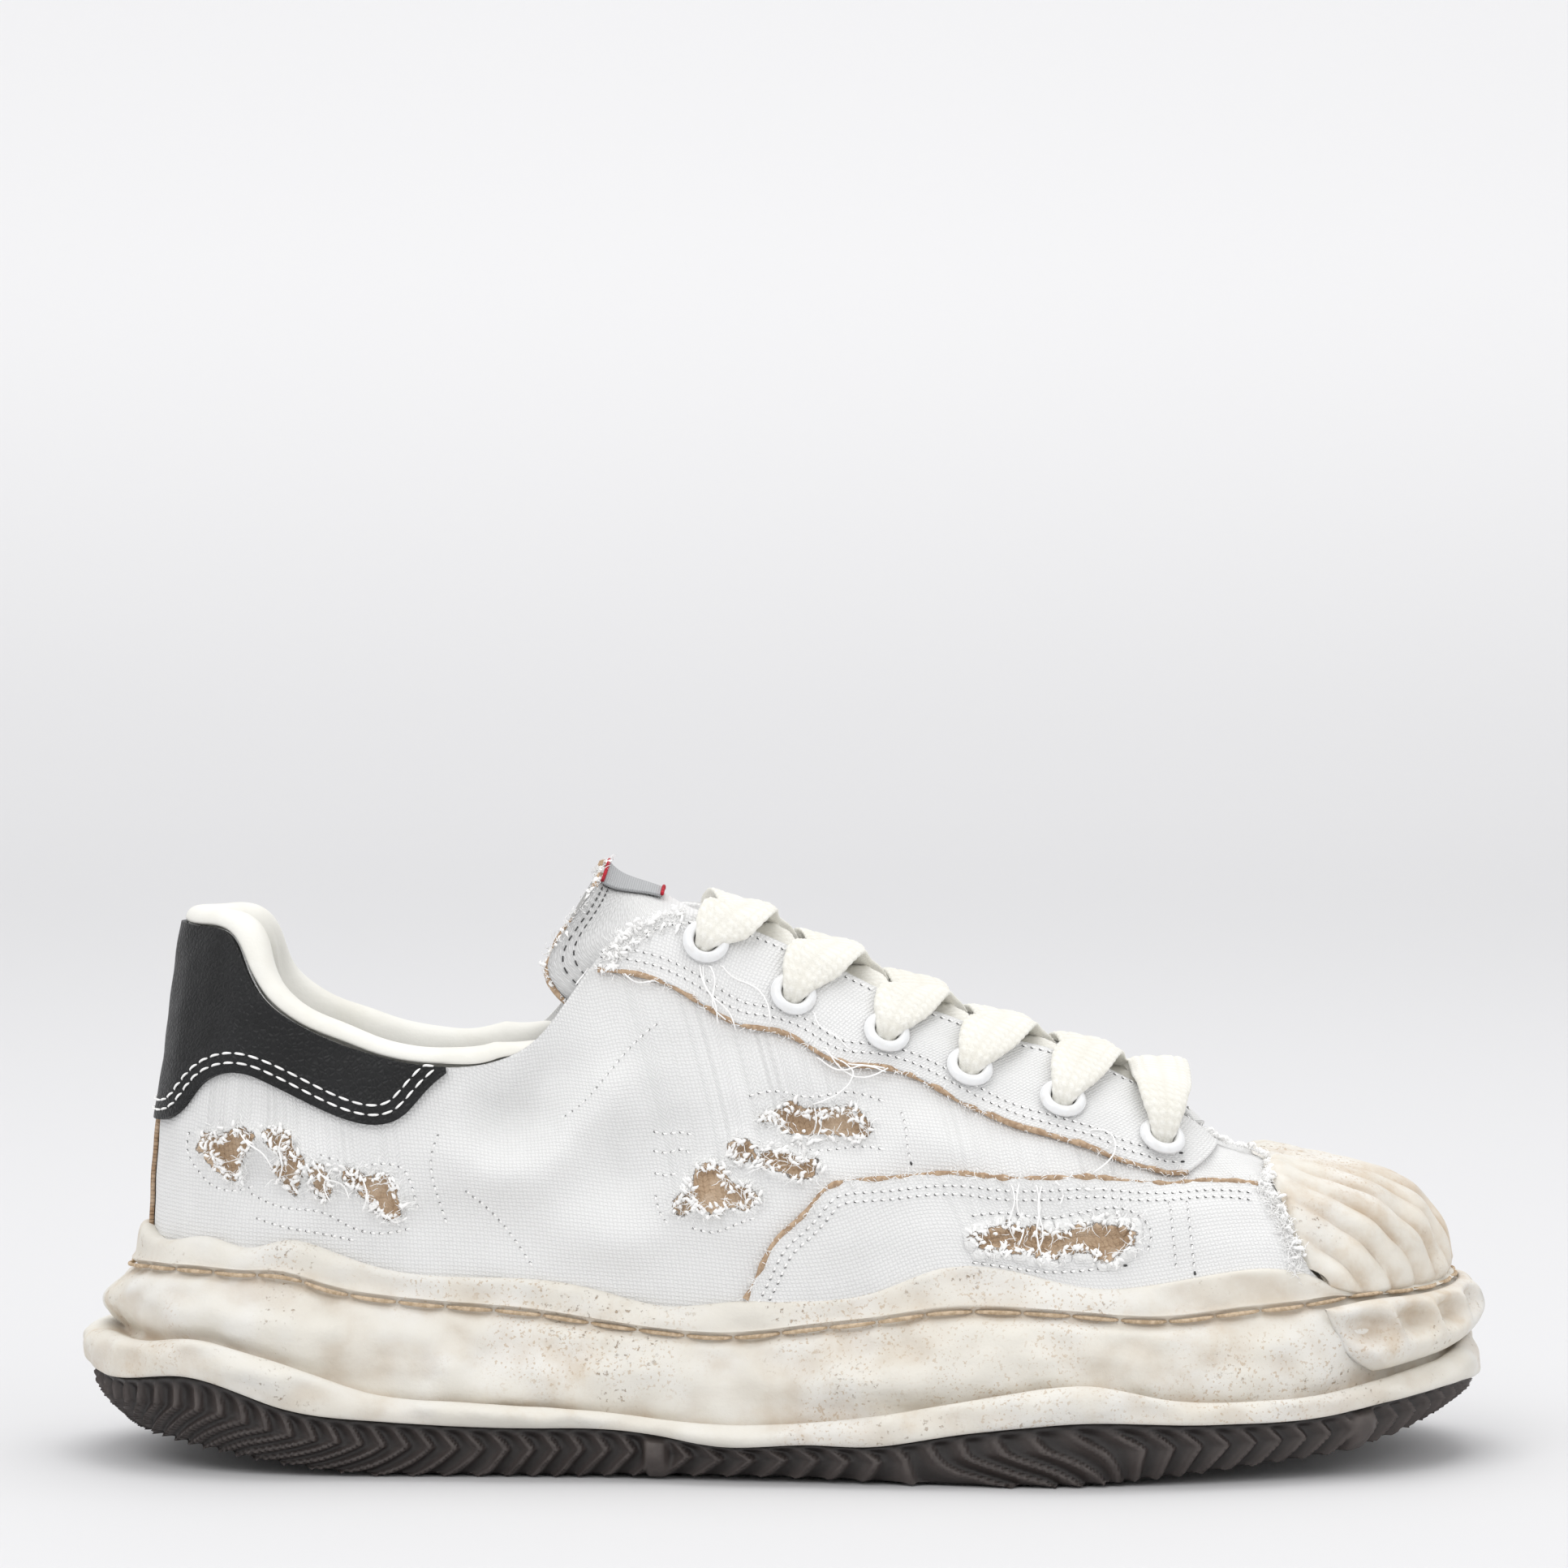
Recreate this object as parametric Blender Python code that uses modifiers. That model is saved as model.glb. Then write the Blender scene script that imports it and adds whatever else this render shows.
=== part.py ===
"""Worn canvas sneaker for the right foot, standing empty on its sole.

Metres, +Z up, toe toward +X, outer side toward -Y, origin on the floor under the middle of the sole.
The upper is one function of a place round the shoe (row) and a place up its wall (rise). Row 0 is the
heel, TOE_ROW the toe; the outer side runs between them and the inner side runs back, as negative rows.
"""

import math

import bmesh
import bpy
import numpy as np
from mathutils import Matrix, Vector

# Upper
UPPER_LENGTH = 0.2851
BALL_WIDTH = 0.0975
COLLAR_HEIGHT = 0.1164
INSTEP_HEIGHT = 0.1198
HEEL_BACK = -0.1386
CANVAS_WALL = 0.0020
PIECE_GAP = 0.0003
CUP_GAP = 0.0004

# Sole
SOLE_HEIGHT = 0.0500
SOLE_REACH = 0.0160
FOOTBED_HEIGHT = 0.0300
GROUND_CURL = 0.0130
TREAD_TOOTH = 0.0010
TREAD_GROOVE = 0.0018
TREAD_RIBS = 120
TREAD_UNDERCUT = 0.0030
TREAD_LEAN = 1.6
LIP_INSET = 0.0035
STITCH_GROOVE = 0.0015
INSOLE_THICKNESS = 0.0040

# Overlays
LEATHER = 0.0013
OVERLAY_CLOTH = 0.0010
OVERLAY_GAP = 0.0005
CAP_SHELL = 0.0012
CAP_LOBE = 0.0016
CAP_LOBES = 13
BUMPER_THICKNESS = 0.0020
BUMPER_SCALLOP = 0.0010
BUMPER_SCALLOPS = 9
HEEL_STRIP_WIDTH = 0.0084

# Tongue and label
TONGUE_THICKNESS = 0.0036
TONGUE_SHOULDER = 0.62
TONGUE_TUCK = 0.13
LABEL_THICKNESS = 0.0010

# Eyelets and laces
EYELET_FLANGE = 0.0052
EYELET_BORE = 0.0022
EYELET_BARREL = 0.0031
EYELET_LIP = 0.0012
EYELET_HOLE = 0.0036
EYELET_SEAT = 0.0006
EYELET_DRILL = 0.0120
LACE_WIDTH = 0.0120
LACE_THICKNESS = 0.0022
LACE_LIFT = 0.0011
LACE_CROWN = 0.0110
LACE_BAR_CROWN = 0.0104
LACE_ARM_RISE = 0.0086
LACE_ARM_SHARE = 0.54
LACE_TILT = 0.7

# Sampling: points round the shoe, up its wall, and along or round the smaller pieces
LOOP_STEPS = 54
WALL_STEPS = 8
COUNTER_STEPS = 35
EYESTAY_STEPS = 17
MUDGUARD_STEPS = 15
LOBE_STEPS = 3
CAP_STEPS = 6
BUMPER_STEPS = 28
ROLL_STEPS = 33
TONGUE_STEPS = 12
LABEL_STEPS = 4
EYELET_SIDES = 9
LACE_STEPS = 7

TOE_ROW = 15
LOOP_ROWS = 2 * TOE_ROW

# Feather line, heel to toe. along: share of UPPER_LENGTH; outer and inner: share of BALL_WIDTH.
FOOT_ROWS = (
    # along, outer, inner
    (0.000, 0.000, 0.000),
    (0.016, 0.164, 0.164),
    (0.050, 0.262, 0.260),
    (0.100, 0.311, 0.306),
    (0.160, 0.328, 0.320),
    (0.230, 0.336, 0.318),
    (0.310, 0.355, 0.314),
    (0.390, 0.388, 0.318),
    (0.480, 0.435, 0.340),
    (0.575, 0.480, 0.395),
    (0.675, 0.502, 0.460),
    (0.775, 0.492, 0.494),
    (0.860, 0.439, 0.474),
    (0.930, 0.333, 0.405),
    (0.980, 0.166, 0.262),
    (1.000, -0.046, 0.046),
)

# Top line: collar, then throat edge. collar and instep: shares of COLLAR_HEIGHT and INSTEP_HEIGHT.
TOP_ROWS = (
    # along, outer, inner, collar, instep
    (0.0309, 0.000, 0.000, 1.000, 0.000),
    (0.0424, 0.130, 0.128, 1.000, 0.000),
    (0.0670, 0.212, 0.208, 0.982, 0.000),
    (0.0880, 0.262, 0.256, 0.886, 0.000),
    (0.1354, 0.297, 0.288, 0.806, 0.000),
    (0.2126, 0.318, 0.302, 0.752, 0.000),
    (0.2897, 0.308, 0.294, 0.784, 0.000),
    (0.3388, 0.267, 0.260, 0.000, 0.902),
    (0.4090, 0.215, 0.212, 0.000, 1.000),
    (0.5142, 0.185, 0.184, 0.000, 0.906),
    (0.6265, 0.166, 0.166, 0.000, 0.789),
    (0.7176, 0.154, 0.154, 0.000, 0.718),
    (0.7770, 0.133, 0.133, 0.000, 0.645),
    (0.8030, 0.092, 0.092, 0.000, 0.594),
    (0.8125, 0.046, 0.046, 0.000, 0.571),
    (0.8160, 0.000, 0.000, 0.000, 0.563),
)

# How each wall section bends. climb and drop: shares of the wall's height for its two handles;
# flare and swell: how far they stand out, shares of BALL_WIDTH; brim: share of the way back to the foot.
WALL_ROWS = (
    # climb, flare, brim, swell, drop
    (0.38, 0.018, 0.62, 0.000, 0.29),
    (0.38, 0.022, 0.60, 0.004, 0.29),
    (0.38, 0.028, 0.55, 0.008, 0.29),
    (0.38, 0.034, 0.50, 0.012, 0.28),
    (0.38, 0.038, 0.45, 0.018, 0.28),
    (0.38, 0.040, 0.45, 0.024, 0.30),
    (0.38, 0.038, 0.45, 0.024, 0.32),
    (0.38, 0.032, 0.45, 0.018, 0.30),
    (0.38, 0.026, 0.48, 0.008, 0.24),
    (0.40, 0.020, 0.52, 0.000, 0.22),
    (0.44, 0.016, 0.55, 0.000, 0.20),
    (0.50, 0.014, 0.58, 0.000, 0.20),
    (0.62, 0.012, 0.60, 0.000, 0.20),
    (0.76, 0.012, 0.64, 0.000, 0.22),
    (0.86, 0.012, 0.67, 0.000, 0.235),
    (0.90, 0.012, 0.67, 0.000, 0.236),
)

# Footbed height under the foot, share of FOOTBED_HEIGHT.
FOOTBED_ROWS = (
    # along, height
    (0.00, 1.00),
    (0.30, 0.90),
    (0.62, 0.74),
    (0.84, 0.76),
    (1.00, 0.90),
)

# Wavy lines of the sole's side, shares of SOLE_HEIGHT, by place along the feather line.
SOLE_LINES = (
    # along, rand, groove, brim, lip
    (0.000, 1.010, 0.820, 0.545, 0.412),
    (0.012, 0.975, 0.840, 0.545, 0.388),
    (0.030, 0.978, 0.850, 0.544, 0.400),
    (0.051, 1.002, 0.852, 0.570, 0.426),
    (0.083, 0.962, 0.844, 0.540, 0.380),
    (0.111, 0.998, 0.840, 0.488, 0.312),
    (0.142, 0.960, 0.788, 0.424, 0.272),
    (0.177, 0.890, 0.748, 0.358, 0.254),
    (0.234, 0.846, 0.716, 0.326, 0.234),
    (0.304, 0.836, 0.684, 0.306, 0.226),
    (0.353, 0.786, 0.644, 0.288, 0.226),
    (0.395, 0.732, 0.616, 0.262, 0.204),
    (0.448, 0.754, 0.600, 0.242, 0.160),
    (0.507, 0.764, 0.642, 0.256, 0.176),
    (0.556, 0.808, 0.678, 0.290, 0.174),
    (0.602, 0.908, 0.718, 0.336, 0.214),
    (0.662, 0.894, 0.722, 0.400, 0.258),
    (0.714, 0.830, 0.704, 0.426, 0.282),
    (0.767, 0.844, 0.684, 0.366, 0.272),
    (0.830, 0.894, 0.714, 0.348, 0.266),
    (0.879, 0.870, 0.736, 0.360, 0.276),
    (0.914, 0.786, 0.764, 0.396, 0.308),
    (0.956, 0.780, 0.762, 0.440, 0.340),
    (0.985, 0.784, 0.766, 0.480, 0.350),
    (1.000, 0.792, 0.774, 0.520, 0.336),
)

# How far the same lines stand out from the upper, and the belly of the band, shares of SOLE_REACH.
SOLE_REACHES = (
    # along, rand, groove, belly, crease, lip
    (0.00, 0.22, 0.31, 0.62, 0.36, 1.00),
    (0.06, 0.20, 0.28, 0.58, 0.40, 0.94),
    (0.20, 0.16, 0.23, 0.52, 0.44, 0.82),
    (0.45, 0.15, 0.21, 0.47, 0.44, 0.72),
    (0.70, 0.16, 0.23, 0.53, 0.48, 0.79),
    (0.86, 0.16, 0.21, 0.44, 0.38, 0.70),
    (0.95, 0.12, 0.16, 0.24, 0.20, 0.56),
    (1.00, 0.10, 0.14, 0.18, 0.12, 0.56),
)

# Lift of the tread's edge off the floor, share of GROUND_CURL, and how far it draws in, of SOLE_REACH.
GROUND_ROWS = (
    # along, lift, draw
    (0.000, 0.72, 0.52),
    (0.020, 0.56, 0.44),
    (0.050, 0.42, 0.34),
    (0.090, 0.26, 0.28),
    (0.140, 0.08, 0.25),
    (0.180, 0.00, 0.24),
    (0.320, 0.00, 0.24),
    (0.400, 0.05, 0.24),
    (0.480, 0.07, 0.24),
    (0.530, 0.05, 0.24),
    (0.575, 0.03, 0.12),
    (0.615, 0.00, 0.00),
    (0.665, 0.00, -0.08),
    (0.700, 0.00, 0.00),
    (0.730, 0.03, 0.10),
    (0.770, 0.10, 0.24),
    (0.830, 0.24, 0.24),
    (0.890, 0.36, 0.24),
    (0.940, 0.56, 0.26),
    (0.980, 0.80, 0.32),
    (1.000, 0.94, 0.38),
)

# Plain upright bars between the tread's ribs, and how wide they are, shares of UPPER_LENGTH.
PLAIN_BARS = (0.395, 0.910)
PLAIN_BAR_HALF = 0.009

# Grooves across the tread: one in so many ribs' points, how many points wide, and where they run.
GROOVE_EVERY = 8
GROOVE_POINTS = 2
GROOVE_SPAN = (0.05, 0.95)

# Cupsole's side from the rand down to the lip's underside. Each point blends two reach lines and two
# height lines; out and up move it by whole stitch grooves.
MIDSOLE_SIDE = (
    # reach, reach, blend, out, height, height, fall, up
    ("wall", "rand", 0.50, 0.00, "rand", "rand", 0.00, 0.00),
    ("wall", "rand", 1.00, 0.00, "rand", "groove", 0.35, 0.00),
    ("wall", "groove", 1.00, 0.00, "seam", "seam", 0.00, 0.00),
    ("wall", "groove", 1.00, -0.40, "groove", "groove", 0.00, 0.00),
    ("wall", "groove", 1.00, 0.60, "groove", "groove", 0.00, -1.00),
    ("groove", "belly", 0.55, 0.50, "groove", "brim", 0.28, 0.00),
    ("groove", "belly", 1.00, 0.00, "groove", "brim", 0.55, 0.00),
    ("belly", "crease", 0.40, 0.00, "groove", "brim", 0.86, 0.00),
    ("belly", "crease", 1.00, 0.00, "groove", "brim", 1.04, 0.00),
    ("crease", "lip", 0.70, 0.00, "brim", "brim", 0.00, 0.00),
    ("crease", "lip", 1.00, 0.00, "brim", "lip", 0.50, 0.00),
    ("crease", "lip", 1.00, -1.00, "lip", "lip", 0.00, 0.00),
    ("inset", "inset", 1.00, 0.00, "lip", "lip", 0.00, 0.00),
)
SEAM_SHARE = 0.45
FOOTBED_WALL = (0.0, 0.5, 0.97)

# Edges of the overlays: along from the heel as a share of UPPER_LENGTH; height of COLLAR_HEIGHT for
# the counter and of INSTEP_HEIGHT for those forward of it.
COUNTER_EDGE = (
    # along, height
    (0.0300, 0.662),
    (0.0430, 0.706),
    (0.0650, 0.734),
    (0.0800, 0.732),
    (0.1000, 0.713),
    (0.1200, 0.689),
    (0.1390, 0.667),
    (0.1580, 0.650),
    (0.1780, 0.643),
    (0.1950, 0.654),
    (0.2090, 0.686),
    (0.2210, 0.718),
    (0.2310, 0.738),
)
COUNTER_HEEL_HEIGHT = 0.637
COUNTER_TOP_RISE = 0.995
COUNTER_TOP_SPREAD = 0.5
HEEL_STRIP_TOP = 0.631
EYESTAY_EDGE = (
    (0.345, 0.898),
    (0.388, 0.882),
    (0.422, 0.842),
    (0.456, 0.803),
    (0.487, 0.787),
    (0.524, 0.738),
    (0.563, 0.723),
    (0.613, 0.672),
    (0.665, 0.619),
    (0.714, 0.584),
    (0.758, 0.552),
    (0.792, 0.545),
)
MUDGUARD_EDGE = (
    (0.458, 0.321),
    (0.468, 0.368),
    (0.481, 0.426),
    (0.501, 0.471),
    (0.519, 0.518),
    (0.555, 0.534),
    (0.609, 0.543),
    (0.663, 0.531),
    (0.723, 0.530),
    (0.765, 0.523),
    (0.814, 0.527),
    (0.843, 0.513),
)
MUDGUARD_FRONT = 0.866
MUDGUARD_HEEL_ROW = 0.05
MUDGUARD_LEAST_RISE = 0.01
CAP_EDGE = (
    (0.852, 0.536),
    (0.862, 0.488),
    (0.872, 0.405),
    (0.880, 0.369),
)
CAP_TOP_RISE = 0.905
CAP_BASE_ROW = 0.15
CAP_SWEEP = 1.7
CAP_LOBE_ROUND = 0.7
CAP_LOBE_FADE = (0.25, 0.97)

# Toe bumper: where its ends start and how far they slope toward the toe, shares of UPPER_LENGTH.
# Its face: fall down the band, and how proud it stands, a share of its thickness.
BUMPER_START = 0.882
BUMPER_SLOPE = 0.026
BUMPER_FACE = (
    # fall, proud, scallop
    (0.02, 0.4, 0.0),
    (0.27, 1.0, 1.0),
    (0.53, 1.0, 0.0),
    (0.78, 0.4, 0.0),
)
BUMPER_LEAST = 0.0008

# Eyelets, top to toe, as places on the side: along of UPPER_LENGTH, height of INSTEP_HEIGHT.
EYELETS = (
    (0.426, 0.944),
    (0.492, 0.851),
    (0.562, 0.778),
    (0.625, 0.714),
    (0.696, 0.659),
    (0.771, 0.594),
)

# Tongue sections: row, lift of the middle over the throat edges and shift toward the toe, of
# INSTEP_HEIGHT, and sway of its end edge toward the heel.
TONGUE_ROWS = (
    # row, lift, shift, sway
    (13.2, -0.078, 0.050, 0.000),
    (12.4, -0.042, 0.010, 0.000),
    (11.5, -0.022, 0.000, 0.000),
    (10.0, -0.016, 0.000, 0.000),
    (9.0, -0.014, 0.000, 0.000),
    (8.2, -0.008, 0.000, 0.000),
    (7.6, 0.052, 0.018, 0.000),
    (7.1, 0.138, 0.036, 0.030),
    (6.7, 0.232, 0.054, 0.060),
)
EYESTAY_ROWS = (7.35, 12.9)
EYESTAY_TOP_RISE = 0.992
TONGUE_EDGE_RISE = 0.985
TONGUE_CROWN = 2.4
ROLL_END_ROW = 6.35
ROLL_RISE = 0.98
LABEL_ROWS = (7.75, 6.85)
LABEL_SPREAD = (0.0, 0.24, 0.45)
TONGUE_SPREAD = (0.0, 0.45, 0.68, 0.85, 1.0)


# Section of the collar roll: inward from the upper's outer face and up from its top edge.
ROLL_SECTION = (
    # inward, up
    (0.0036, -0.0095),
    (0.0030, 0.0005),
    (-0.0002, 0.0006),
    (0.0002, 0.0024),
    (0.0022, 0.0036),
    (0.0058, 0.0034),
    (0.0092, -0.0010),
    (0.0078, -0.0110),
)

CANVAS = ("canvas", (0.82, 0.83, 0.84), 0.90)
LINING = ("lining", (0.84, 0.84, 0.80), 0.70)
BLACK_LEATHER = ("black leather", (0.020, 0.021, 0.023), 0.42)
RAW_CANVAS = ("raw canvas", (0.42, 0.29, 0.18), 0.92)
CREAM_RUBBER = ("cream rubber", (0.72, 0.67, 0.56), 0.62)
BEIGE_RUBBER = ("beige rubber", (0.70, 0.60, 0.46), 0.60)
DARK_RUBBER = ("dark rubber", (0.050, 0.040, 0.036), 0.50)
ENAMEL = ("white enamel", (0.80, 0.82, 0.84), 0.25)
LACE_COTTON = ("lace cotton", (0.86, 0.84, 0.76), 0.88)
LABEL_CLOTH = ("label cloth", (0.55, 0.56, 0.58), 0.80)

UP = np.array((0.0, 0.0, 1.0))


def closed_spline(values):
    """Smooth loop through rows 0, 1, 2 and on; returns a function of the row that repeats round it."""
    values = np.asarray(values, float)
    count = len(values)
    system = 4 * np.eye(count) + np.roll(np.eye(count), 1, 0) + np.roll(np.eye(count), -1, 0)
    bends = np.linalg.solve(system, 6 * (np.roll(values, -1, 0) - 2 * values + np.roll(values, 1, 0)))

    def at(row):
        row = np.mod(np.asarray(row, float), count)
        first = np.floor(row).astype(int) % count
        after = (first + 1) % count
        part = (row - np.floor(row))[..., None]
        rest = 1 - part
        straight = rest * values[first] + part * values[after]
        return straight + ((rest**3 - rest) * bends[first] + (part**3 - part) * bends[after]) / 6

    return at


def open_spline(places, values):
    """Smooth open curve through values at rising places, with straight ends."""
    places = np.asarray(places, float)
    values = np.asarray(values, float).reshape(len(places), -1)
    steps = np.diff(places)
    system = np.eye(len(places))
    right = np.zeros_like(values)
    for i in range(1, len(places) - 1):
        system[i, i - 1 : i + 2] = steps[i - 1], 2 * (steps[i - 1] + steps[i]), steps[i]
        slopes = np.diff(values[i - 1 : i + 2], axis=0) / steps[i - 1 : i + 1, None]
        right[i] = 6 * (slopes[1] - slopes[0])
    bends = np.linalg.solve(system, right)

    def at(place):
        place = np.clip(np.asarray(place, float), places[0], places[-1])
        first = np.clip(np.searchsorted(places, place, side="right") - 1, 0, len(steps) - 1)
        step = steps[first][..., None]
        part = ((place - places[first]) / steps[first])[..., None]
        rest = 1 - part
        straight = rest * values[first] + part * values[first + 1]
        bend = (rest**3 - rest) * bends[first] + (part**3 - part) * bends[first + 1]
        return straight + bend * step**2 / 6

    return at


def table_curve(rows):
    """Smooth curve through a table whose first column is the place along."""
    rows = np.asarray(rows, float)
    return open_spline(rows[:, 0], rows[:, 1:])


def loop_of(along, outer, inner, height):
    """Closed loop of points: out along the outer side from heel to toe, then back along the inner."""
    x = HEEL_BACK + UPPER_LENGTH * np.asarray(along)
    there = np.column_stack((x, -BALL_WIDTH * np.asarray(outer), height))
    back = np.column_stack((x, BALL_WIDTH * np.asarray(inner), height))
    return np.concatenate((there, back[-2:0:-1]))


footbed_curve = table_curve(FOOTBED_ROWS)
line_curve = table_curve(SOLE_LINES)
reach_curve = table_curve(SOLE_REACHES)


def footbed_height(along):
    return FOOTBED_HEIGHT * footbed_curve(along)[..., 0]


def wall_loops():
    """The four loops that carry every wall section: foot, low handle, high handle and top line."""
    foot_rows = np.array(FOOT_ROWS)
    top_rows = np.array(TOP_ROWS)
    foot = loop_of(*foot_rows.T, footbed_height(foot_rows[:, 0]) + PIECE_GAP)
    top_height = top_rows[:, 3] * COLLAR_HEIGHT + top_rows[:, 4] * INSTEP_HEIGHT
    top = loop_of(*top_rows[:, :3].T, top_height)
    bend = np.array(WALL_ROWS)
    climb, flare, brim, swell, drop = np.concatenate((bend, bend[-2:0:-1])).T[..., None]
    ahead = np.roll(foot, -1, 0) - np.roll(foot, 1, 0)
    out = np.column_stack((ahead[:, 1], -ahead[:, 0], np.zeros(len(ahead))))
    out /= np.linalg.norm(out, axis=1)[:, None]
    height = (top - foot)[:, 2:]
    low = foot + out * flare * BALL_WIDTH + UP * climb * height
    high = top + (foot - top) * (1, 1, 0) * brim + out * swell * BALL_WIDTH - UP * drop * height
    return [closed_spline(loop) for loop in (foot, low, high, top)]


FOOT_LOOP, LOW_LOOP, HIGH_LOOP, TOP_LOOP = wall_loops()


def on_wall(row, rise):
    """Point of the upper's outer face: a cubic curve from foot to top line through two handles."""
    row, rise = np.broadcast_arrays(np.asarray(row, float), np.asarray(rise, float))
    part = rise[..., None]
    rest = 1 - part
    return (
        rest**3 * FOOT_LOOP(row)
        + 3 * rest**2 * part * LOW_LOOP(row)
        + 3 * rest * part**2 * HIGH_LOOP(row)
        + part**3 * TOP_LOOP(row)
    )


def wall_normal(row, rise):
    """Outward normal of the upper, from its slopes round and up the wall."""
    step = 1e-3
    rise = np.clip(rise, step, 1 - step)
    round_slope = on_wall(row + step, rise) - on_wall(row - step, rise)
    up_slope = on_wall(row, rise + step) - on_wall(row, rise - step)
    normal = np.cross(round_slope, up_slope)
    return normal / np.linalg.norm(normal, axis=-1, keepdims=True)


def off_wall(row, rise, distance):
    """Point at a distance outside the upper's outer face."""
    return on_wall(row, rise) + wall_normal(row, rise) * np.asarray(distance)[..., None]


def rise_at_height(row, height):
    """How far up its wall section the upper reaches a height, by halving the range."""
    row = np.asarray(row, float)
    low = np.zeros_like(row)
    high = np.ones_like(row)
    for _ in range(30):
        middle = (low + high) / 2
        below = on_wall(row, middle)[..., 2] < height
        low = np.where(below, middle, low)
        high = np.where(below, high, middle)
    return (low + high) / 2


def find_on_side(x, height, inner=False):
    """Row and rise where one side of the upper passes a place along and a height."""
    side = -1 if inner else 1
    rows, rises = np.meshgrid(np.linspace(0.3, TOE_ROW - 0.3, 80), np.linspace(0.02, 1, 50), indexing="ij")
    seen = on_wall(side * rows, rises)
    best = np.argmin((seen[..., 0] - x) ** 2 + (seen[..., 2] - height) ** 2)
    place = np.array((rows.flat[best], rises.flat[best]))
    step = 1e-4
    for _ in range(12):
        here = on_wall(side * place[0], place[1])[[0, 2]]
        by_row = (on_wall(side * (place[0] + step), place[1])[[0, 2]] - here) / step
        by_rise = (on_wall(side * place[0], place[1] + step)[[0, 2]] - here) / step
        move = np.linalg.lstsq(np.column_stack((by_row, by_rise)), (x, height) - here, rcond=None)[0]
        place = np.clip(place + np.clip(move, -0.3, 0.3), (0.05, 0.0), (TOE_ROW - 0.05, 1.0))
    return side * place[0], place[1]


def edge_on_side(table, inner=False, height_of=INSTEP_HEIGHT):
    """Rows and rises of an overlay's edge from a table of places along and heights."""
    found = []
    for along, height in table:
        found.append(find_on_side(HEEL_BACK + along * UPPER_LENGTH, height * height_of, inner))
    return np.array(found)


def smooth_edge(points, count):
    """Evenly spread samples of a smooth curve through hand-placed rows and rises."""
    points = np.asarray(points, float)
    lengths = np.linalg.norm(np.diff(on_wall(points[:, 0], points[:, 1]), axis=0), axis=1)
    places = np.concatenate(([0], np.cumsum(lengths)))
    return open_spline(places, points)(np.linspace(0, places[-1], count))


def material(look):
    name, colour, roughness = look
    made = bpy.data.materials.get(name)
    if made is None:
        made = bpy.data.materials.new(name)
        made.use_nodes = True
        shader = made.node_tree.nodes["Principled BSDF"]
        shader.inputs["Base Color"].default_value = (*colour, 1)
        shader.inputs["Roughness"].default_value = roughness
        shader.inputs["Metallic"].default_value = 0.0
        made.diffuse_color = (*colour, 1)
    return made


def add_object(name, mesh, look, collection):
    """A smooth-shaded object of this mesh, in its collection."""
    mesh.shade_smooth()
    mesh.set_sharp_from_angle(angle=math.radians(40))
    mesh.materials.append(material(look))
    made = bpy.data.objects.new(name, mesh)
    collection.objects.link(made)
    return made


def mesh_of(name, points, faces):
    mesh = bpy.data.meshes.new(name)
    mesh.from_pydata(np.asarray(points, float).reshape(-1, 3).tolist(), [], faces)
    mesh.update()
    return mesh


def face_outward(mesh):
    """Turns every face of a closed mesh to point out."""
    work = bmesh.new()
    work.from_mesh(mesh)
    bmesh.ops.recalc_face_normals(work, faces=work.faces)
    work.to_mesh(mesh)
    work.free()
    return mesh


def grid_faces(across, up, closed=False, start=0):
    """Quads of a grid whose points run up each column in turn."""
    faces = []
    for i in range(across if closed else across - 1):
        for j in range(up - 1):
            here = start + i * up + j
            after = start + ((i + 1) % across) * up + j
            faces.append((here, after, after + 1, here + 1))
    return faces


def sheet(name, points, look, collection, thickness, outward=True, closed=False):
    """An open surface given its thickness by Solidify."""
    across, up = points.shape[:2]
    mesh = mesh_of(name, points, grid_faces(across, up, closed))
    made = add_object(name, mesh, look, collection)
    solid = made.modifiers.new("thickness", "SOLIDIFY")
    solid.thickness = thickness
    solid.offset = 1 if outward else -1
    return made


def tube_faces(along, around):
    """Quads of a tube whose sections follow each other, with a cap at both ends."""
    faces = []
    for i in range(along - 1):
        for j in range(around):
            here = i * around
            nearby = (j + 1) % around
            faces.append((here + j, here + nearby, here + around + nearby, here + around + j))
    faces.append(tuple(range(around)))
    faces.append(tuple((along - 1) * around + j for j in range(around)))
    return faces


def shell_between(name, inside, outside, look, collection):
    """A closed piece between two grids of the same size, joined round their rim."""
    across, up = inside.shape[:2]
    count = across * up
    faces = grid_faces(across, up) + grid_faces(across, up, start=count)
    rim = [i * up for i in range(across)]
    rim += [(across - 1) * up + j for j in range(1, up)]
    rim += [i * up + up - 1 for i in range(across - 2, -1, -1)]
    rim += [j for j in range(up - 2, 0, -1)]
    for here, after in zip(rim, rim[1:] + rim[:1]):
        faces.append((here, after, after + count, here + count))
    mesh = mesh_of(name, np.concatenate((inside.reshape(-1, 3), outside.reshape(-1, 3))), faces)
    return add_object(name, face_outward(mesh), look, collection)


def ladder_faces(count, start):
    """Strips across a ring whose second half mirrors its first."""
    faces = [(start, start + 1, start + count - 1)]
    for j in range(1, count // 2 - 1):
        faces.append((start + j, start + j + 1, start + count - j - 1, start + count - j))
    middle = count // 2
    faces.append((start + middle - 1, start + middle, start + middle + 1))
    return faces


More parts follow.
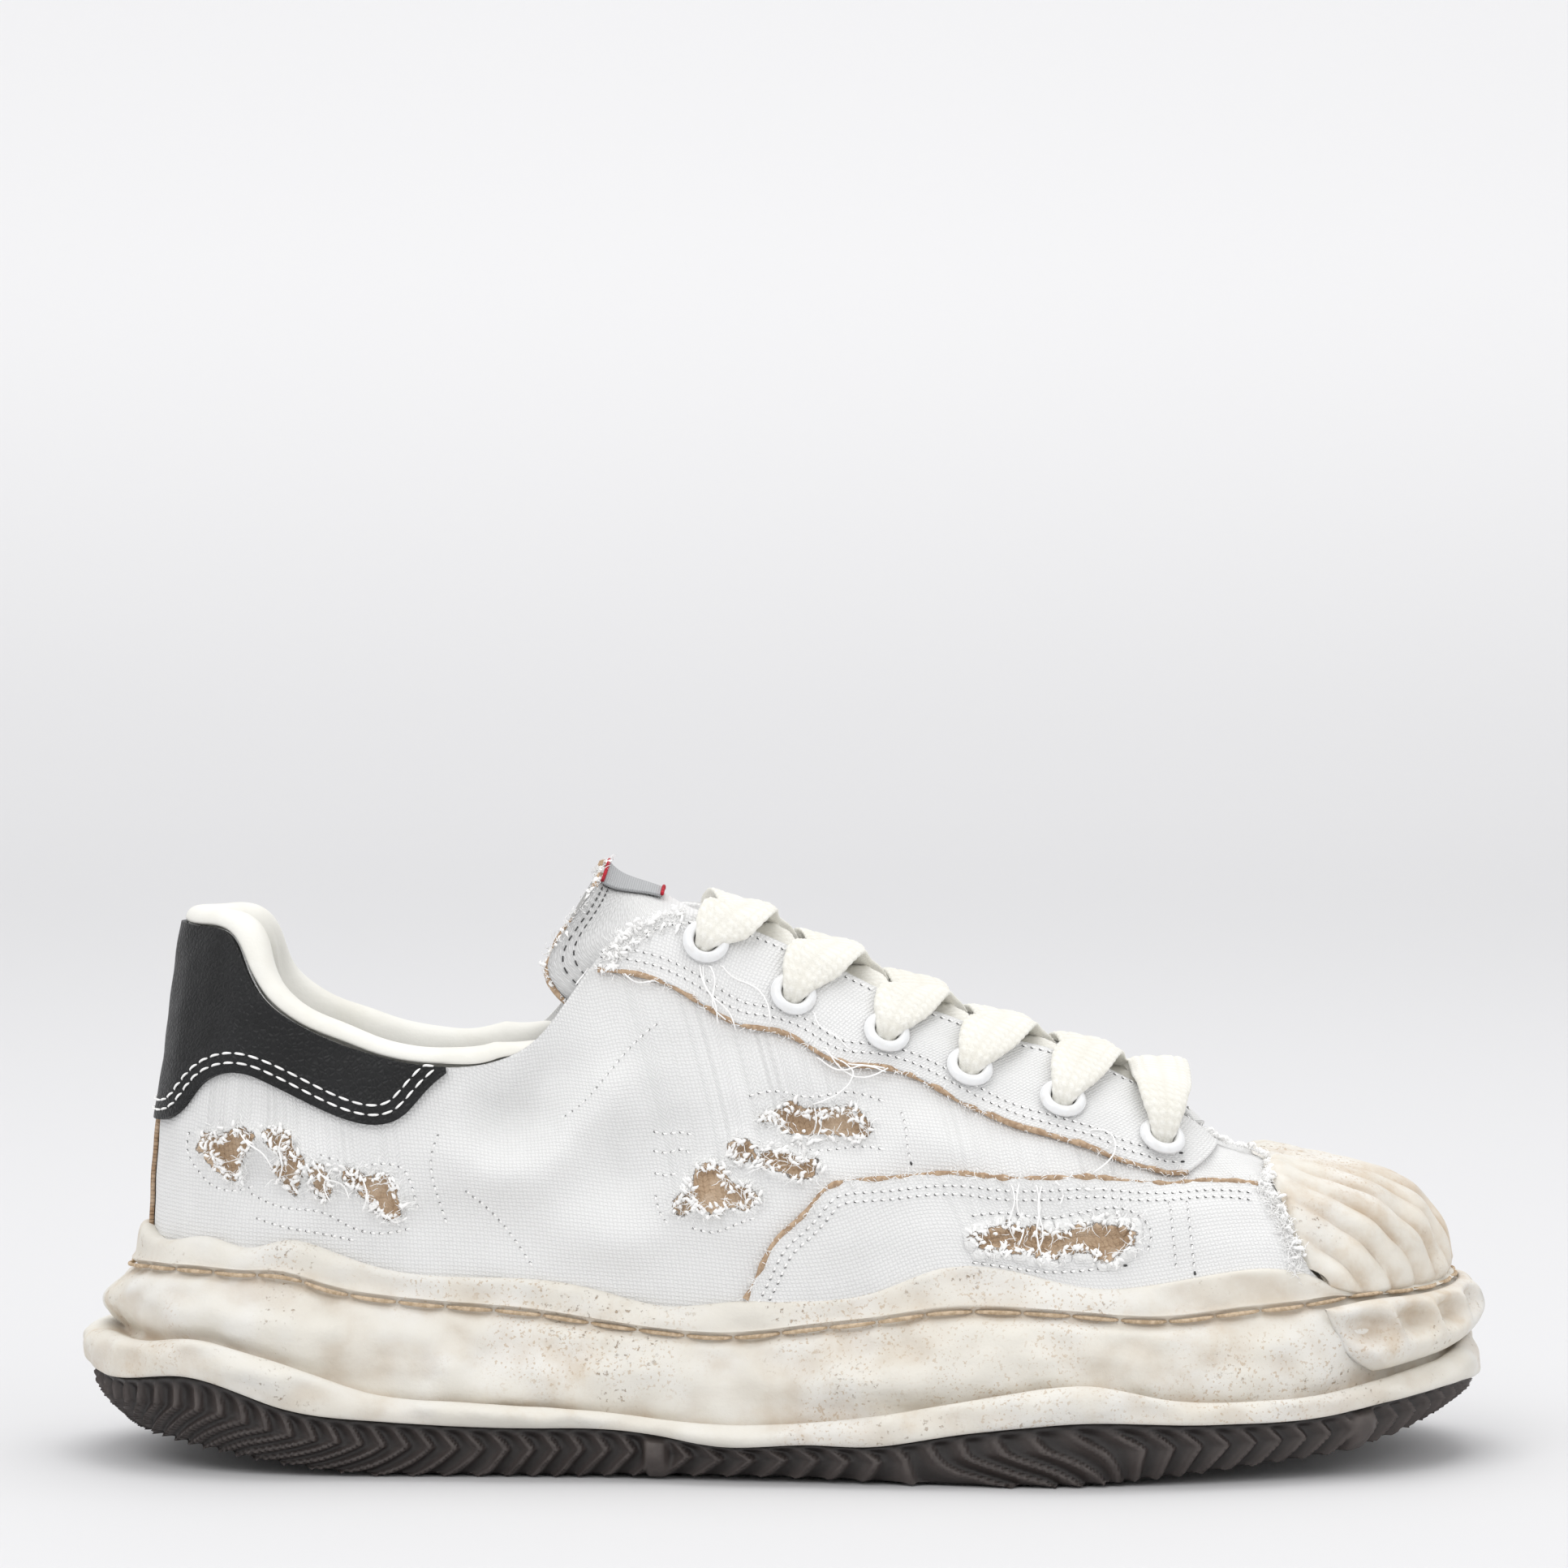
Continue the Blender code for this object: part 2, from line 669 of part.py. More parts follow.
def ring_solid(name, rings, look, collection):
    """A closed solid from rings stacked round the sole, closed across at its first and last ring."""
    count = rings[0].shape[0]
    stacked = np.stack(rings)
    faces = []
    for level in range(len(rings) - 1):
        for j in range(count):
            here = level * count + j
            after = level * count + (j + 1) % count
            faces.append((here, after, after + count, here + count))
    faces += ladder_faces(count, 0)
    faces += ladder_faces(count, (len(rings) - 1) * count)
    mesh = mesh_of(name, stacked, faces)
    return add_object(name, face_outward(mesh), look, collection)


def loop_places(count):
    """Rows round the shoe, the second half mirroring the first, with their place along the foot."""
    rows = np.arange(count) * LOOP_ROWS / count
    return rows, along_of(rows)


def outline_normal(rows):
    """Level outward direction of the feather line."""
    step = 0.05
    ahead = FOOT_LOOP(rows + step) - FOOT_LOOP(rows - step)
    out = np.stack((ahead[..., 1], -ahead[..., 0], np.zeros_like(ahead[..., 0])), -1)
    return out / np.linalg.norm(out, axis=-1, keepdims=True)


def along_of(rows):
    """Share of the foot's length at these rows."""
    return np.clip((FOOT_LOOP(rows)[..., 0] - HEEL_BACK) / UPPER_LENGTH, 0, 1)


def rand_height(along):
    return SOLE_HEIGHT * line_curve(along)[..., 0]


def sole_point(rows, along, reach, height):
    """Point of the sole's side, so far out from the upper where the rand holds it."""
    held = on_wall(rows, rise_at_height(rows, rand_height(along)))
    foot = FOOT_LOOP(rows)
    out = outline_normal(rows)
    stand = np.sum((held - foot) * out, axis=-1) + CUP_GAP + reach
    point = foot + out * stand[..., None]
    point[..., 2] = height
    return point


def midsole_rings(count):
    """Section of the cupsole, from the footbed up the rand and down its outer side to the bottom."""
    rows, along = loop_places(count)
    heights = dict(zip(("rand", "groove", "brim", "lip"), (SOLE_HEIGHT * line_curve(along)).T))
    reaches = dict(zip(("rand", "groove", "belly", "crease", "lip"), (SOLE_REACH * reach_curve(along)).T))
    seam = np.minimum(STITCH_GROOVE, SEAM_SHARE * (heights["rand"] - heights["groove"]))
    heights["seam"] = heights["groove"] + seam
    reaches["wall"] = np.zeros(count)
    reaches["inset"] = reaches["lip"] - LIP_INSET
    bed = footbed_height(along)
    rings = []
    for share in FOOTBED_WALL:
        height = bed + share * (heights["rand"] - bed)
        wall = on_wall(rows, rise_at_height(rows, np.maximum(height, bed + PIECE_GAP)))
        wall = wall + outline_normal(rows) * CUP_GAP
        wall[:, 2] = height
        rings.append(wall)
    for near, far, blend, outward, upper, lower, fall, upward in MIDSOLE_SIDE:
        reach = reaches[near] + (reaches[far] - reaches[near]) * blend + outward * STITCH_GROOVE
        height = heights[upper] + (heights[lower] - heights[upper]) * fall + upward * STITCH_GROOVE
        rings.append(sole_point(rows, along, reach, height))
    return rings


def make_midsole(collection):
    rings = midsole_rings(LOOP_STEPS)
    return ring_solid("midsole", rings, CREAM_RUBBER, collection)


def make_outsole(collection):
    """Tread block under the cupsole. Leaning ribs are cut into its side, and grooves cross its bottom."""
    count = 2 * TREAD_RIBS
    rows, along = loop_places(count)
    base_rows, _ = loop_places(LOOP_STEPS)
    base = midsole_rings(LOOP_STEPS)[-1]
    rows_round = np.append(base_rows, LOOP_ROWS)
    top = np.column_stack([np.interp(rows, rows_round, np.append(line, line[0])) for line in base.T])
    top[:, 2] -= PIECE_GAP
    out = outline_normal(rows)
    lift, draw = (np.interp(along, *np.array(GROUND_ROWS)[:, (0, i)].T) for i in (1, 2))
    tooth = np.where(np.arange(count) % 2 == 0, TREAD_TOOTH, 0)
    for bar in PLAIN_BARS:
        tooth = np.where(np.abs(along - bar) < PLAIN_BAR_HALF, TREAD_TOOTH, tooth)
    toward_heel = -np.sin(math.tau * rows / LOOP_ROWS) * LOOP_ROWS / TREAD_RIBS
    rings = []
    for share, lean in ((0.0, 0.0), (1.0, TREAD_LEAN)):
        moved = rows + lean * toward_heel
        stand = tooth - draw * (SOLE_REACH - LIP_INSET) * share**2
        ring = top + FOOT_LOOP(moved) - FOOT_LOOP(rows) + out * stand[:, None]
        ring[:, 2] = (1 - share) * top[:, 2] + share * lift * GROUND_CURL
        rings.append(ring)
    from_heel = np.minimum(np.arange(count), count - np.arange(count))
    groove = from_heel % GROOVE_EVERY >= GROOVE_EVERY - GROOVE_POINTS
    groove &= (along > GROOVE_SPAN[0]) & (along < GROOVE_SPAN[1])
    under = rings[-1] - out * TREAD_UNDERCUT
    under[:, 2] = rings[-1][:, 2] + np.where(groove, TREAD_GROOVE, 0)
    rings.append(under)
    return ring_solid("outsole", rings, DARK_RUBBER, collection)


def make_insole(collection):
    rows, along = loop_places(LOOP_STEPS)
    inward = outline_normal(rows) * (CANVAS_WALL + 2 * PIECE_GAP)
    rings = []
    for height in (PIECE_GAP, INSOLE_THICKNESS):
        ring = FOOT_LOOP(rows) - inward
        ring[:, 2] = footbed_height(along) + height
        rings.append(ring)
    return ring_solid("insole", rings, LINING, collection)


def make_upper(collection, holes):
    """The canvas shell: open at collar and throat, and open below, where the footbed closes it."""
    rows = np.arange(LOOP_STEPS) * LOOP_ROWS / LOOP_STEPS
    rises = np.linspace(0, 1, WALL_STEPS)
    points = on_wall(rows[:, None], rises[None, :])
    made = sheet("upper", points, CANVAS, collection, CANVAS_WALL, outward=False, closed=True)
    cut(made, holes)
    return made


def cut(made, cutter):
    hole = made.modifiers.new("holes", "BOOLEAN")
    hole.operation = "DIFFERENCE"
    hole.solver = "EXACT"
    hole.object = cutter


def overlay(name, low, high, steps, look, collection, thickness):
    """An overlay between a lower and an upper edge, each a list of rows and rises, lying on the upper."""
    share = np.linspace(0, 1, steps)[None, :, None]
    places = low[:, None, :] * (1 - share) + high[:, None, :] * share
    points = off_wall(places[..., 0], places[..., 1], np.full(places.shape[:2], OVERLAY_GAP))
    if low[0, 0] > low[-1, 0]:
        points = points[::-1]
    return sheet(name, points, look, collection, thickness)


def heel_counter(collection):
    """Black leather round the heel: its lower edge dips at the back and again before its two points."""
    centre = (0.0, float(rise_at_height(0.0, COUNTER_HEEL_HEIGHT * COLLAR_HEIGHT)))
    outer = edge_on_side(COUNTER_EDGE, False, COLLAR_HEIGHT)
    inner = edge_on_side(COUNTER_EDGE, True, COLLAR_HEIGHT)
    low = smooth_edge(np.concatenate((inner[::-1], [centre], outer)), COUNTER_STEPS)
    even = np.linspace(low[0, 0], low[-1, 0], COUNTER_STEPS)
    rows = low[:, 0] + (even - low[:, 0]) * COUNTER_TOP_SPREAD
    high = np.column_stack((rows, np.full(COUNTER_STEPS, COUNTER_TOP_RISE)))
    return overlay("heel_counter", low, high, 4, BLACK_LEATHER, collection, LEATHER)


def heel_strip(collection):
    """Raw tape down the back seam, from under the counter to the rand."""
    near = np.linspace(0, 1, LOOP_STEPS)
    reach = np.interp(HEEL_STRIP_WIDTH / 2, -on_wall(near, 0.3)[:, 1], near)
    rows = np.linspace(-reach, reach, 5)
    low = rise_at_height(rows, rand_height(np.zeros(len(rows))) + 2 * PIECE_GAP)
    high = rise_at_height(rows, np.full(len(rows), HEEL_STRIP_TOP * COLLAR_HEIGHT))
    edges = [np.column_stack((rows, rises)) for rises in (low, high)]
    return overlay("heel_strip", *edges, 5, RAW_CANVAS, collection, OVERLAY_CLOTH)


def eyestay(side, holes, collection):
    """Facing beside the throat that carries the eyelets."""
    low = smooth_edge(edge_on_side(EYESTAY_EDGE, side == "inner"), EYESTAY_STEPS)
    sign = -1 if side == "inner" else 1
    rows = sign * np.linspace(*EYESTAY_ROWS, EYESTAY_STEPS)
    high = np.column_stack((rows, np.full(EYESTAY_STEPS, EYESTAY_TOP_RISE)))
    made = overlay(f"eyestay_{side}", low, high, 5, CANVAS, collection, OVERLAY_CLOTH)
    cut(made, holes)
    return made


def mudguard(side, collection):
    """Forefoot side panel between its curved upper edge and the rand."""
    inner = side == "inner"
    high = smooth_edge(edge_on_side(MUDGUARD_EDGE, inner), MUDGUARD_STEPS)
    front_x = HEEL_BACK + MUDGUARD_FRONT * UPPER_LENGTH
    front = find_on_side(front_x, rand_height(MUDGUARD_FRONT)[()], inner)[0]
    start = high[0, 0] + (MUDGUARD_HEEL_ROW if inner else -MUDGUARD_HEEL_ROW)
    rows = np.linspace(start, front, MUDGUARD_STEPS)
    low = np.column_stack((rows, rise_at_height(rows, rand_height(along_of(rows)) + 3 * PIECE_GAP)))
    high[:, 1] = np.maximum(high[:, 1], low[:, 1] + MUDGUARD_LEAST_RISE)
    return overlay(f"mudguard_{side}", low, high, 4, CANVAS, collection, OVERLAY_CLOTH)


def cap_edges(count):
    """Base and back edges of the toe cap, from its outer end round the toe to its inner end."""
    outer = edge_on_side(CAP_EDGE)
    inner = edge_on_side(CAP_EDGE, inner=True)
    inner[:, 0] += LOOP_ROWS
    back = smooth_edge(np.concatenate((outer[::-1], [(TOE_ROW, CAP_TOP_RISE)], inner)), count)
    rows = np.linspace(outer[-1, 0] + CAP_BASE_ROW, inner[-1, 0] - CAP_BASE_ROW, count)
    base = np.column_stack((rows, rise_at_height(rows, rand_height(along_of(rows)) + 3 * PIECE_GAP)))
    return base, back


def toe_cap(collection):
    """Rubber shell over the toe, moulded in rounded lobes that fan from its back edge to its base."""
    count = LOBE_STEPS * CAP_LOBES + 1
    base, back = cap_edges(count)
    share = np.linspace(0, 1, CAP_STEPS)[None, :, None]
    share = np.concatenate((share**CAP_SWEEP, share), -1)
    places = base[:, None, :] * (1 - share) + back[:, None, :] * share
    wave = np.abs(np.sin(math.pi * CAP_LOBES * np.linspace(0, 1, count))) ** CAP_LOBE_ROUND
    fade = np.sqrt(np.sin(math.pi * np.linspace(*CAP_LOBE_FADE, CAP_STEPS)))
    under = OVERLAY_GAP + PIECE_GAP
    height = under + CAP_SHELL + CAP_LOBE * wave[:, None] * fade[None, :]
    inside = off_wall(places[..., 0], places[..., 1], np.full(places.shape[:2], under))
    outside = off_wall(places[..., 0], places[..., 1], height)
    return shell_between("toe_cap", inside, outside, BEIGE_RUBBER, collection)


def toe_bumper(collection):
    """Strip of rubber wrapped round the front of the band, with a scalloped face and sloping ends."""
    wave = np.abs(np.sin(math.pi * BUMPER_SCALLOPS * np.linspace(0, 1, BUMPER_STEPS)))
    inside = []
    outside = []
    for fall, proud, scallop in BUMPER_FACE:
        end = BUMPER_START + fall * BUMPER_SLOPE
        first = np.interp(end, np.array(FOOT_ROWS)[:, 0], np.arange(len(FOOT_ROWS)))
        rows = np.linspace(first, LOOP_ROWS - first, BUMPER_STEPS)
        along = along_of(rows)
        _, groove, brim, _ = (SOLE_HEIGHT * line_curve(along)).T
        _, reach_groove, reach_belly, _, _ = (SOLE_REACH * reach_curve(along)).T
        under = np.maximum(reach_groove, reach_belly) + 3 * PIECE_GAP
        face = under + BUMPER_LEAST + BUMPER_THICKNESS * proud - BUMPER_SCALLOP * scallop * wave
        height = groove - fall * (groove - brim)
        inside.append(sole_point(rows, along, under, height))
        outside.append(sole_point(rows, along, face, height))
    inside, outside = (np.stack(layer, 1) for layer in (inside, outside))
    return shell_between("toe_bumper", inside, outside, BEIGE_RUBBER, collection)


def collar_roll(collection):
    """Padded lining that stands above the collar's edge and fills down its inner face."""
    rows = np.linspace(-ROLL_END_ROW, ROLL_END_ROW, ROLL_STEPS)
    top = TOP_LOOP(rows)
    inward = -wall_normal(rows, np.full(len(rows), ROLL_RISE)) * (1, 1, 0)
    inward /= np.linalg.norm(inward, axis=1)[:, None]
    ahead = TOP_LOOP(rows + 0.05) - TOP_LOOP(rows - 0.05)
    upward = np.cross(ahead, inward)
    upward /= np.linalg.norm(upward, axis=1)[:, None]
    points = np.stack([top + inward * deep + upward * high for deep, high in ROLL_SECTION], 1)
    mesh = face_outward(mesh_of("collar_lining", points, tube_faces(*points.shape[:2])))
    return add_object("collar_lining", mesh, LINING, collection)


tongue_curve = open_spline(-np.array(TONGUE_ROWS)[:, 0], np.array(TONGUE_ROWS)[:, 1:])


def tongue_point(row, across, below):
    """Point of the tongue: an arch between the throat edges, tucked under the upper at both sides."""
    row, across = np.broadcast_arrays(np.asarray(row, float), np.asarray(across, float))
    lift, shift, sway = np.moveaxis(INSTEP_HEIGHT * tongue_curve(-row), -1, 0)
    side = np.where(across < 0, 1, -1)
    reach = np.abs(across)
    inside = CANVAS_WALL + 3 * PIECE_GAP + below
    over = np.clip(reach / TONGUE_SHOULDER, 0, 1)
    tuck = np.clip((reach - TONGUE_SHOULDER) / (1 - TONGUE_SHOULDER), 0, 1)
    edge = off_wall(side * row, TONGUE_EDGE_RISE - TONGUE_TUCK * tuck, -inside)
    middle = (TOP_LOOP(row) + TOP_LOOP(-row)) / 2
    middle[..., 1] = 0
    middle[..., 0] += shift
    middle[..., 2] += lift - below
    bend = over**TONGUE_CROWN
    point = middle + (edge - middle) * np.stack((bend, over, bend), -1)
    point[..., 0] -= sway * np.sin(math.pi * bend**2)
    return point


def both_sides(shares):
    """The same shares mirrored, from the outer side across the middle to the inner side."""
    shares = np.asarray(shares)
    return np.concatenate((-shares[:0:-1], shares))


def make_tongue(collection):
    rows = np.linspace(TONGUE_ROWS[0][0], TONGUE_ROWS[-1][0], TONGUE_STEPS)[:, None]
    across = both_sides(tuple(TONGUE_SHOULDER * np.array(TONGUE_SPREAD)) + (1.0,))[None, :]
    above = tongue_point(rows, across, 0.0)
    below = tongue_point(rows, across, TONGUE_THICKNESS)
    return shell_between("tongue", below, above, CANVAS, collection)


def tongue_label(collection):
    """Woven tape folded over the end of the tongue."""
    rows = np.linspace(*LABEL_ROWS, LABEL_STEPS)[:, None]
    across = both_sides(TONGUE_SHOULDER * np.array(LABEL_SPREAD))[None, :]
    inside = tongue_point(rows, across, -4 * PIECE_GAP)
    outside = tongue_point(rows, across, -4 * PIECE_GAP - LABEL_THICKNESS)
    return shell_between("tongue_label", inside, outside, LABEL_CLOTH, collection)


def eyelet_frames():
    """Place and axis of each eyelet, by side, from the top of the throat to the toe."""
    frames = {}
    for side in ("outer", "inner"):
        places = edge_on_side(EYELETS, side == "inner")
        for number, (row, rise) in enumerate(places, 1):
            axis = Vector(wall_normal(row, rise))
            turn = axis.to_track_quat("Z", "X").to_matrix().to_4x4()
            frames[side, number] = Matrix.Translation(Vector(on_wall(row, rise))) @ turn
    return frames


def eyelet_mesh():
    """A turned ring: flange on the facing, barrel through it."""
    stand = OVERLAY_GAP + OVERLAY_CLOTH + EYELET_SEAT
    profile = (
        (EYELET_BORE, stand + EYELET_LIP),
        (EYELET_FLANGE, stand),
        (EYELET_BARREL, stand),
        (EYELET_BARREL, -CANVAS_WALL),
        (EYELET_BORE, -CANVAS_WALL),
    )
    angles = np.arange(EYELET_SIDES) * math.tau / EYELET_SIDES
    points = [[(r * math.cos(a), r * math.sin(a), z) for r, z in profile] for a in angles]
    around = len(profile)
    faces = []
    for i in range(EYELET_SIDES):
        for j in range(around):
            here = i * around
            after = (i + 1) % EYELET_SIDES * around
            nearby = (j + 1) % around
            faces.append((here + j, here + nearby, after + nearby, after + j))
    return face_outward(mesh_of("eyelet", np.array(points), faces))


def make_eyelets(frames, collection):
    mesh = eyelet_mesh()
    for (side, number), frame in frames.items():
        made = add_object(f"eyelet_{side}_{number}", mesh, ENAMEL, collection)
        made.matrix_world = frame


def lace_holes(frames, helpers):
    """Cutter with one short pin through each eyelet's place."""
    work = bmesh.new()
    for frame in frames.values():
        bmesh.ops.create_cone(
            work,
            cap_ends=True,
            segments=EYELET_SIDES,
            radius1=EYELET_HOLE,
            radius2=EYELET_HOLE,
            depth=EYELET_DRILL,
            matrix=frame,
        )
    mesh = bpy.data.meshes.new("lace_holes")
    work.to_mesh(mesh)
    work.free()
    made = bpy.data.objects.new("lace_holes", mesh)
    made.hide_render = True
    made.display_type = "WIRE"
    helpers.objects.link(made)
    return made


def ribbon_mesh(name, path, flats):
    """A flat lace along a path; flats are the directions that its face looks."""
    path = np.asarray(path)
    flats = np.asarray(flats)
    ahead = np.gradient(path, axis=0)
    ahead /= np.linalg.norm(ahead, axis=1)[:, None]
    across = np.cross(ahead, flats)
    across /= np.linalg.norm(across, axis=1)[:, None]
    over = np.cross(across, ahead)
    corners = []
    for wide, thick in ((-1, 0), (1, 0), (1, 1), (-1, 1)):
        corners.append(path + across * wide * LACE_WIDTH / 2 + over * thick * LACE_THICKNESS)
    points = np.stack(corners, 1)
    return face_outward(mesh_of(name, points, tube_faces(*points.shape[:2])))


def lace_path(start, end, crown, count=LACE_STEPS):
    """Arched path from one eyelet's rim over the throat to a point near the other side."""
    share = np.linspace(0, 1, count)[:, None]
    start, end = np.asarray(start), np.asarray(end)
    path = start * (1 - share) + end * share
    arch = 1 - np.abs(2 * share[:, 0] - 1) ** 3
    path[:, 2] += crown * arch
    return path


def make_laces(frames, collection, helpers):
    """A straight bar at the toe end and five crossings, each a joined solid above the throat."""
    stand = OVERLAY_GAP + OVERLAY_CLOTH + EYELET_SEAT + EYELET_LIP + LACE_LIFT

    def beside(side, number):
        frame = frames[side, number]
        return np.array(frame.translation + frame.to_3x3() @ Vector((0, 0, stand)))

    def faces_up(path):
        flats = np.tile(UP, (len(path), 1))
        tilt = np.linspace(-LACE_TILT, LACE_TILT, len(path))
        flats[:, 1] = np.where(path[0, 1] < path[-1, 1], tilt, -tilt)
        return flats

    bar = lace_path(beside("outer", 6), beside("inner", 6), LACE_BAR_CROWN, LACE_STEPS + 2)
    add_object("lace_bar", ribbon_mesh("lace_bar", bar, faces_up(bar)), LACE_COTTON, collection)
    for number in range(1, 6):
        arms = []
        for side, other in (("outer", "inner"), ("inner", "outer")):
            start = beside(side, number)
            far = beside(other, number + 1)
            end = start + (far - start) * LACE_ARM_SHARE
            path = lace_path(start, end, LACE_CROWN)
            path[:, 2] += np.linspace(0, LACE_ARM_RISE, len(path))
            arms.append(ribbon_mesh(f"lace_{side}_{number}", path, faces_up(path)))
        made = add_object(f"lace_cross_{number}", arms[0], LACE_COTTON, collection)
        other_arm = bpy.data.objects.new(f"lace_arm_{number}", arms[1])
        other_arm.hide_render = True
        other_arm.display_type = "WIRE"
        helpers.objects.link(other_arm)
        join = made.modifiers.new("crossing", "BOOLEAN")
        join.operation = "UNION"
        join.solver = "EXACT"
        join.object = other_arm


def main():
    for old in list(bpy.data.objects):
        bpy.data.objects.remove(old)
    shoe = bpy.data.collections.new("sneaker")
    helpers = bpy.data.collections.new("cutters")
    bpy.context.scene.collection.children.link(shoe)
    bpy.context.scene.collection.children.link(helpers)
    frames = eyelet_frames()
    holes = lace_holes(frames, helpers)
    make_outsole(shoe)
    make_midsole(shoe)
    make_insole(shoe)
    make_upper(shoe, holes)
    collar_roll(shoe)
    heel_counter(shoe)
    heel_strip(shoe)
    for side in ("outer", "inner"):
        eyestay(side, holes, shoe)
        mudguard(side, shoe)
    toe_cap(shoe)
    toe_bumper(shoe)
    make_tongue(shoe)
    tongue_label(shoe)
    make_eyelets(frames, shoe)
    make_laces(frames, shoe, helpers)


main()
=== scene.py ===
"""Looks of a worn canvas sneaker, round its fixed frame: every visible surface, its finish and the stage.

Metres, +Z up, toe toward +X, outer side toward -Y. The upper is one function of a row round the shoe
(0 heel, TOE_ROW toe, inner side as negative rows) and a rise up its wall.
"""

import math

import bpy
import numpy as np
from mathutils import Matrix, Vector


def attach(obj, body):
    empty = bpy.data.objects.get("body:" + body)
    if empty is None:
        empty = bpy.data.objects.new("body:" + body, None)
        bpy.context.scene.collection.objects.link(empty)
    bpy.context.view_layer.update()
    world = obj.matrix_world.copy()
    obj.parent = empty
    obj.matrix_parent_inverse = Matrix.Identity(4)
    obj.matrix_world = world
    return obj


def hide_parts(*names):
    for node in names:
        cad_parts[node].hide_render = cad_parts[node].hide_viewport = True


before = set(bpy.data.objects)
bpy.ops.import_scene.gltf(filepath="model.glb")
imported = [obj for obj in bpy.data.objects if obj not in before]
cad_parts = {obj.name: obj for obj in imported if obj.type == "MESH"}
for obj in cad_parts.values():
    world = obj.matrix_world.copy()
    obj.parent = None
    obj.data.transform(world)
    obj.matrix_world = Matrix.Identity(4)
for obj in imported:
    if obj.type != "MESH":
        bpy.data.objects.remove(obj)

bl_info = {
    "name": "Worn canvas sneaker",
    "version": (1, 0, 0),
    "blender": (4, 5, 0),
    "location": "3D View > Sidebar > Sneaker",
    "description": "Builds a worn canvas sneaker with a thick wavy rubber sole",
    "category": "Add Mesh",
}

# Driving sizes of the last and sole, in metres
UPPER_LENGTH = 0.2851
BALL_WIDTH = 0.0975
COLLAR_HEIGHT = 0.1164
INSTEP_HEIGHT = 0.1198
HEEL_BACK = -0.1386
SOLE_HEIGHT = 0.0500
SOLE_REACH = 0.0160
FOOTBED_HEIGHT = 0.0300
GROUND_CURL = 0.0130
LIP_INSET = 0.0035
PIECE_GAP = 0.0003

TOE_ROW = 15
LOOP_ROWS = 2 * TOE_ROW
UP = np.array((0.0, 0.0, 1.0))

# The photograph's view: focal length and middle in its pixels, camera place and downward pitch
PHOTO_FOCAL = 7276.0
PHOTO_MIDDLE = 966.0
PHOTO_SIZE = 1932
CAMERA_AWAY = 1.3
CAMERA_HEIGHT = 0.2
CAMERA_PITCH = math.radians(2.335)
SENSOR = 36.0

# Feather line, heel to toe. along: share of UPPER_LENGTH; outer and inner: share of BALL_WIDTH.
FOOT_ROWS = (
    # along, outer, inner
    (0.000, 0.000, 0.000),
    (0.016, 0.164, 0.164),
    (0.050, 0.262, 0.260),
    (0.100, 0.311, 0.306),
    (0.160, 0.328, 0.320),
    (0.230, 0.336, 0.318),
    (0.310, 0.355, 0.314),
    (0.390, 0.388, 0.318),
    (0.480, 0.435, 0.340),
    (0.575, 0.480, 0.395),
    (0.675, 0.502, 0.460),
    (0.775, 0.492, 0.494),
    (0.860, 0.439, 0.474),
    (0.930, 0.333, 0.405),
    (0.980, 0.166, 0.262),
    (1.000, -0.046, 0.046),
)

# Top line: collar, then throat edge. collar and instep: shares of COLLAR_HEIGHT and INSTEP_HEIGHT.
TOP_ROWS = (
    # along, outer, inner, collar, instep
    (0.0309, 0.000, 0.000, 1.000, 0.000),
    (0.0424, 0.130, 0.128, 1.000, 0.000),
    (0.0670, 0.212, 0.208, 0.982, 0.000),
    (0.0880, 0.262, 0.256, 0.886, 0.000),
    (0.1354, 0.297, 0.288, 0.806, 0.000),
    (0.2126, 0.318, 0.302, 0.752, 0.000),
    (0.2897, 0.308, 0.294, 0.784, 0.000),
    (0.3388, 0.267, 0.260, 0.000, 0.902),
    (0.4090, 0.215, 0.212, 0.000, 1.000),
    (0.5142, 0.185, 0.184, 0.000, 0.906),
    (0.6265, 0.166, 0.166, 0.000, 0.789),
    (0.7176, 0.154, 0.154, 0.000, 0.718),
    (0.7770, 0.133, 0.133, 0.000, 0.645),
    (0.8030, 0.092, 0.092, 0.000, 0.594),
    (0.8125, 0.046, 0.046, 0.000, 0.571),
    (0.8160, 0.000, 0.000, 0.000, 0.563),
)

# How each wall section bends. climb and drop: shares of the wall's height for its two handles;
# flare and swell: how far they stand out, shares of BALL_WIDTH; brim: share of the way back to the foot.
WALL_ROWS = (
    # climb, flare, brim, swell, drop
    (0.38, 0.018, 0.62, 0.000, 0.29),
    (0.38, 0.022, 0.60, 0.004, 0.29),
    (0.38, 0.028, 0.55, 0.008, 0.29),
    (0.38, 0.034, 0.50, 0.012, 0.28),
    (0.38, 0.038, 0.45, 0.018, 0.28),
    (0.38, 0.040, 0.45, 0.024, 0.30),
    (0.38, 0.038, 0.45, 0.024, 0.32),
    (0.38, 0.032, 0.45, 0.018, 0.30),
    (0.38, 0.026, 0.48, 0.008, 0.24),
    (0.40, 0.020, 0.52, 0.000, 0.22),
    (0.44, 0.016, 0.55, 0.000, 0.20),
    (0.50, 0.014, 0.58, 0.000, 0.20),
    (0.62, 0.012, 0.60, 0.000, 0.20),
    (0.76, 0.012, 0.64, 0.000, 0.22),
    (0.86, 0.012, 0.67, 0.000, 0.235),
    (0.90, 0.012, 0.67, 0.000, 0.236),
)

# Footbed height under the foot, share of FOOTBED_HEIGHT.
FOOTBED_ROWS = (
    # along, height
    (0.00, 1.00),
    (0.30, 0.90),
    (0.62, 0.74),
    (0.84, 0.76),
    (1.00, 0.90),
)

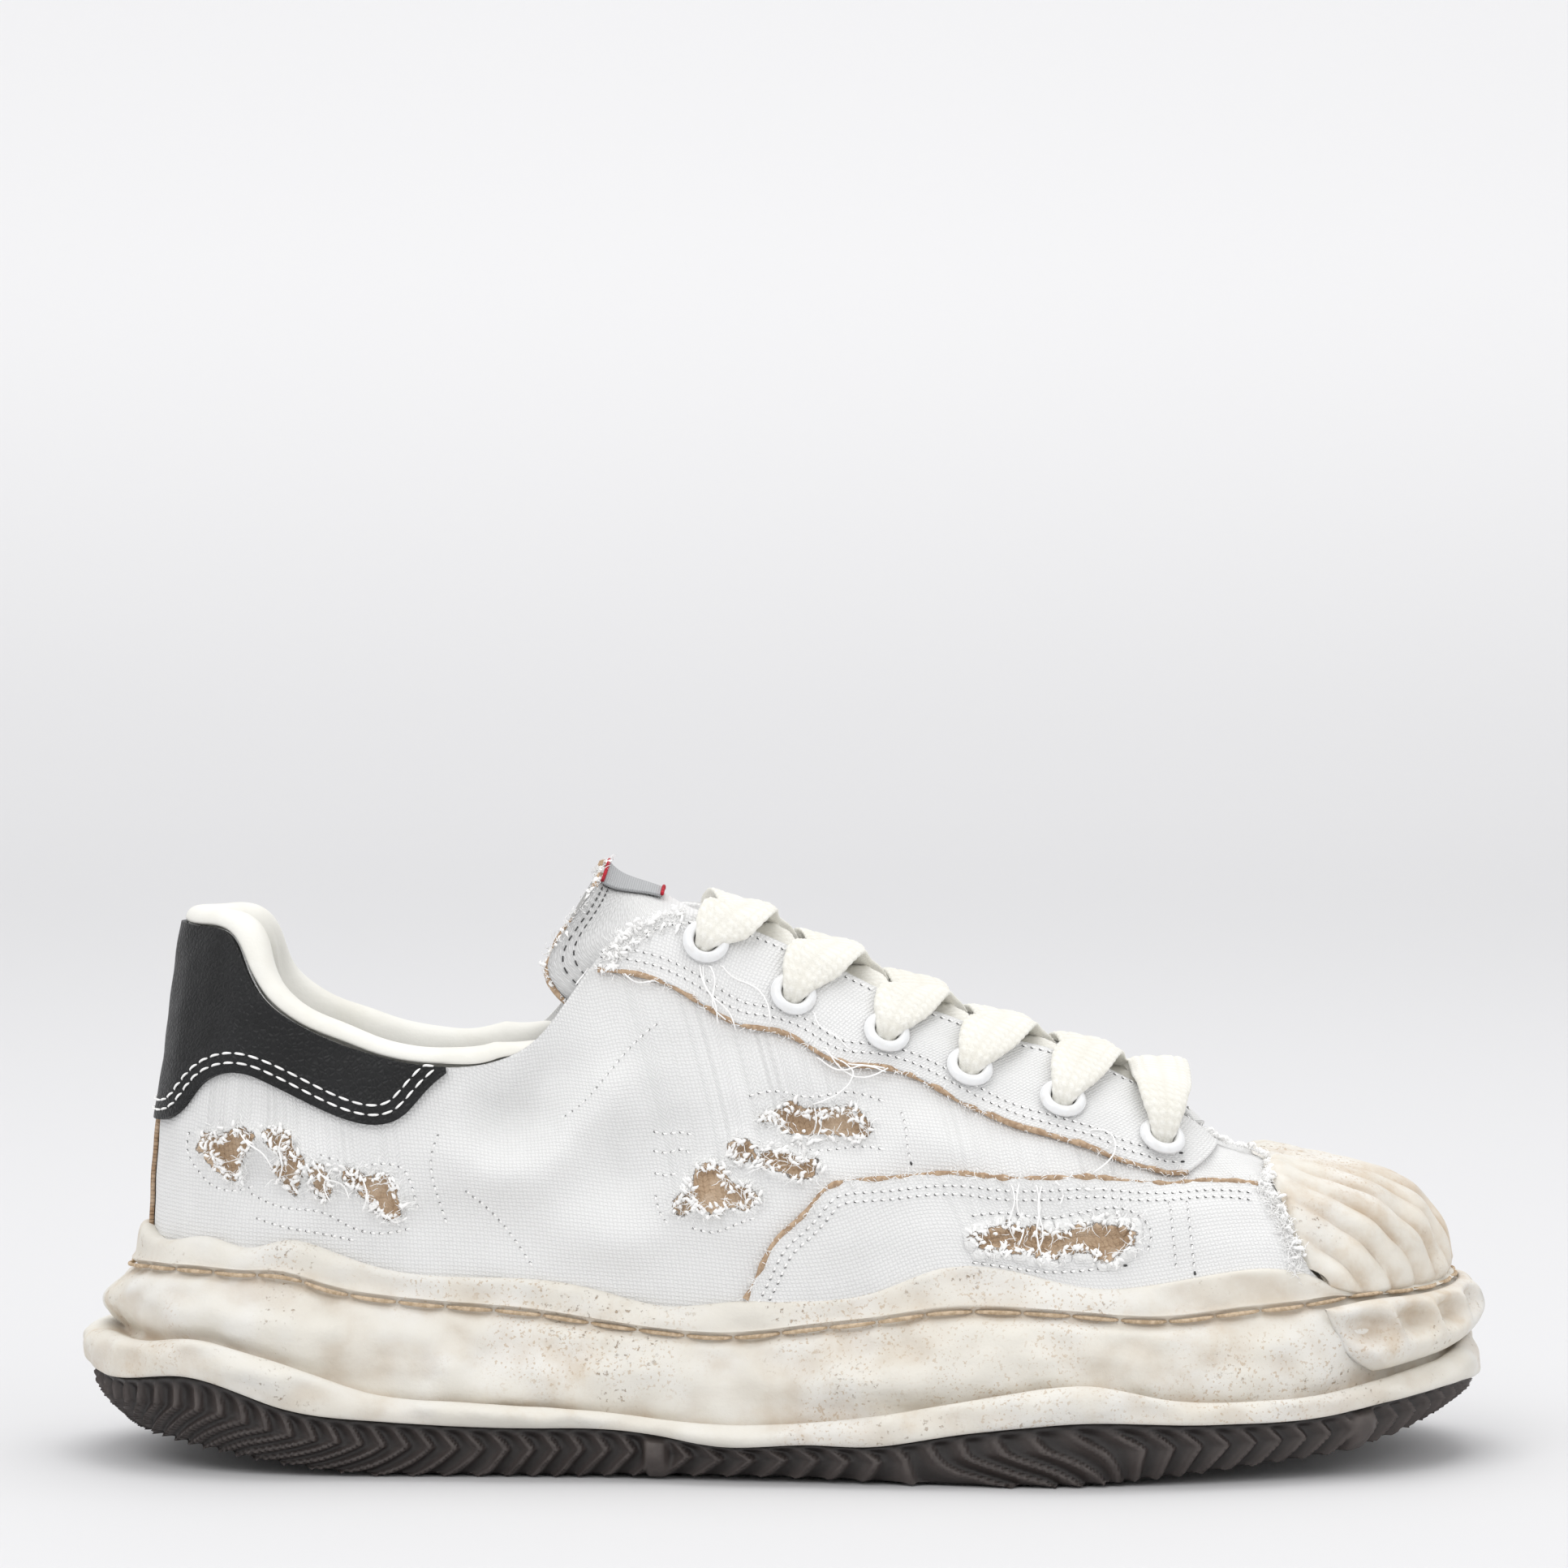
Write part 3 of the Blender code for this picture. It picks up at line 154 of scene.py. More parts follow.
# Wavy lines of the sole's side, shares of SOLE_HEIGHT, by place along the feather line.
SOLE_LINES = (
    # along, rand, groove, brim, lip
    (0.000, 1.010, 0.820, 0.545, 0.412),
    (0.012, 0.975, 0.840, 0.545, 0.388),
    (0.030, 0.978, 0.850, 0.544, 0.400),
    (0.051, 1.002, 0.852, 0.570, 0.426),
    (0.083, 0.962, 0.844, 0.540, 0.380),
    (0.111, 0.998, 0.840, 0.488, 0.312),
    (0.142, 0.960, 0.788, 0.424, 0.272),
    (0.177, 0.890, 0.748, 0.358, 0.254),
    (0.234, 0.846, 0.716, 0.326, 0.234),
    (0.304, 0.836, 0.684, 0.306, 0.226),
    (0.353, 0.786, 0.644, 0.288, 0.226),
    (0.395, 0.732, 0.616, 0.262, 0.204),
    (0.448, 0.754, 0.600, 0.242, 0.160),
    (0.507, 0.764, 0.642, 0.256, 0.176),
    (0.556, 0.808, 0.678, 0.290, 0.174),
    (0.602, 0.908, 0.718, 0.336, 0.214),
    (0.662, 0.894, 0.722, 0.400, 0.258),
    (0.714, 0.830, 0.704, 0.426, 0.282),
    (0.767, 0.844, 0.684, 0.366, 0.272),
    (0.830, 0.894, 0.714, 0.348, 0.266),
    (0.879, 0.870, 0.736, 0.360, 0.276),
    (0.914, 0.786, 0.764, 0.396, 0.308),
    (0.956, 0.780, 0.762, 0.440, 0.340),
    (0.985, 0.784, 0.766, 0.480, 0.350),
    (1.000, 0.792, 0.774, 0.520, 0.336),
)

# How far the same lines stand out from the upper, and the belly of the band, shares of SOLE_REACH.
SOLE_REACHES = (
    # along, rand, groove, belly, crease, lip
    (0.00, 0.22, 0.31, 0.62, 0.36, 1.00),
    (0.06, 0.20, 0.28, 0.58, 0.40, 0.94),
    (0.20, 0.16, 0.23, 0.52, 0.44, 0.82),
    (0.45, 0.15, 0.21, 0.47, 0.44, 0.72),
    (0.70, 0.16, 0.23, 0.53, 0.48, 0.79),
    (0.86, 0.16, 0.21, 0.44, 0.38, 0.70),
    (0.95, 0.12, 0.16, 0.24, 0.20, 0.56),
    (1.00, 0.10, 0.14, 0.18, 0.12, 0.56),
)

# Lift of the tread's edge off the floor, share of GROUND_CURL, and how far it draws in, of SOLE_REACH.
GROUND_ROWS = (
    # along, lift, draw
    (0.000, 0.72, 0.52),
    (0.020, 0.56, 0.44),
    (0.050, 0.42, 0.34),
    (0.090, 0.26, 0.28),
    (0.140, 0.08, 0.25),
    (0.180, 0.00, 0.24),
    (0.320, 0.00, 0.24),
    (0.400, 0.05, 0.24),
    (0.480, 0.07, 0.24),
    (0.530, 0.05, 0.24),
    (0.575, 0.03, 0.12),
    (0.615, 0.00, 0.00),
    (0.665, 0.00, -0.08),
    (0.700, 0.00, 0.00),
    (0.730, 0.03, 0.10),
    (0.770, 0.10, 0.24),
    (0.830, 0.24, 0.24),
    (0.890, 0.36, 0.24),
    (0.940, 0.56, 0.26),
    (0.980, 0.80, 0.32),
    (1.000, 0.94, 0.38),
)

# Cupsole's side from the rand down to the lip's underside, as a blend of two reach lines and two
# height lines; out and up move it by whole stitch grooves.
CUPSOLE_SIDE = (
    # reach, reach, blend, out, height, height, fall, up
    ("wall", "wall", 0.00, -0.30, "rand", "groove", 0.06, 0.00),
    ("wall", "rand", 0.35, 0.00, "rand", "rand", 0.00, 0.10),
    ("wall", "rand", 0.80, 0.00, "rand", "groove", 0.07, 0.00),
    ("wall", "rand", 1.05, 0.00, "rand", "groove", 0.35, 0.00),
    ("rand", "groove", 0.70, 0.00, "rand", "groove", 0.72, 0.00),
    ("wall", "groove", 1.00, 0.05, "seam", "seam", 0.00, 0.00),
    ("wall", "groove", 1.00, -0.75, "groove", "groove", 0.00, 0.10),
    ("wall", "groove", 1.00, 0.30, "groove", "groove", 0.00, -0.80),
    ("groove", "belly", 0.30, 0.50, "groove", "brim", 0.18, 0.00),
    ("groove", "belly", 0.72, 0.20, "groove", "brim", 0.34, 0.00),
    ("groove", "belly", 1.00, 0.00, "groove", "brim", 0.56, 0.00),
    ("belly", "crease", 0.30, 0.00, "groove", "brim", 0.80, 0.00),
    ("belly", "crease", 0.85, 0.00, "groove", "brim", 0.96, 0.00),
    ("crease", "lip", 0.10, 0.00, "groove", "brim", 1.05, 0.00),
    ("crease", "lip", 0.45, 0.00, "brim", "lip", 0.00, 0.30),
    ("crease", "lip", 0.82, 0.00, "brim", "lip", 0.05, 0.10),
    ("crease", "lip", 1.00, 0.10, "brim", "lip", 0.40, 0.00),
    ("crease", "lip", 1.00, -0.20, "brim", "lip", 0.85, 0.00),
    ("crease", "lip", 1.00, -1.10, "lip", "lip", 0.00, 0.00),
    ("inset", "inset", 1.00, 0.00, "lip", "lip", 0.00, 0.10),
)

# Edges of the overlays: along from the heel as a share of UPPER_LENGTH; height of COLLAR_HEIGHT for
# the counter and of INSTEP_HEIGHT for those forward of it.
COUNTER_EDGE = (
    # along, height
    (0.0300, 0.662),
    (0.0430, 0.706),
    (0.0650, 0.734),
    (0.0800, 0.732),
    (0.1000, 0.713),
    (0.1200, 0.689),
    (0.1390, 0.667),
    (0.1580, 0.650),
    (0.1780, 0.643),
    (0.1950, 0.654),
    (0.2090, 0.686),
    (0.2210, 0.718),
    (0.2310, 0.738),
)
COUNTER_HEEL_HEIGHT = 0.637
COUNTER_TOP_RISE = 0.995
COUNTER_RIM_RISE = 0.9995
COUNTER_TOP_SPREAD = 0.5
HEEL_STRIP_TOP = 0.640
HEEL_STRIP_HALF = 0.0042
EYESTAY_EDGE = (
    (0.345, 0.898),
    (0.388, 0.882),
    (0.422, 0.842),
    (0.456, 0.803),
    (0.487, 0.787),
    (0.524, 0.738),
    (0.563, 0.723),
    (0.613, 0.672),
    (0.665, 0.619),
    (0.714, 0.584),
    (0.758, 0.552),
    (0.792, 0.545),
)
EYESTAY_ROWS = (7.35, 12.9)
EYESTAY_TOP_RISE = 0.992
MUDGUARD_EDGE = (
    (0.458, 0.321),
    (0.468, 0.368),
    (0.481, 0.426),
    (0.501, 0.471),
    (0.519, 0.518),
    (0.555, 0.534),
    (0.609, 0.543),
    (0.663, 0.531),
    (0.723, 0.530),
    (0.765, 0.523),
    (0.814, 0.527),
    (0.843, 0.513),
)
MUDGUARD_FRONT = 0.866
CAP_EDGE = (
    (0.852, 0.536),
    (0.862, 0.488),
    (0.872, 0.405),
    (0.880, 0.369),
)
CAP_TOP_RISE = 0.905
CAP_BASE_ROW = 0.15
CAP_SWEEP = 1.7
CAP_LOBES = 13
BUMPER_START = 0.882
BUMPER_SLOPE = 0.026
BUMPER_SCALLOPS = 9
BUMPER_CORNER = 0.07
BUMPER_FALL = 0.86

# Eyelets, top to toe, as places on the side: along of UPPER_LENGTH, height of INSTEP_HEIGHT.
EYELETS = (
    (0.426, 0.944),
    (0.492, 0.851),
    (0.562, 0.778),
    (0.625, 0.714),
    (0.696, 0.659),
    (0.771, 0.594),
)

# Tongue sections: row, lift of the middle over the throat edges and shift toward the toe, of
# INSTEP_HEIGHT, and sway of its end edge toward the heel.
TONGUE_ROWS = (
    # row, lift, shift, sway
    (13.2, -0.078, 0.050, 0.000),
    (12.4, -0.042, 0.010, 0.000),
    (11.5, -0.022, 0.000, 0.000),
    (10.0, -0.016, 0.000, 0.000),
    (9.0, -0.014, 0.000, 0.000),
    (8.2, -0.008, 0.000, 0.000),
    (7.6, 0.052, 0.018, 0.000),
    (7.1, 0.138, 0.036, 0.030),
    (6.7, 0.232, 0.054, 0.060),
)
TONGUE_SHOULDER = 0.62
TONGUE_TUCK = 0.13
TONGUE_CROWN = 2.4
TONGUE_EDGE_RISE = 0.985
LABEL_ROWS = (7.75, 6.85)
LABEL_ACROSS = 0.28
ROLL_END_ROW = 6.35

# Section of the collar roll: inward from the upper's outer face and up from its top edge.
ROLL_SECTION = (
    # inward, up
    (0.0034, -0.0120),
    (0.0029, -0.0040),
    (0.0026, 0.0003),
    (0.0000, 0.0006),
    (-0.0005, 0.0016),
    (0.0004, 0.0030),
    (0.0024, 0.0039),
    (0.0052, 0.0038),
    (0.0078, 0.0022),
    (0.0094, -0.0010),
    (0.0096, -0.0050),
    (0.0086, -0.0110),
    (0.0066, -0.0180),
    (0.0050, -0.0240),
    (0.0040, -0.0240),
)

# Rips in the outer side as the photograph shows them, in its pixels, each outline in turn
RIPS = (
    ((250, 1398), (270, 1402), (300, 1392), (310, 1400), (298, 1420), (292, 1440), (287, 1452), (265, 1438),
     (258, 1425), (248, 1415)),
    ((325, 1398), (340, 1392), (355, 1398), (358, 1420), (370, 1432), (364, 1455), (362, 1468), (350, 1458),
     (338, 1440), (352, 1435), (345, 1420), (330, 1408)),
    ((382, 1442), (392, 1438), (402, 1450), (404, 1470), (394, 1476), (386, 1462)),
    ((425, 1440), (450, 1452), (475, 1448), (485, 1470), (490, 1495), (475, 1500), (460, 1485), (437, 1462),
     (425, 1455)),
    ((938, 1378), (960, 1372), (975, 1360), (990, 1368), (1030, 1368), (1050, 1365), (1062, 1380),
     (1072, 1388), (1068, 1398), (1030, 1398), (968, 1395), (960, 1380)),
    ((932, 1434), (940, 1420), (965, 1420), (985, 1430), (1005, 1432), (1003, 1445), (985, 1452),
     (955, 1440)),
    ((860, 1440), (880, 1435), (893, 1445), (898, 1460), (925, 1465), (933, 1475), (920, 1488), (900, 1485),
     (880, 1495), (862, 1490), (850, 1475)),
    ((835, 1480), (845, 1470), (855, 1475), (850, 1490), (833, 1495)),
    ((900, 1412), (916, 1405), (926, 1416), (918, 1430), (903, 1428)),
    ((1200, 1525), (1245, 1512), (1300, 1520), (1340, 1512), (1395, 1515), (1395, 1535), (1365, 1555),
     (1345, 1545), (1320, 1540), (1297, 1552), (1270, 1545), (1250, 1540), (1210, 1540)),
)

# Rows of machine darning and seams in the canvas, in the photograph's pixels, and what they lie on
CANVAS_SEAMS = (
    ((812, 1260), (775, 1292), (745, 1330), (720, 1358), (690, 1378)),
    ((570, 1465), (600, 1490), (630, 1525), (655, 1560)),
    ((800, 1392), (818, 1396), (836, 1394), (856, 1400)),
    ((800, 1416), (820, 1420), (842, 1416), (852, 1426)),
    ((802, 1444), (818, 1448), (838, 1444)),
    ((806, 1470), (812, 1492), (826, 1512)),
    ((920, 1352), (960, 1344), (1000, 1350), (1050, 1344), (1090, 1356)),
    ((930, 1406), (970, 1410), (1010, 1416), (1060, 1410), (1096, 1418)),
    ((1110, 1368), (1116, 1390), (1118, 1412), (1124, 1436)),
    ((850, 1512), (880, 1518), (910, 1508), (936, 1500)),
    ((232, 1392), (228, 1414), (236, 1436), (252, 1458), (280, 1468), (306, 1462)),
    ((300, 1470), (330, 1484), (362, 1490), (396, 1494), (430, 1512), (470, 1520), (505, 1514)),
    ((392, 1422), (416, 1430), (440, 1436), (468, 1434), (494, 1440), (506, 1464), (512, 1490)),
    ((310, 1500), (350, 1512), (394, 1520), (440, 1530)),
    ((540, 1395), (530, 1430), (536, 1470), (548, 1510)),
)
OVERLAY_SEAMS = (
    ((1440, 1482), (1444, 1512), (1448, 1542), (1452, 1572)),
    ((1462, 1480), (1466, 1510), (1470, 1540), (1474, 1572)),
    ((1195, 1500), (1240, 1496), (1290, 1502), (1340, 1496), (1400, 1500), (1418, 1520), (1412, 1548)),
    ((1196, 1556), (1240, 1562), (1290, 1568), (1340, 1566), (1390, 1560)),
)

# Long loose threads in the photograph's pixels
LOOSE_THREADS = (
    ((862, 1190), (866, 1214), (880, 1238), (884, 1262)),
    ((872, 1192), (880, 1214), (878, 1240), (894, 1258)),
    ((886, 1192), (902, 1208), (924, 1216), (944, 1240), (948, 1262)),
    ((866, 1190), (872, 1226), (898, 1250), (906, 1270)),
    ((1000, 1250), (1006, 1268), (1030, 1282), (1044, 1296)),
    ((1010, 1296), (1034, 1310), (1062, 1316), (1088, 1322)),
    ((1006, 1304), (1040, 1322), (1056, 1318), (1090, 1326)),
    ((1030, 1308), (1050, 1326), (1040, 1344), (1016, 1356), (1002, 1360)),
    ((1014, 1292), (1032, 1316), (1068, 1330), (1092, 1322)),
    ((1340, 1398), (1366, 1400), (1374, 1416), (1362, 1440), (1346, 1452)),
    ((1246, 1462), (1250, 1486), (1244, 1510), (1252, 1530)),
    ((1256, 1462), (1254, 1490), (1262, 1512), (1256, 1536)),
    ((1276, 1462), (1282, 1490), (1278, 1520), (1284, 1548)),
    ((1284, 1464), (1280, 1496), (1286, 1524), (1278, 1544)),
    ((1300, 1462), (1310, 1474), (1306, 1488)),
    ((1330, 1464), (1342, 1472), (1362, 1470)),
    ((1004, 1366), (1006, 1380), (1002, 1396)),
    ((1010, 1366), (1012, 1384), (1008, 1398)),
    ((352, 1398), (346, 1416), (350, 1434), (344, 1452)),
    ((300, 1396), (312, 1410), (326, 1420), (336, 1440)),
    ((392, 1436), (404, 1452), (420, 1458), (430, 1476)),
    ((410, 1440), (400, 1460), (408, 1480)),
    ((446, 1452), (452, 1470), (446, 1492)),
    ((476, 1496), (486, 1506), (500, 1500)),
    ((700, 1100), (690, 1120), (694, 1146)),
    ((770, 1202), (786, 1214), (804, 1212)),
)

# Ribs of the tread's side: how far each bulges toward the toe at mid height and how far its foot lies
# ahead of its head, in ribs.
RIB_ROWS = (
    # along, bulge, drift
    (0.00, 0.50, -0.40),
    (0.03, 0.90, -2.50),
    (0.09, 1.70, -3.20),
    (0.15, 1.60, -2.20),
    (0.21, 1.20, -0.90),
    (0.27, 0.90, -0.20),
    (0.34, 0.85, -0.50),
    (0.42, 0.70, -0.30),
    (0.50, 0.70, 0.00),
    (0.56, 0.55, 0.10),
    (0.59, 0.10, 0.70),
    (0.63, -0.60, 2.10),
    (0.68, -0.60, 2.80),
    (0.72, 0.10, 2.30),
    (0.75, 0.90, 0.90),
    (0.80, 0.90, 0.00),
    (0.88, 0.70, -0.20),
    (0.95, 0.60, 0.00),
    (1.00, 0.50, 0.00),
)

# Creases of the canvas in the side view: ends along and up in shares of UPPER_LENGTH and COLLAR_HEIGHT,
# half width and height in metres. A trough is negative, and each fades at its ends.
CREASES = (
    # along, up, along, up, half width, height
    (0.330, 0.800, 0.250, 0.560, 0.0060, -0.0014),
    (0.375, 0.760, 0.300, 0.540, 0.0055, 0.0011),
    (0.420, 0.700, 0.360, 0.500, 0.0070, -0.0010),
    (0.210, 0.600, 0.330, 0.520, 0.0060, 0.0011),
    (0.240, 0.680, 0.330, 0.640, 0.0050, -0.0009),
    (0.060, 0.640, 0.160, 0.560, 0.0060, 0.0010),
    (0.050, 0.560, 0.130, 0.500, 0.0050, -0.0009),
    (0.180, 0.470, 0.300, 0.440, 0.0070, -0.0008),
    (0.300, 0.460, 0.400, 0.420, 0.0060, 0.0008),
    (0.420, 0.560, 0.470, 0.420, 0.0060, 0.0008),
    (0.470, 0.680, 0.560, 0.600, 0.0060, -0.0009),
    (0.560, 0.640, 0.640, 0.590, 0.0050, 0.0006),
    (0.620, 0.520, 0.700, 0.460, 0.0060, -0.0006),
    (0.700, 0.500, 0.800, 0.470, 0.0060, 0.0006),
    (0.760, 0.560, 0.830, 0.580, 0.0060, -0.0007),
)
INNER_CREASE_SHIFT = 0.035
CREASE_DEPTH = 2.4

# Samples and sizes of the sole, the tread and the upper
CUPSOLE_ROWS = 560
SECTION_STEPS = 4
STITCH_GROOVE = 0.0016
TREAD_POINTS = 10
TREAD_LEVELS = 22
RIB_PEAK = 0.42
PLAIN_BARS = (0.395, 0.910)
PLAIN_BAR_HALF = 0.009
CROSS_GROOVE = 0.0018
GROOVE_EVERY = 4.0
UPPER_OUTER_STEPS = 420
UPPER_INNER_STEPS = 150
UPPER_RISES = 107
UPPER_INSIDE_RISES = 14
COUNTER_SAMPLES = 260
OVERLAY_SAMPLES = 230
COLLAR_SAMPLES = 280
TONGUE_SAMPLES = 105
TONGUE_ACROSS_SAMPLES = 85
BUMPER_SAMPLES = 260
LOBE_SAMPLES = 14
CAP_STEPS = 44

# Section of the insole: inward from the upper and up from the footbed
INSOLE_ROWS = 240
INSOLE_SECTION = ((0.0, 0.0003), (0.0, 0.0030), (0.0008, 0.0038), (0.0030, 0.0042))

# Depth in millimetres that stands for whole cloth
NO_RIP = -10.0

# Stitches and seams: places in from an edge, pitches, thread radii and the overlays' height
COUNTER_STITCH_IN = (0.0021, 0.0042)
COUNTER_STITCH_PITCH = 0.0031
SOLE_STITCH_PITCH = 0.0104
SOLE_THREAD = 0.00046
SEAM_PITCH = 0.0019
CANVAS_PITCH = 0.88
OVERLAY_HEIGHT = 0.0013
STITCH_START = 0.3
COUNTER_STITCH = 0.0023
COUNTER_THREAD = 0.00027
HOLE_RADIUS = 0.00027
HOLE_LENGTH = 0.0008
CANVAS_STITCH = 0.0011
CANVAS_THREAD = 0.00024
FACING_SEAMS_IN = (0.0028, 0.0050)
GUARD_SEAMS_IN = (0.0028, 0.0046)
COUNTER_STITCH_SAMPLES = 400
SOLE_PATH_SAMPLES = 1600
SEAM_SAMPLES = 300
EDGE_SAMPLES = 500
TONGUE_EDGE_SAMPLES = 400
THREAD_STEPS = 14

# Loose cotton along an edge: hairs for each metre, their length, lift off the cloth and spread
FRAY_FLUFF = (8000, 0.0014, 0.0010, 0.0007)
FRAY_TUFTS = (1500, 0.0014, 0.0012, 0.0006)
RIP_FLUFF = (3200, 0.0012, 0.0, 0.0005)
RIP_TUFTS = (1500, 0.0013, 0.0004, 0.0006)
RIP_STRANDS = (1200, 0.0026, 0.0, 0.0010)
FLUFF_RADIUS = 0.00010
TUFT_RADIUS = 0.00036
LOOSE_THREAD = 0.00017

# Rips right of this pixel lie in the side overlay
OVERLAY_PIXEL = 1150

# Frayed lines away from the rips, in the photograph's pixels
FRAYED_LINES = (
    ((738, 1196), (752, 1172), (772, 1152), (800, 1137), (842, 1126)),
    ((748, 1200), (762, 1178), (782, 1160), (808, 1147), (838, 1140)),
    ((1500, 1372), (1530, 1400), (1545, 1430), (1560, 1465), (1575, 1490), (1590, 1520), (1603, 1552)),
)

# Turned section of an eyelet
EYELET_SECTION = (
    # radius, up
    (0.0030, -0.0030),
    (0.0027, -0.0026),
    (0.0026, 0.0000),
    (0.0027, 0.0012),
    (0.0031, 0.0020),
    (0.0038, 0.0023),
    (0.0046, 0.0019),
    (0.0051, 0.0012),
    (0.0052, 0.0008),
    (0.0044, 0.0006),
    (0.0033, 0.0004),
    (0.0032, -0.0026),
)

# A knitted loop's length, the step along a lace, and how far the lace starts under and stands over an eyelet
KNIT_PITCH = 0.0019
LACE_STEP = 0.0006
EYE_UNDER = 0.0040
EYE_OVER = 0.0012

# Backdrop's section: away from the camera and up
BACKDROP = ((-6, 0), (0.7, 0), (2.0, 0.16), (3.1, 0.9), (3.7, 2.3), (4.0, 5))
# Area lights, in metres and watts
LIGHTS = (
    # name, place, aim, size, power
    ("key", (-0.8, -1.3, 1.5), (0, 0, 0.05), 1.2, 9),
    ("fill", (1.3, -1.1, 0.9), (0, 0, 0.05), 1.4, 4),
    ("top", (0.1, 0.3, 1.9), (0, 0, 0.05), 1.4, 13),
    ("far", (0.0, 2.6, 2.0), (0, 2.6, 0.0), 3.0, 9),
)


def length_property(name, description, metres):
    return bpy.props.FloatProperty(
        name=name, description=description, default=metres, unit="LENGTH", subtype="DISTANCE"
    )


class SneakerSizes(bpy.types.PropertyGroup):
    canvas_wall: length_property("Canvas wall", "Thickness of the canvas shell with its lining", 0.0018)
    overlay_cloth: length_property("Overlay cloth", "Thickness of the facings and side panels", 0.0010)
    leather: length_property("Leather", "Thickness of the heel counter", 0.0013)
    cap_shell: length_property("Toe cap shell", "Thickness of the toe cap in its valleys", 0.0013)
    cap_lobe: length_property("Toe cap lobe", "How far the toe cap's lobes stand out", 0.0018)
    lace_width: length_property("Lace width", "Width of the flat laces", 0.0125)
    lace_thickness: length_property("Lace thickness", "Thickness of the flat laces", 0.0024)
    tread_ribs: bpy.props.IntProperty(
        name="Tread ribs", description="Number of ribs round the tread", default=120
    )
    tread_tooth: length_property("Tread tooth", "How far the tread's ribs stand out of their valleys", 0.0026)


def colour_property(name, description, colour):
    return bpy.props.FloatVectorProperty(
        name=name, description=description, default=colour, subtype="COLOR", size=3, min=0.0, max=1.0
    )


class SneakerColours(bpy.types.PropertyGroup):
    canvas: colour_property("Canvas", "White cotton canvas", (0.845, 0.845, 0.84))
    raw: colour_property("Raw canvas", "Tan cloth under the canvas", (0.40, 0.265, 0.165))
    lining: colour_property("Lining", "Smooth collar lining", (0.84, 0.83, 0.78))
    leather: colour_property("Leather", "Black heel leather", (0.007, 0.0073, 0.0078))
    rubber: colour_property("Rubber", "Off-white sole rubber", (0.76, 0.73, 0.66))
    stain: colour_property("Stain", "Beige stain on the rubber", (0.56, 0.42, 0.27))
    tread: colour_property("Tread", "Dark brown tread rubber", (0.052, 0.042, 0.039))
    enamel: colour_property("Enamel", "White eyelets", (0.86, 0.87, 0.88))
    lace: colour_property("Laces", "Cream cotton laces", (0.93, 0.92, 0.87))
    thread: colour_property("Thread", "Tan sole stitching", (0.66, 0.52, 0.37))
    label: colour_property("Label", "Woven tongue label", (0.50, 0.51, 0.52))


def sizes():
    return bpy.context.scene.sneaker_sizes


def colours():
    return bpy.context.scene.sneaker_colours


# Curves and the shoe's own surface


def unit(vectors):
    return vectors / np.linalg.norm(vectors, axis=-1, keepdims=True)


def lengths_along(points):
    """Length from the first of these points to each of them."""
    return np.concatenate(([0], np.cumsum(np.linalg.norm(np.diff(points, axis=0), axis=1))))


def closed_spline(values):
    """Smooth loop through rows 0, 1, 2 and on: a periodic cubic spline of the row."""
    values = np.asarray(values, float)
    count = len(values)
    system = 4 * np.eye(count) + np.roll(np.eye(count), 1, 0) + np.roll(np.eye(count), -1, 0)
    bends = np.linalg.solve(system, 6 * (np.roll(values, -1, 0) - 2 * values + np.roll(values, 1, 0)))

    def at(row):
        row = np.mod(np.asarray(row, float), count)
        first = np.floor(row).astype(int) % count
        after = (first + 1) % count
        part = (row - np.floor(row))[..., None]
        rest = 1 - part
        straight = rest * values[first] + part * values[after]
        return straight + ((rest**3 - rest) * bends[first] + (part**3 - part) * bends[after]) / 6

    return at


def open_spline(places, values):
    """Smooth open curve through values at rising places: a natural cubic spline."""
    places = np.asarray(places, float)
    values = np.asarray(values, float)
    shape = values.shape[1:]
    values = values.reshape(len(places), -1)
    steps = np.diff(places)
    system = np.eye(len(places))
    right = np.zeros_like(values)
    for i in range(1, len(places) - 1):
        system[i, i - 1 : i + 2] = steps[i - 1], 2 * (steps[i - 1] + steps[i]), steps[i]
        slopes = np.diff(values[i - 1 : i + 2], axis=0) / steps[i - 1 : i + 1, None]
        right[i] = 6 * (slopes[1] - slopes[0])
    bends = np.linalg.solve(system, right)

    def at(place):
        place = np.clip(np.asarray(place, float), places[0], places[-1])
        first = np.clip(np.searchsorted(places, place, side="right") - 1, 0, len(steps) - 1)
        step = steps[first][..., None]
        part = ((place - places[first]) / steps[first])[..., None]
        rest = 1 - part
        straight = rest * values[first] + part * values[first + 1]
        bend = (rest**3 - rest) * bends[first] + (part**3 - part) * bends[first + 1]
        found = straight + bend * step**2 / 6
        return found.reshape(found.shape[:-1] + shape)

    return at


def table_curve(rows):
    """Smooth curve through a table whose first column is the place along."""
    rows = np.asarray(rows, float)
    return open_spline(rows[:, 0], rows[:, 1:])


def loop_of(along, outer, inner, height):
    """Closed loop of points: out along the outer side from heel to toe, then back along the inner."""
    x = HEEL_BACK + UPPER_LENGTH * np.asarray(along)
    there = np.column_stack((x, -BALL_WIDTH * np.asarray(outer), height))
    back = np.column_stack((x, BALL_WIDTH * np.asarray(inner), height))
    return np.concatenate((there, back[-2:0:-1]))


footbed_curve = table_curve(FOOTBED_ROWS)
line_curve = table_curve(SOLE_LINES)
reach_curve = table_curve(SOLE_REACHES)


def footbed_height(along):
    return FOOTBED_HEIGHT * footbed_curve(along)[..., 0]


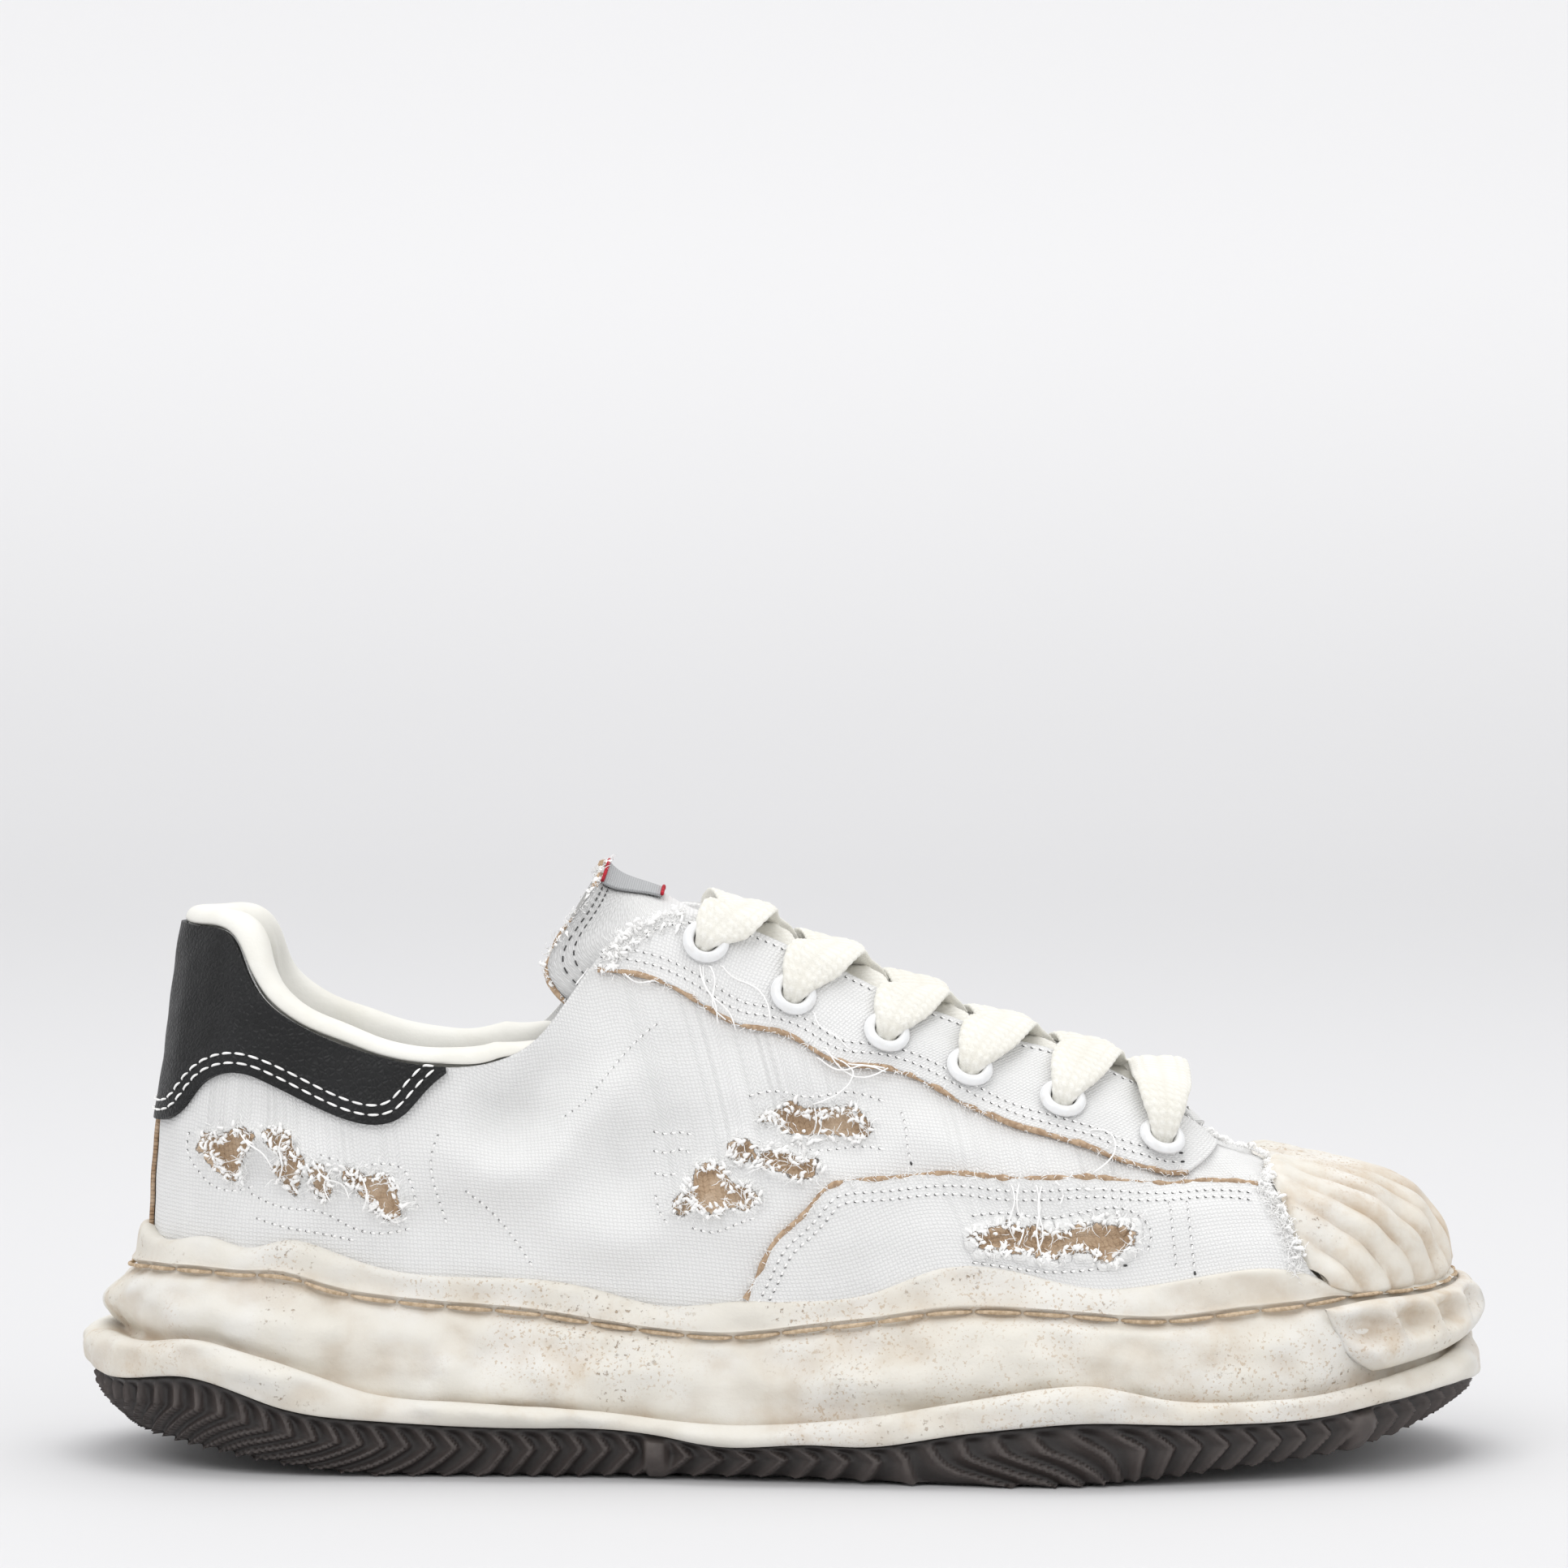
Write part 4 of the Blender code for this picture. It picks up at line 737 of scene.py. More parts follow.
def wall_loops():
    """The four loops that carry every wall section: foot, low handle, high handle and top line."""
    foot_rows = np.array(FOOT_ROWS)
    top_rows = np.array(TOP_ROWS)
    foot = loop_of(*foot_rows.T, footbed_height(foot_rows[:, 0]) + PIECE_GAP)
    top_height = top_rows[:, 3] * COLLAR_HEIGHT + top_rows[:, 4] * INSTEP_HEIGHT
    top = loop_of(*top_rows[:, :3].T, top_height)
    bend = np.array(WALL_ROWS)
    climb, flare, brim, swell, drop = np.concatenate((bend, bend[-2:0:-1])).T[..., None]
    ahead = np.roll(foot, -1, 0) - np.roll(foot, 1, 0)
    out = np.column_stack((ahead[:, 1], -ahead[:, 0], np.zeros(len(ahead))))
    out = unit(out)
    height = (top - foot)[:, 2:]
    low = foot + out * flare * BALL_WIDTH + UP * climb * height
    high = top + (foot - top) * (1, 1, 0) * brim + out * swell * BALL_WIDTH - UP * drop * height
    return [closed_spline(loop) for loop in (foot, low, high, top)]


FOOT_LOOP, LOW_LOOP, HIGH_LOOP, TOP_LOOP = wall_loops()


def on_wall(row, rise):
    """Point of the upper's outer face: a cubic curve from foot to top line through two handles."""
    row, rise = np.broadcast_arrays(np.asarray(row, float), np.asarray(rise, float))
    part = rise[..., None]
    rest = 1 - part
    return (
        rest**3 * FOOT_LOOP(row)
        + 3 * rest**2 * part * LOW_LOOP(row)
        + 3 * rest * part**2 * HIGH_LOOP(row)
        + part**3 * TOP_LOOP(row)
    )


def wall_normal(row, rise):
    """Outward normal of the upper: the cross product of its slopes round and up the wall."""
    step = 1e-3
    rise = np.clip(rise, step, 1 - step)
    round_slope = on_wall(row + step, rise) - on_wall(row - step, rise)
    up_slope = on_wall(row, rise + step) - on_wall(row, rise - step)
    normal = np.cross(round_slope, up_slope)
    return unit(normal)


def rise_at_height(row, height):
    """How far up its wall section the upper reaches a height, by halving the range."""
    row = np.asarray(row, float)
    low = np.zeros_like(row)
    high = np.ones_like(row)
    for _ in range(30):
        middle = (low + high) / 2
        below = on_wall(row, middle)[..., 2] < height
        low = np.where(below, middle, low)
        high = np.where(below, high, middle)
    return (low + high) / 2


def find_places(x, z, inner=False):
    """Rows and rises where one side passes these places along and heights: nearest sample, then
    Newton's steps with the surface's two slopes."""
    x = np.atleast_1d(np.asarray(x, float))
    z = np.atleast_1d(np.asarray(z, float))
    sign = -1 if inner else 1
    rows, rises = np.meshgrid(np.linspace(0.3, TOE_ROW - 0.3, 90), np.linspace(0.02, 1, 50), indexing="ij")
    seen = on_wall(sign * rows, rises).reshape(-1, 3)
    best = ((seen[None, :, 0] - x[:, None]) ** 2 + (seen[None, :, 2] - z[:, None]) ** 2).argmin(1)
    row = rows.reshape(-1)[best]
    rise = rises.reshape(-1)[best]
    step = 1e-4
    for _ in range(12):
        here = on_wall(sign * row, rise)
        by_row = (on_wall(sign * (row + step), rise) - here) / step
        by_rise = (on_wall(sign * row, rise + step) - here) / step
        miss_x = x - here[:, 0]
        miss_z = z - here[:, 2]
        scale = by_row[:, 0] * by_rise[:, 2] - by_row[:, 2] * by_rise[:, 0]
        scale = np.where(np.abs(scale) < 1e-7, 1e-7, scale)
        move_row = (miss_x * by_rise[:, 2] - miss_z * by_rise[:, 0]) / scale
        move_rise = (by_row[:, 0] * miss_z - by_row[:, 2] * miss_x) / scale
        row = np.clip(row + np.clip(move_row, -0.3, 0.3), 0.05, TOE_ROW - 0.05)
        rise = np.clip(rise + np.clip(move_rise, -0.1, 0.1), 0.0, 1.0)
    return np.column_stack((sign * row, rise))


def edge_on_side(table, inner=False, height_of=INSTEP_HEIGHT):
    """Rows and rises of an edge from a table of places along and heights."""
    table = np.asarray(table, float)
    return find_places(HEEL_BACK + table[:, 0] * UPPER_LENGTH, table[:, 1] * height_of, inner)


def under_photo(points):
    """Rows and rises of the upper that the photograph shows at these pixels."""
    points = np.asarray(points, float)
    y = np.full(len(points), -0.045)
    for _ in range(4):
        x = (points[:, 0] - PHOTO_MIDDLE) / PHOTO_FOCAL * (CAMERA_AWAY + y)
        tilt = CAMERA_PITCH + np.arctan((points[:, 1] - PHOTO_MIDDLE) / PHOTO_FOCAL)
        z = CAMERA_HEIGHT - (CAMERA_AWAY + y) * np.tan(tilt)
        places = find_places(x, z)
        y = on_wall(*places.T)[:, 1]
    return places


def photo_place(points):
    """Pixels of the photograph at which these points appear."""
    away = CAMERA_AWAY + points[..., 1]
    across = PHOTO_MIDDLE + PHOTO_FOCAL * points[..., 0] / away
    tilt = np.arctan((CAMERA_HEIGHT - points[..., 2]) / away) - CAMERA_PITCH
    return across, PHOTO_MIDDLE + PHOTO_FOCAL * np.tan(tilt)


def rip_depth(points):
    """Millimetres that these points lie within a rip's outline, less than zero outside every rip."""
    px, py = photo_place(points)
    deepest = np.full(px.shape, -60.0)
    for outline in RIPS:
        outline = np.array(outline, float)
        nearest = np.full(px.shape, 1e9)
        crossings = np.zeros(px.shape, int)
        for start, end in zip(outline, np.roll(outline, -1, 0)):
            away, _ = away_from_line(px, py, *start, *end)
            nearest = np.minimum(nearest, away)
            between = (start[1] > py) != (end[1] > py)
            meet = start[0] + (py - start[1]) / (end[1] - start[1] + 1e-9) * (end[0] - start[0])
            crossings += between & (px < meet)
        signed = np.where(crossings % 2 == 1, nearest, -nearest)
        deepest = np.maximum(deepest, signed)
    depth = deepest * (CAMERA_AWAY / PHOTO_FOCAL) * 1000
    return np.where(points[..., 1] < 0, depth, NO_RIP)


def smooth_edge(points, count):
    """Evenly spread samples of a smooth curve through given rows and rises."""
    points = np.asarray(points, float)
    places = lengths_along(on_wall(*points.T))
    return open_spline(places, points)(np.linspace(0, places[-1], count))


def along_of(rows):
    """Share of the foot's length at these rows."""
    return np.clip((FOOT_LOOP(rows)[..., 0] - HEEL_BACK) / UPPER_LENGTH, 0, 1)


def outline_normal(rows):
    """Level outward direction of the feather line."""
    step = 0.05
    ahead = FOOT_LOOP(rows + step) - FOOT_LOOP(rows - step)
    out = np.stack((ahead[..., 1], -ahead[..., 0], np.zeros_like(ahead[..., 0])), -1)
    return unit(out)


def rand_height(along):
    return SOLE_HEIGHT * line_curve(along)[..., 0]


def sole_point(rows, reach, height):
    """Point of the sole's side: the upper's place at the rand's height, moved out level by a reach."""
    held = on_wall(rows, rise_at_height(rows, rand_height(along_of(rows))))
    foot = FOOT_LOOP(rows)
    out = outline_normal(rows)
    stand = np.sum((held - foot) * out, axis=-1) + PIECE_GAP + reach
    point = foot + out * stand[..., None]
    point[..., 2] = height
    return point


# Uneven forms


def ripple(points, wavelength, seed, waves=7):
    """Smooth uneven swell of about -1 to 1: a sum of sine waves in seeded directions."""
    rng = np.random.default_rng(seed)
    total = np.zeros(points.shape[:-1])
    for _ in range(waves):
        direction = rng.normal(size=3)
        direction /= np.linalg.norm(direction)
        length = wavelength * rng.uniform(0.7, 1.5)
        total += np.sin(points @ direction * math.tau / length + rng.uniform(0, math.tau))
    return total / math.sqrt(waves)


def away_from_line(x, z, x0, z0, x1, z1):
    """Distance from a short straight line, and how far along it the nearest point is."""
    long_x = x1 - x0
    long_z = z1 - z0
    share = ((x - x0) * long_x + (z - z0) * long_z) / (long_x**2 + long_z**2)
    near = np.clip(share, 0, 1)
    return np.hypot(x - x0 - near * long_x, z - z0 - near * long_z), share


def crease_lift(points):
    """How far the canvas stands out at these points: bell-shaped ridges and troughs along short lines,
    and a slow swell."""
    x = (points[..., 0] - HEEL_BACK) / UPPER_LENGTH
    x = np.where(points[..., 1] > 0, x - INNER_CREASE_SHIFT, x) * UPPER_LENGTH
    z = points[..., 2]
    lift = 0.00055 * ripple(points, 0.030, 3) + 0.00016 * ripple(points, 0.011, 5)
    for along0, up0, along1, up1, half_width, height in CREASES:
        ends = (along0 * UPPER_LENGTH, up0 * COLLAR_HEIGHT, along1 * UPPER_LENGTH, up1 * COLLAR_HEIGHT)
        away, share = away_from_line(x, z, *ends)
        fade = np.exp(-np.clip(np.abs(share - 0.5) - 0.2, 0, None) ** 2 * 18)
        lift = lift + CREASE_DEPTH * height * fade * np.exp(-((away / half_width) ** 2))
    return lift


def skin(row, rise, lift=0.0):
    """Point of the creased canvas: the wall moved out along its normal by the creases and a lift."""
    row, rise = np.broadcast_arrays(np.asarray(row, float), np.asarray(rise, float))
    base = on_wall(row, rise)
    out = wall_normal(row, rise)
    stand = crease_lift(base) + lift
    return base + out * stand[..., None]


# Meshes


def grid_quads(across, up, around=False, tube=False):
    """Quads of a grid by vertex number, and the same corners as unwrapped steps."""
    i, j = np.meshgrid(
        np.arange(across if around else across - 1), np.arange(up if tube else up - 1), indexing="ij"
    )
    corners = np.stack((np.stack((i, i + 1, i + 1, i), -1), np.stack((j, j, j + 1, j + 1), -1)), -1)
    corners = corners.reshape(-1, 4, 2)
    numbers = corners[..., 0] % across * up + corners[..., 1] % up
    return numbers, corners


def place_mesh(name, points, faces):
    """A smooth mesh object from points and faces by vertex number."""
    mesh = bpy.data.meshes.new(name)
    mesh.from_pydata(points.reshape(-1, 3).tolist(), [], faces)
    mesh.shade_smooth()
    made = bpy.data.objects.new(name, mesh)
    bpy.context.scene.collection.objects.link(made)
    return made


def surface(name, points, around=False, tube=False, extra=None, values=None, flip=False):
    """A mesh object from a grid of points, with a UV map in millimetres along both ways of the grid.
    extra adds faces by vertex number; values are numbers kept on the points as attributes."""
    across, up = points.shape[:2]
    quads, corners = grid_quads(across, up, around, tube)
    wrapped = np.concatenate((points, points[:1]), 0) if around else points
    wrapped = np.concatenate((wrapped, wrapped[:, :1]), 1) if tube else wrapped
    u = np.zeros(wrapped.shape[:2])
    v = np.zeros(wrapped.shape[:2])
    u[1:] = np.cumsum(np.linalg.norm(np.diff(wrapped, axis=0), axis=-1).mean(1))[:, None]
    v[:, 1:] = np.cumsum(np.linalg.norm(np.diff(wrapped, axis=1), axis=-1), 1)
    uv = np.stack((u, v), -1)[corners[..., 0], corners[..., 1]] * 1000
    faces = quads.tolist()
    spare = 0
    for face in extra or ():
        faces.append(face)
        spare += len(face)
    if flip:
        faces = [face[::-1] for face in faces]
        uv = uv[:, ::-1]
    made = place_mesh(name, points, faces)
    mesh = made.data
    layer = mesh.uv_layers.new(name="millimetres")
    flat = np.concatenate((uv.reshape(-1), np.zeros(2 * spare)))
    layer.data.foreach_set("uv", flat.astype(np.float32))
    for key, numbers in (values or {}).items():
        attribute = mesh.attributes.new(key, "FLOAT", "POINT")
        attribute.data.foreach_set("value", np.ascontiguousarray(numbers, np.float32).reshape(-1))
    return made


def tubes(name, lines, radii, material, sides=4):
    """Many joined round threads: lines holds the points of each and radii the radius at each point."""
    lines = np.asarray(lines, float)
    radii = np.broadcast_to(radii, lines.shape[:2])
    count, steps = lines.shape[:2]
    ahead = np.gradient(lines, axis=1)
    ahead /= np.linalg.norm(ahead, axis=-1, keepdims=True) + 1e-12
    upright = np.abs(ahead.mean(1) @ UP) > 0.75
    helper = np.where(upright[:, None, None], np.array((1.0, 0.0, 0.0)), UP)
    side = np.cross(ahead, helper)
    side /= np.linalg.norm(side, axis=-1, keepdims=True) + 1e-12
    other = np.cross(side, ahead)
    turn = np.arange(sides) * math.tau / sides
    ring = side[:, :, None] * np.cos(turn)[:, None] + other[:, :, None] * np.sin(turn)[:, None]
    points = lines[:, :, None] + ring * radii[..., None, None]
    base = np.arange(count)[:, None, None] * steps * sides
    i, j = np.meshgrid(np.arange(steps - 1), np.arange(sides), indexing="ij")
    quads = np.stack((i * sides + j, (i + 1) * sides + j, (i + 1) * sides + (j + 1) % sides,
                      i * sides + (j + 1) % sides), -1).reshape(1, -1, 4) + base
    first = (np.arange(sides)[::-1] + base[:, 0]).tolist()
    last = (np.arange(sides) + (steps - 1) * sides + base[:, 0]).tolist()
    faces = quads.reshape(-1, 4).tolist() + [face[::-1] for face in first + last]
    made = place_mesh(name, points, faces)
    made.data.materials.append(look(material))
    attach(made, "root")
    return made


def walk(places):
    """Lengths along a path of rows and rises on the creased canvas."""
    return lengths_along(skin(*places.T))


def on_path(places, lengths, reach):
    """Rows and rises at these lengths along a path."""
    return np.interp(reach, lengths, places[:, 0]), np.interp(reach, lengths, places[:, 1])


def stitch_lines(places, pitch, length, under, height, steps=6):
    """Short arcs along a path on the canvas, each out of the cloth, over it and back."""
    lengths = walk(places)
    starts = np.arange(pitch * STITCH_START, lengths[-1] - length, pitch)
    reach = starts[:, None] + np.linspace(0, length, steps)
    arch = np.sin(math.pi * np.linspace(0, 1, steps)) ** 0.5
    rows, rises = on_path(places, lengths, reach)
    return skin(rows, rises, under - 0.3 * height + 1.3 * height * arch)


def hole_lines(places, pitch, under):
    """Short flat dark dashes along a path on the canvas: painted shade of the needle's holes."""
    lengths = walk(places)
    starts = np.arange(pitch * STITCH_START, lengths[-1] - HOLE_LENGTH, pitch)
    reach = starts[:, None] + np.linspace(0, HOLE_LENGTH, 3)
    rows, rises = on_path(places, lengths, reach)
    return skin(rows, rises, under)


def hairs(places, count, length, under, width, seed, steps=5):
    """Loose cotton hairs sown along a path on the canvas: each starts in the cloth and curls off it."""
    rng = np.random.default_rng(seed)
    lengths = walk(places)
    reach = rng.uniform(0, lengths[-1], count)
    rows, rises = on_path(places, lengths, reach)
    return curled(rng, skin(rows, rises, under), wall_normal(rows, rises), length, width, steps)


def curled(rng, start, out, length, width, steps=5):
    """Curled hairs from these points, standing off a face with these normals."""
    count = len(start)
    level, upward = side_frame(out)
    turn = rng.uniform(0, math.tau, count)[:, None]
    ahead = np.cos(turn) * level + np.sin(turn) * upward
    cross = np.cross(out, ahead)
    start = start + level * rng.normal(0, width, (count, 1)) + upward * rng.normal(0, width, (count, 1))
    size = length * rng.uniform(0.4, 1.4, (count, 1, 1))
    part = np.linspace(0, 1, steps)[None, :, None]
    curl = rng.normal(0, 0.35, (count, 1, 1))
    lift = rng.uniform(0.15, 0.75, (count, 1, 1))
    sway = 0.12 * np.sin(part * rng.uniform(3, 9, (count, 1, 1)) + rng.uniform(0, 6, (count, 1, 1)))
    path = ahead[:, None] * part + out[:, None] * lift * np.sin(math.pi * part * 0.85)
    path = path + cross[:, None] * (curl * part**2 + sway * part)
    return start[:, None] + path * size


def sown(path, kind, seed, under=0.0):
    """Hairs of one kind along a path, standing on cloth of this height."""
    per_metre, length, lift, spread = kind
    return hairs(path, int(walk(path)[-1] * per_metre), length, under + lift, spread, seed)


def thicken(piece, thickness):
    """Gives an open surface its wall with Solidify, outward."""
    solid = piece.modifiers.new("wall", "SOLIDIFY")
    solid.thickness = thickness
    solid.offset = 1
    solid.use_even_offset = False
    return piece


def ladder(count):
    """Faces across a ring whose second half mirrors its first."""
    faces = [(0, 1, count - 1)]
    for j in range(1, count // 2 - 1):
        faces.append((j, j + 1, count - j - 1, count - j))
    middle = count // 2
    faces.append((middle - 1, middle, middle + 1))
    return faces


def rim_caps(count, up, flip=False):
    """Faces that close both rims of a grid of mirrored rings."""
    caps = []
    for shift, turned in ((0, flip), (up - 1, not flip)):
        for face in ladder(count):
            face = tuple(n * up + shift for n in face)
            caps.append(face[::-1] if turned else face)
    return caps


def end_caps(across, up):
    """The two end faces of a tube's grid."""
    return [tuple(range(up)), tuple((across - 1) * up + j for j in range(up))[::-1]]


def wear(piece, look, nodes):
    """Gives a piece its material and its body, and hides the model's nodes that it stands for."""
    piece.data.materials.append(look)
    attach(piece, "root")
    if nodes:
        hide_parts(*nodes)
    return piece


# Materials


class NodeBench:
    """Short ways to add and link shader nodes in one tree."""

    def __init__(self, tree):
        self.tree = tree

    def add(self, kind, **settings):
        node = self.tree.nodes.new(kind)
        for key, value in settings.items():
            setattr(node, key, value)
        return node

    def link(self, source, target):
        self.tree.links.new(source, target)

    def math(self, operation, a, b=0.0, clamp=False):
        node = self.add("ShaderNodeMath", operation=operation, use_clamp=clamp)
        for socket, value in zip(node.inputs, (a, b)):
            self.feed(value, socket)
        return node.outputs[0]

    def times(self, a, b, clamp=False):
        return self.math("MULTIPLY", a, b, clamp)

    def plus(self, a, b):
        return self.math("ADD", a, b)

    def minus(self, a, b, clamp=False):
        return self.math("SUBTRACT", a, b, clamp)

    def feed(self, value, socket):
        if isinstance(value, bpy.types.NodeSocket):
            self.link(value, socket)
        elif isinstance(value, (int, float)):
            socket.default_value = value
        else:
            opaque = len(value) == 3 and len(socket.default_value) == 4
            socket.default_value = (*value, 1) if opaque else value

    def mix(self, share, a, b, blend="MIX"):
        node = self.add("ShaderNodeMix", data_type="RGBA", blend_type=blend)
        self.feed(share, node.inputs["Factor"])
        self.feed(a, node.inputs[6])
        self.feed(b, node.inputs[7])
        return node.outputs[2]

    def range(self, value, low, high, to_low=0.0, to_high=1.0, smooth=True):
        node = self.add("ShaderNodeMapRange", interpolation_type="SMOOTHSTEP" if smooth else "LINEAR")
        self.feed(value, node.inputs["Value"])
        for key, number in (("From Min", low), ("From Max", high), ("To Min", to_low), ("To Max", to_high)):
            self.feed(number, node.inputs[key])
        return node.outputs["Result"]

    def noise(self, vector, scale, detail=3.0, roughness=0.55, distortion=0.0):
        node = self.add("ShaderNodeTexNoise")
        self.link(vector, node.inputs["Vector"])
        for key, number in (
            ("Scale", scale), ("Detail", detail), ("Roughness", roughness), ("Distortion", distortion)
        ):
            self.feed(number, node.inputs[key])
        return node.outputs["Fac"]

    def place(self):
        return self.add("ShaderNodeTexCoord").outputs["Object"]

    def stretch(self, vector, scale):
        node = self.add("ShaderNodeMapping")
        self.link(vector, node.inputs["Vector"])
        node.inputs["Scale"].default_value = scale
        return node.outputs["Vector"]


def make_group(name, inputs, outputs, fill):
    """A shader node group, built once: its sockets by name and type, and a function that fills it."""
    found = bpy.data.node_groups.get(name)
    if found:
        return found
    group = bpy.data.node_groups.new(name, "ShaderNodeTree")
    for label, kind, default in inputs:
        socket = group.interface.new_socket(label, in_out="INPUT", socket_type=kind)
        if default is not None:
            socket.default_value = default
    for label, kind in outputs:
        group.interface.new_socket(label, in_out="OUTPUT", socket_type=kind)
    bench = NodeBench(group)
    fill(bench, bench.add("NodeGroupInput").outputs, bench.add("NodeGroupOutput").inputs)
    return group


def use_group(bench, group, **values):
    """Places a group in a material; values go to the sockets named in words, with _ for a space."""
    node = bench.add("ShaderNodeGroup", node_tree=group)
    for key, value in values.items():
        bench.feed(value, node.inputs[key.replace("_", " ")])
    return node.outputs


def weave_group():
    """Plain weave height: the higher of two crossed thread waves, each strong where the other is low."""

    def fill(bench, inputs, outputs):
        split = bench.add("ShaderNodeSeparateXYZ")
        bench.link(inputs["Vector"], split.inputs[0])
        turn = bench.math("DIVIDE", math.pi, inputs["Pitch"])
        along = bench.math("SINE", bench.times(split.outputs[0], turn))
        across = bench.math("SINE", bench.times(split.outputs[1], turn))
        product = bench.times(along, across)
        over = bench.range(product, -0.6, 0.6)
        warp = bench.times(bench.math("ABSOLUTE", along), over)
        weft = bench.times(bench.math("ABSOLUTE", across), bench.minus(1.0, over))
        fuzz = bench.noise(inputs["Vector"], 2.2, 2.0)
        height = bench.plus(bench.math("MAXIMUM", warp, weft), bench.times(fuzz, 0.35))
        bench.link(height, outputs["Height"])

    sockets = (("Vector", "NodeSocketVector", None), ("Pitch", "NodeSocketFloat", 0.9))
    return make_group("weave", sockets, (("Height", "NodeSocketFloat"),), fill)


def blotch_group():
    """Soft uneven stain mask: two noises, wide and fine, pushed through a threshold."""

    def fill(bench, inputs, outputs):
        wide = bench.noise(inputs["Vector"], inputs["Wide"], 4.0, 0.6, 0.6)
        fine = bench.noise(inputs["Vector"], inputs["Fine"], 5.0, 0.65)
        both = bench.plus(bench.times(wide, 0.68), bench.times(fine, 0.32))
        start = bench.minus(0.78, bench.times(inputs["Amount"], 0.5))
        bench.link(bench.range(both, start, bench.plus(start, 0.22)), outputs["Mask"])

    sockets = (
        ("Vector", "NodeSocketVector", None),
        ("Wide", "NodeSocketFloat", 30.0),
        ("Fine", "NodeSocketFloat", 160.0),
        ("Amount", "NodeSocketFloat", 0.5),
    )
    return make_group("blotches", sockets, (("Mask", "NodeSocketFloat"),), fill)


def speckle_group():
    """Small dark specks in drifts: a fine noise cut sharply, kept only where a wide one is high."""

    def fill(bench, inputs, outputs):
        fine = bench.noise(inputs["Vector"], inputs["Fine"], 3.0, 0.7)
        drift = bench.noise(inputs["Vector"], inputs["Drift"], 2.0)
        specks = bench.range(fine, 0.60, 0.70)
        bench.link(bench.times(specks, bench.range(drift, 0.50, 0.66)), outputs["Mask"])

    sockets = (
        ("Vector", "NodeSocketVector", None),
        ("Fine", "NodeSocketFloat", 900.0),
        ("Drift", "NodeSocketFloat", 45.0),
    )
    return make_group("specks", sockets, (("Mask", "NodeSocketFloat"),), fill)


def new_look(name):
    """A material with a Principled BSDF, and its bench and shader."""
    made = bpy.data.materials.new(name)
    made.use_nodes = True
    bench = NodeBench(made.node_tree)
    return made, bench, made.node_tree.nodes["Principled BSDF"]


def set_values(shader, **values):
    """Sets the shader's sockets, named in words with _ for a space."""
    for key, value in values.items():
        shader.inputs[key.replace("_", " ")].default_value = value


def set_bump(bench, shader, height, distance, strength=1.0):
    bump = bench.add("ShaderNodeBump")
    bump.inputs["Distance"].default_value = distance
    bump.inputs["Strength"].default_value = strength
    bench.feed(height, bump.inputs["Height"])
    bench.link(bump.outputs["Normal"], shader.inputs["Normal"])


def attribute_of(bench, key):
    return bench.add("ShaderNodeAttribute", attribute_name=key).outputs["Fac"]


def uv_of(bench):
    return bench.add("ShaderNodeUVMap", uv_map="millimetres").outputs["UV"]


def canvas_look():
    """White weave, greyer in its low places with painted shade between the threads; where the rip attribute
    is above zero the tan cloth shows, with a ragged fluffy rim.
    """
    made, bench, shader = new_look("canvas")
    uv = uv_of(bench)
    place = bench.place()
    weave = use_group(bench, weave_group(), Vector=uv, Pitch=CANVAS_PITCH)["Height"]
    ragged = bench.noise(place, 420.0, 4.0, 0.7)
    rip = bench.plus(attribute_of(bench, "rip"), bench.times(ragged, 3.2))
    open_mask = bench.range(rip, 0.85, 1.2)
    rim = bench.minus(bench.range(rip, -1.0, 0.6), open_mask, clamp=True)
    tone = bench.noise(place, 26.0, 5.0, 0.6)
    greyed = bench.mix(bench.range(tone, 0.45, 0.75), colours().canvas, (0.77, 0.77, 0.765))
    # Greyer in the weave's low places: painted shade between the threads.
    threads = bench.mix(bench.range(weave, 0.2, 0.9), bench.mix(0.14, greyed, (0.35, 0.35, 0.35)), greyed)
    fluffy = bench.mix(rim, threads, (0.88, 0.88, 0.87))
    coarse = use_group(bench, weave_group(), Vector=uv, Pitch=1.25)["Height"]
    # The tan cloth darker in its weave's low places: painted shade between the threads.
    raw = bench.mix(bench.range(coarse, 0.1, 0.9), (0.36, 0.245, 0.155), (0.52, 0.375, 0.25))
    raw = bench.mix(bench.range(bench.noise(place, 190.0, 4.0), 0.42, 0.62), raw, (0.62, 0.48, 0.35))
    bench.link(bench.mix(open_mask, fluffy, raw), shader.inputs["Base Color"])
    fluff = bench.times(bench.noise(place, 900.0, 3.0, 0.8), bench.times(rim, 1.3))
    height = bench.plus(bench.times(weave, 0.55), fluff)
    height = bench.minus(height, bench.times(open_mask, 2.0))
    set_bump(bench, shader, height, 0.00028)
    set_values(shader, Roughness=0.93, Specular_IOR_Level=0.25, Sheen_Weight=0.12)
    return made


def raw_look():
    """Tan under-cloth: coarse weave, darker between its threads with painted shade, and paler worn threads.
    """
    made, bench, shader = new_look("raw_canvas")
    paint = colours()
    place = bench.place()
    coarse = use_group(bench, weave_group(), Vector=uv_of(bench), Pitch=0.9)["Height"]
    # Darker in the weave's low places: painted shade between the threads.
    raw = bench.mix(bench.range(coarse, 0.1, 0.9), (0.25, 0.155, 0.09), paint.raw)
    worn = bench.range(bench.noise(place, 260.0, 4.0), 0.45, 0.62)
    bench.link(bench.mix(worn, raw, (0.55, 0.41, 0.29)), shader.inputs["Base Color"])
    set_bump(bench, shader, bench.plus(coarse, bench.noise(place, 1500.0)), 0.0003)
    set_values(shader, Roughness=0.95, Specular_IOR_Level=0.2)
    return made


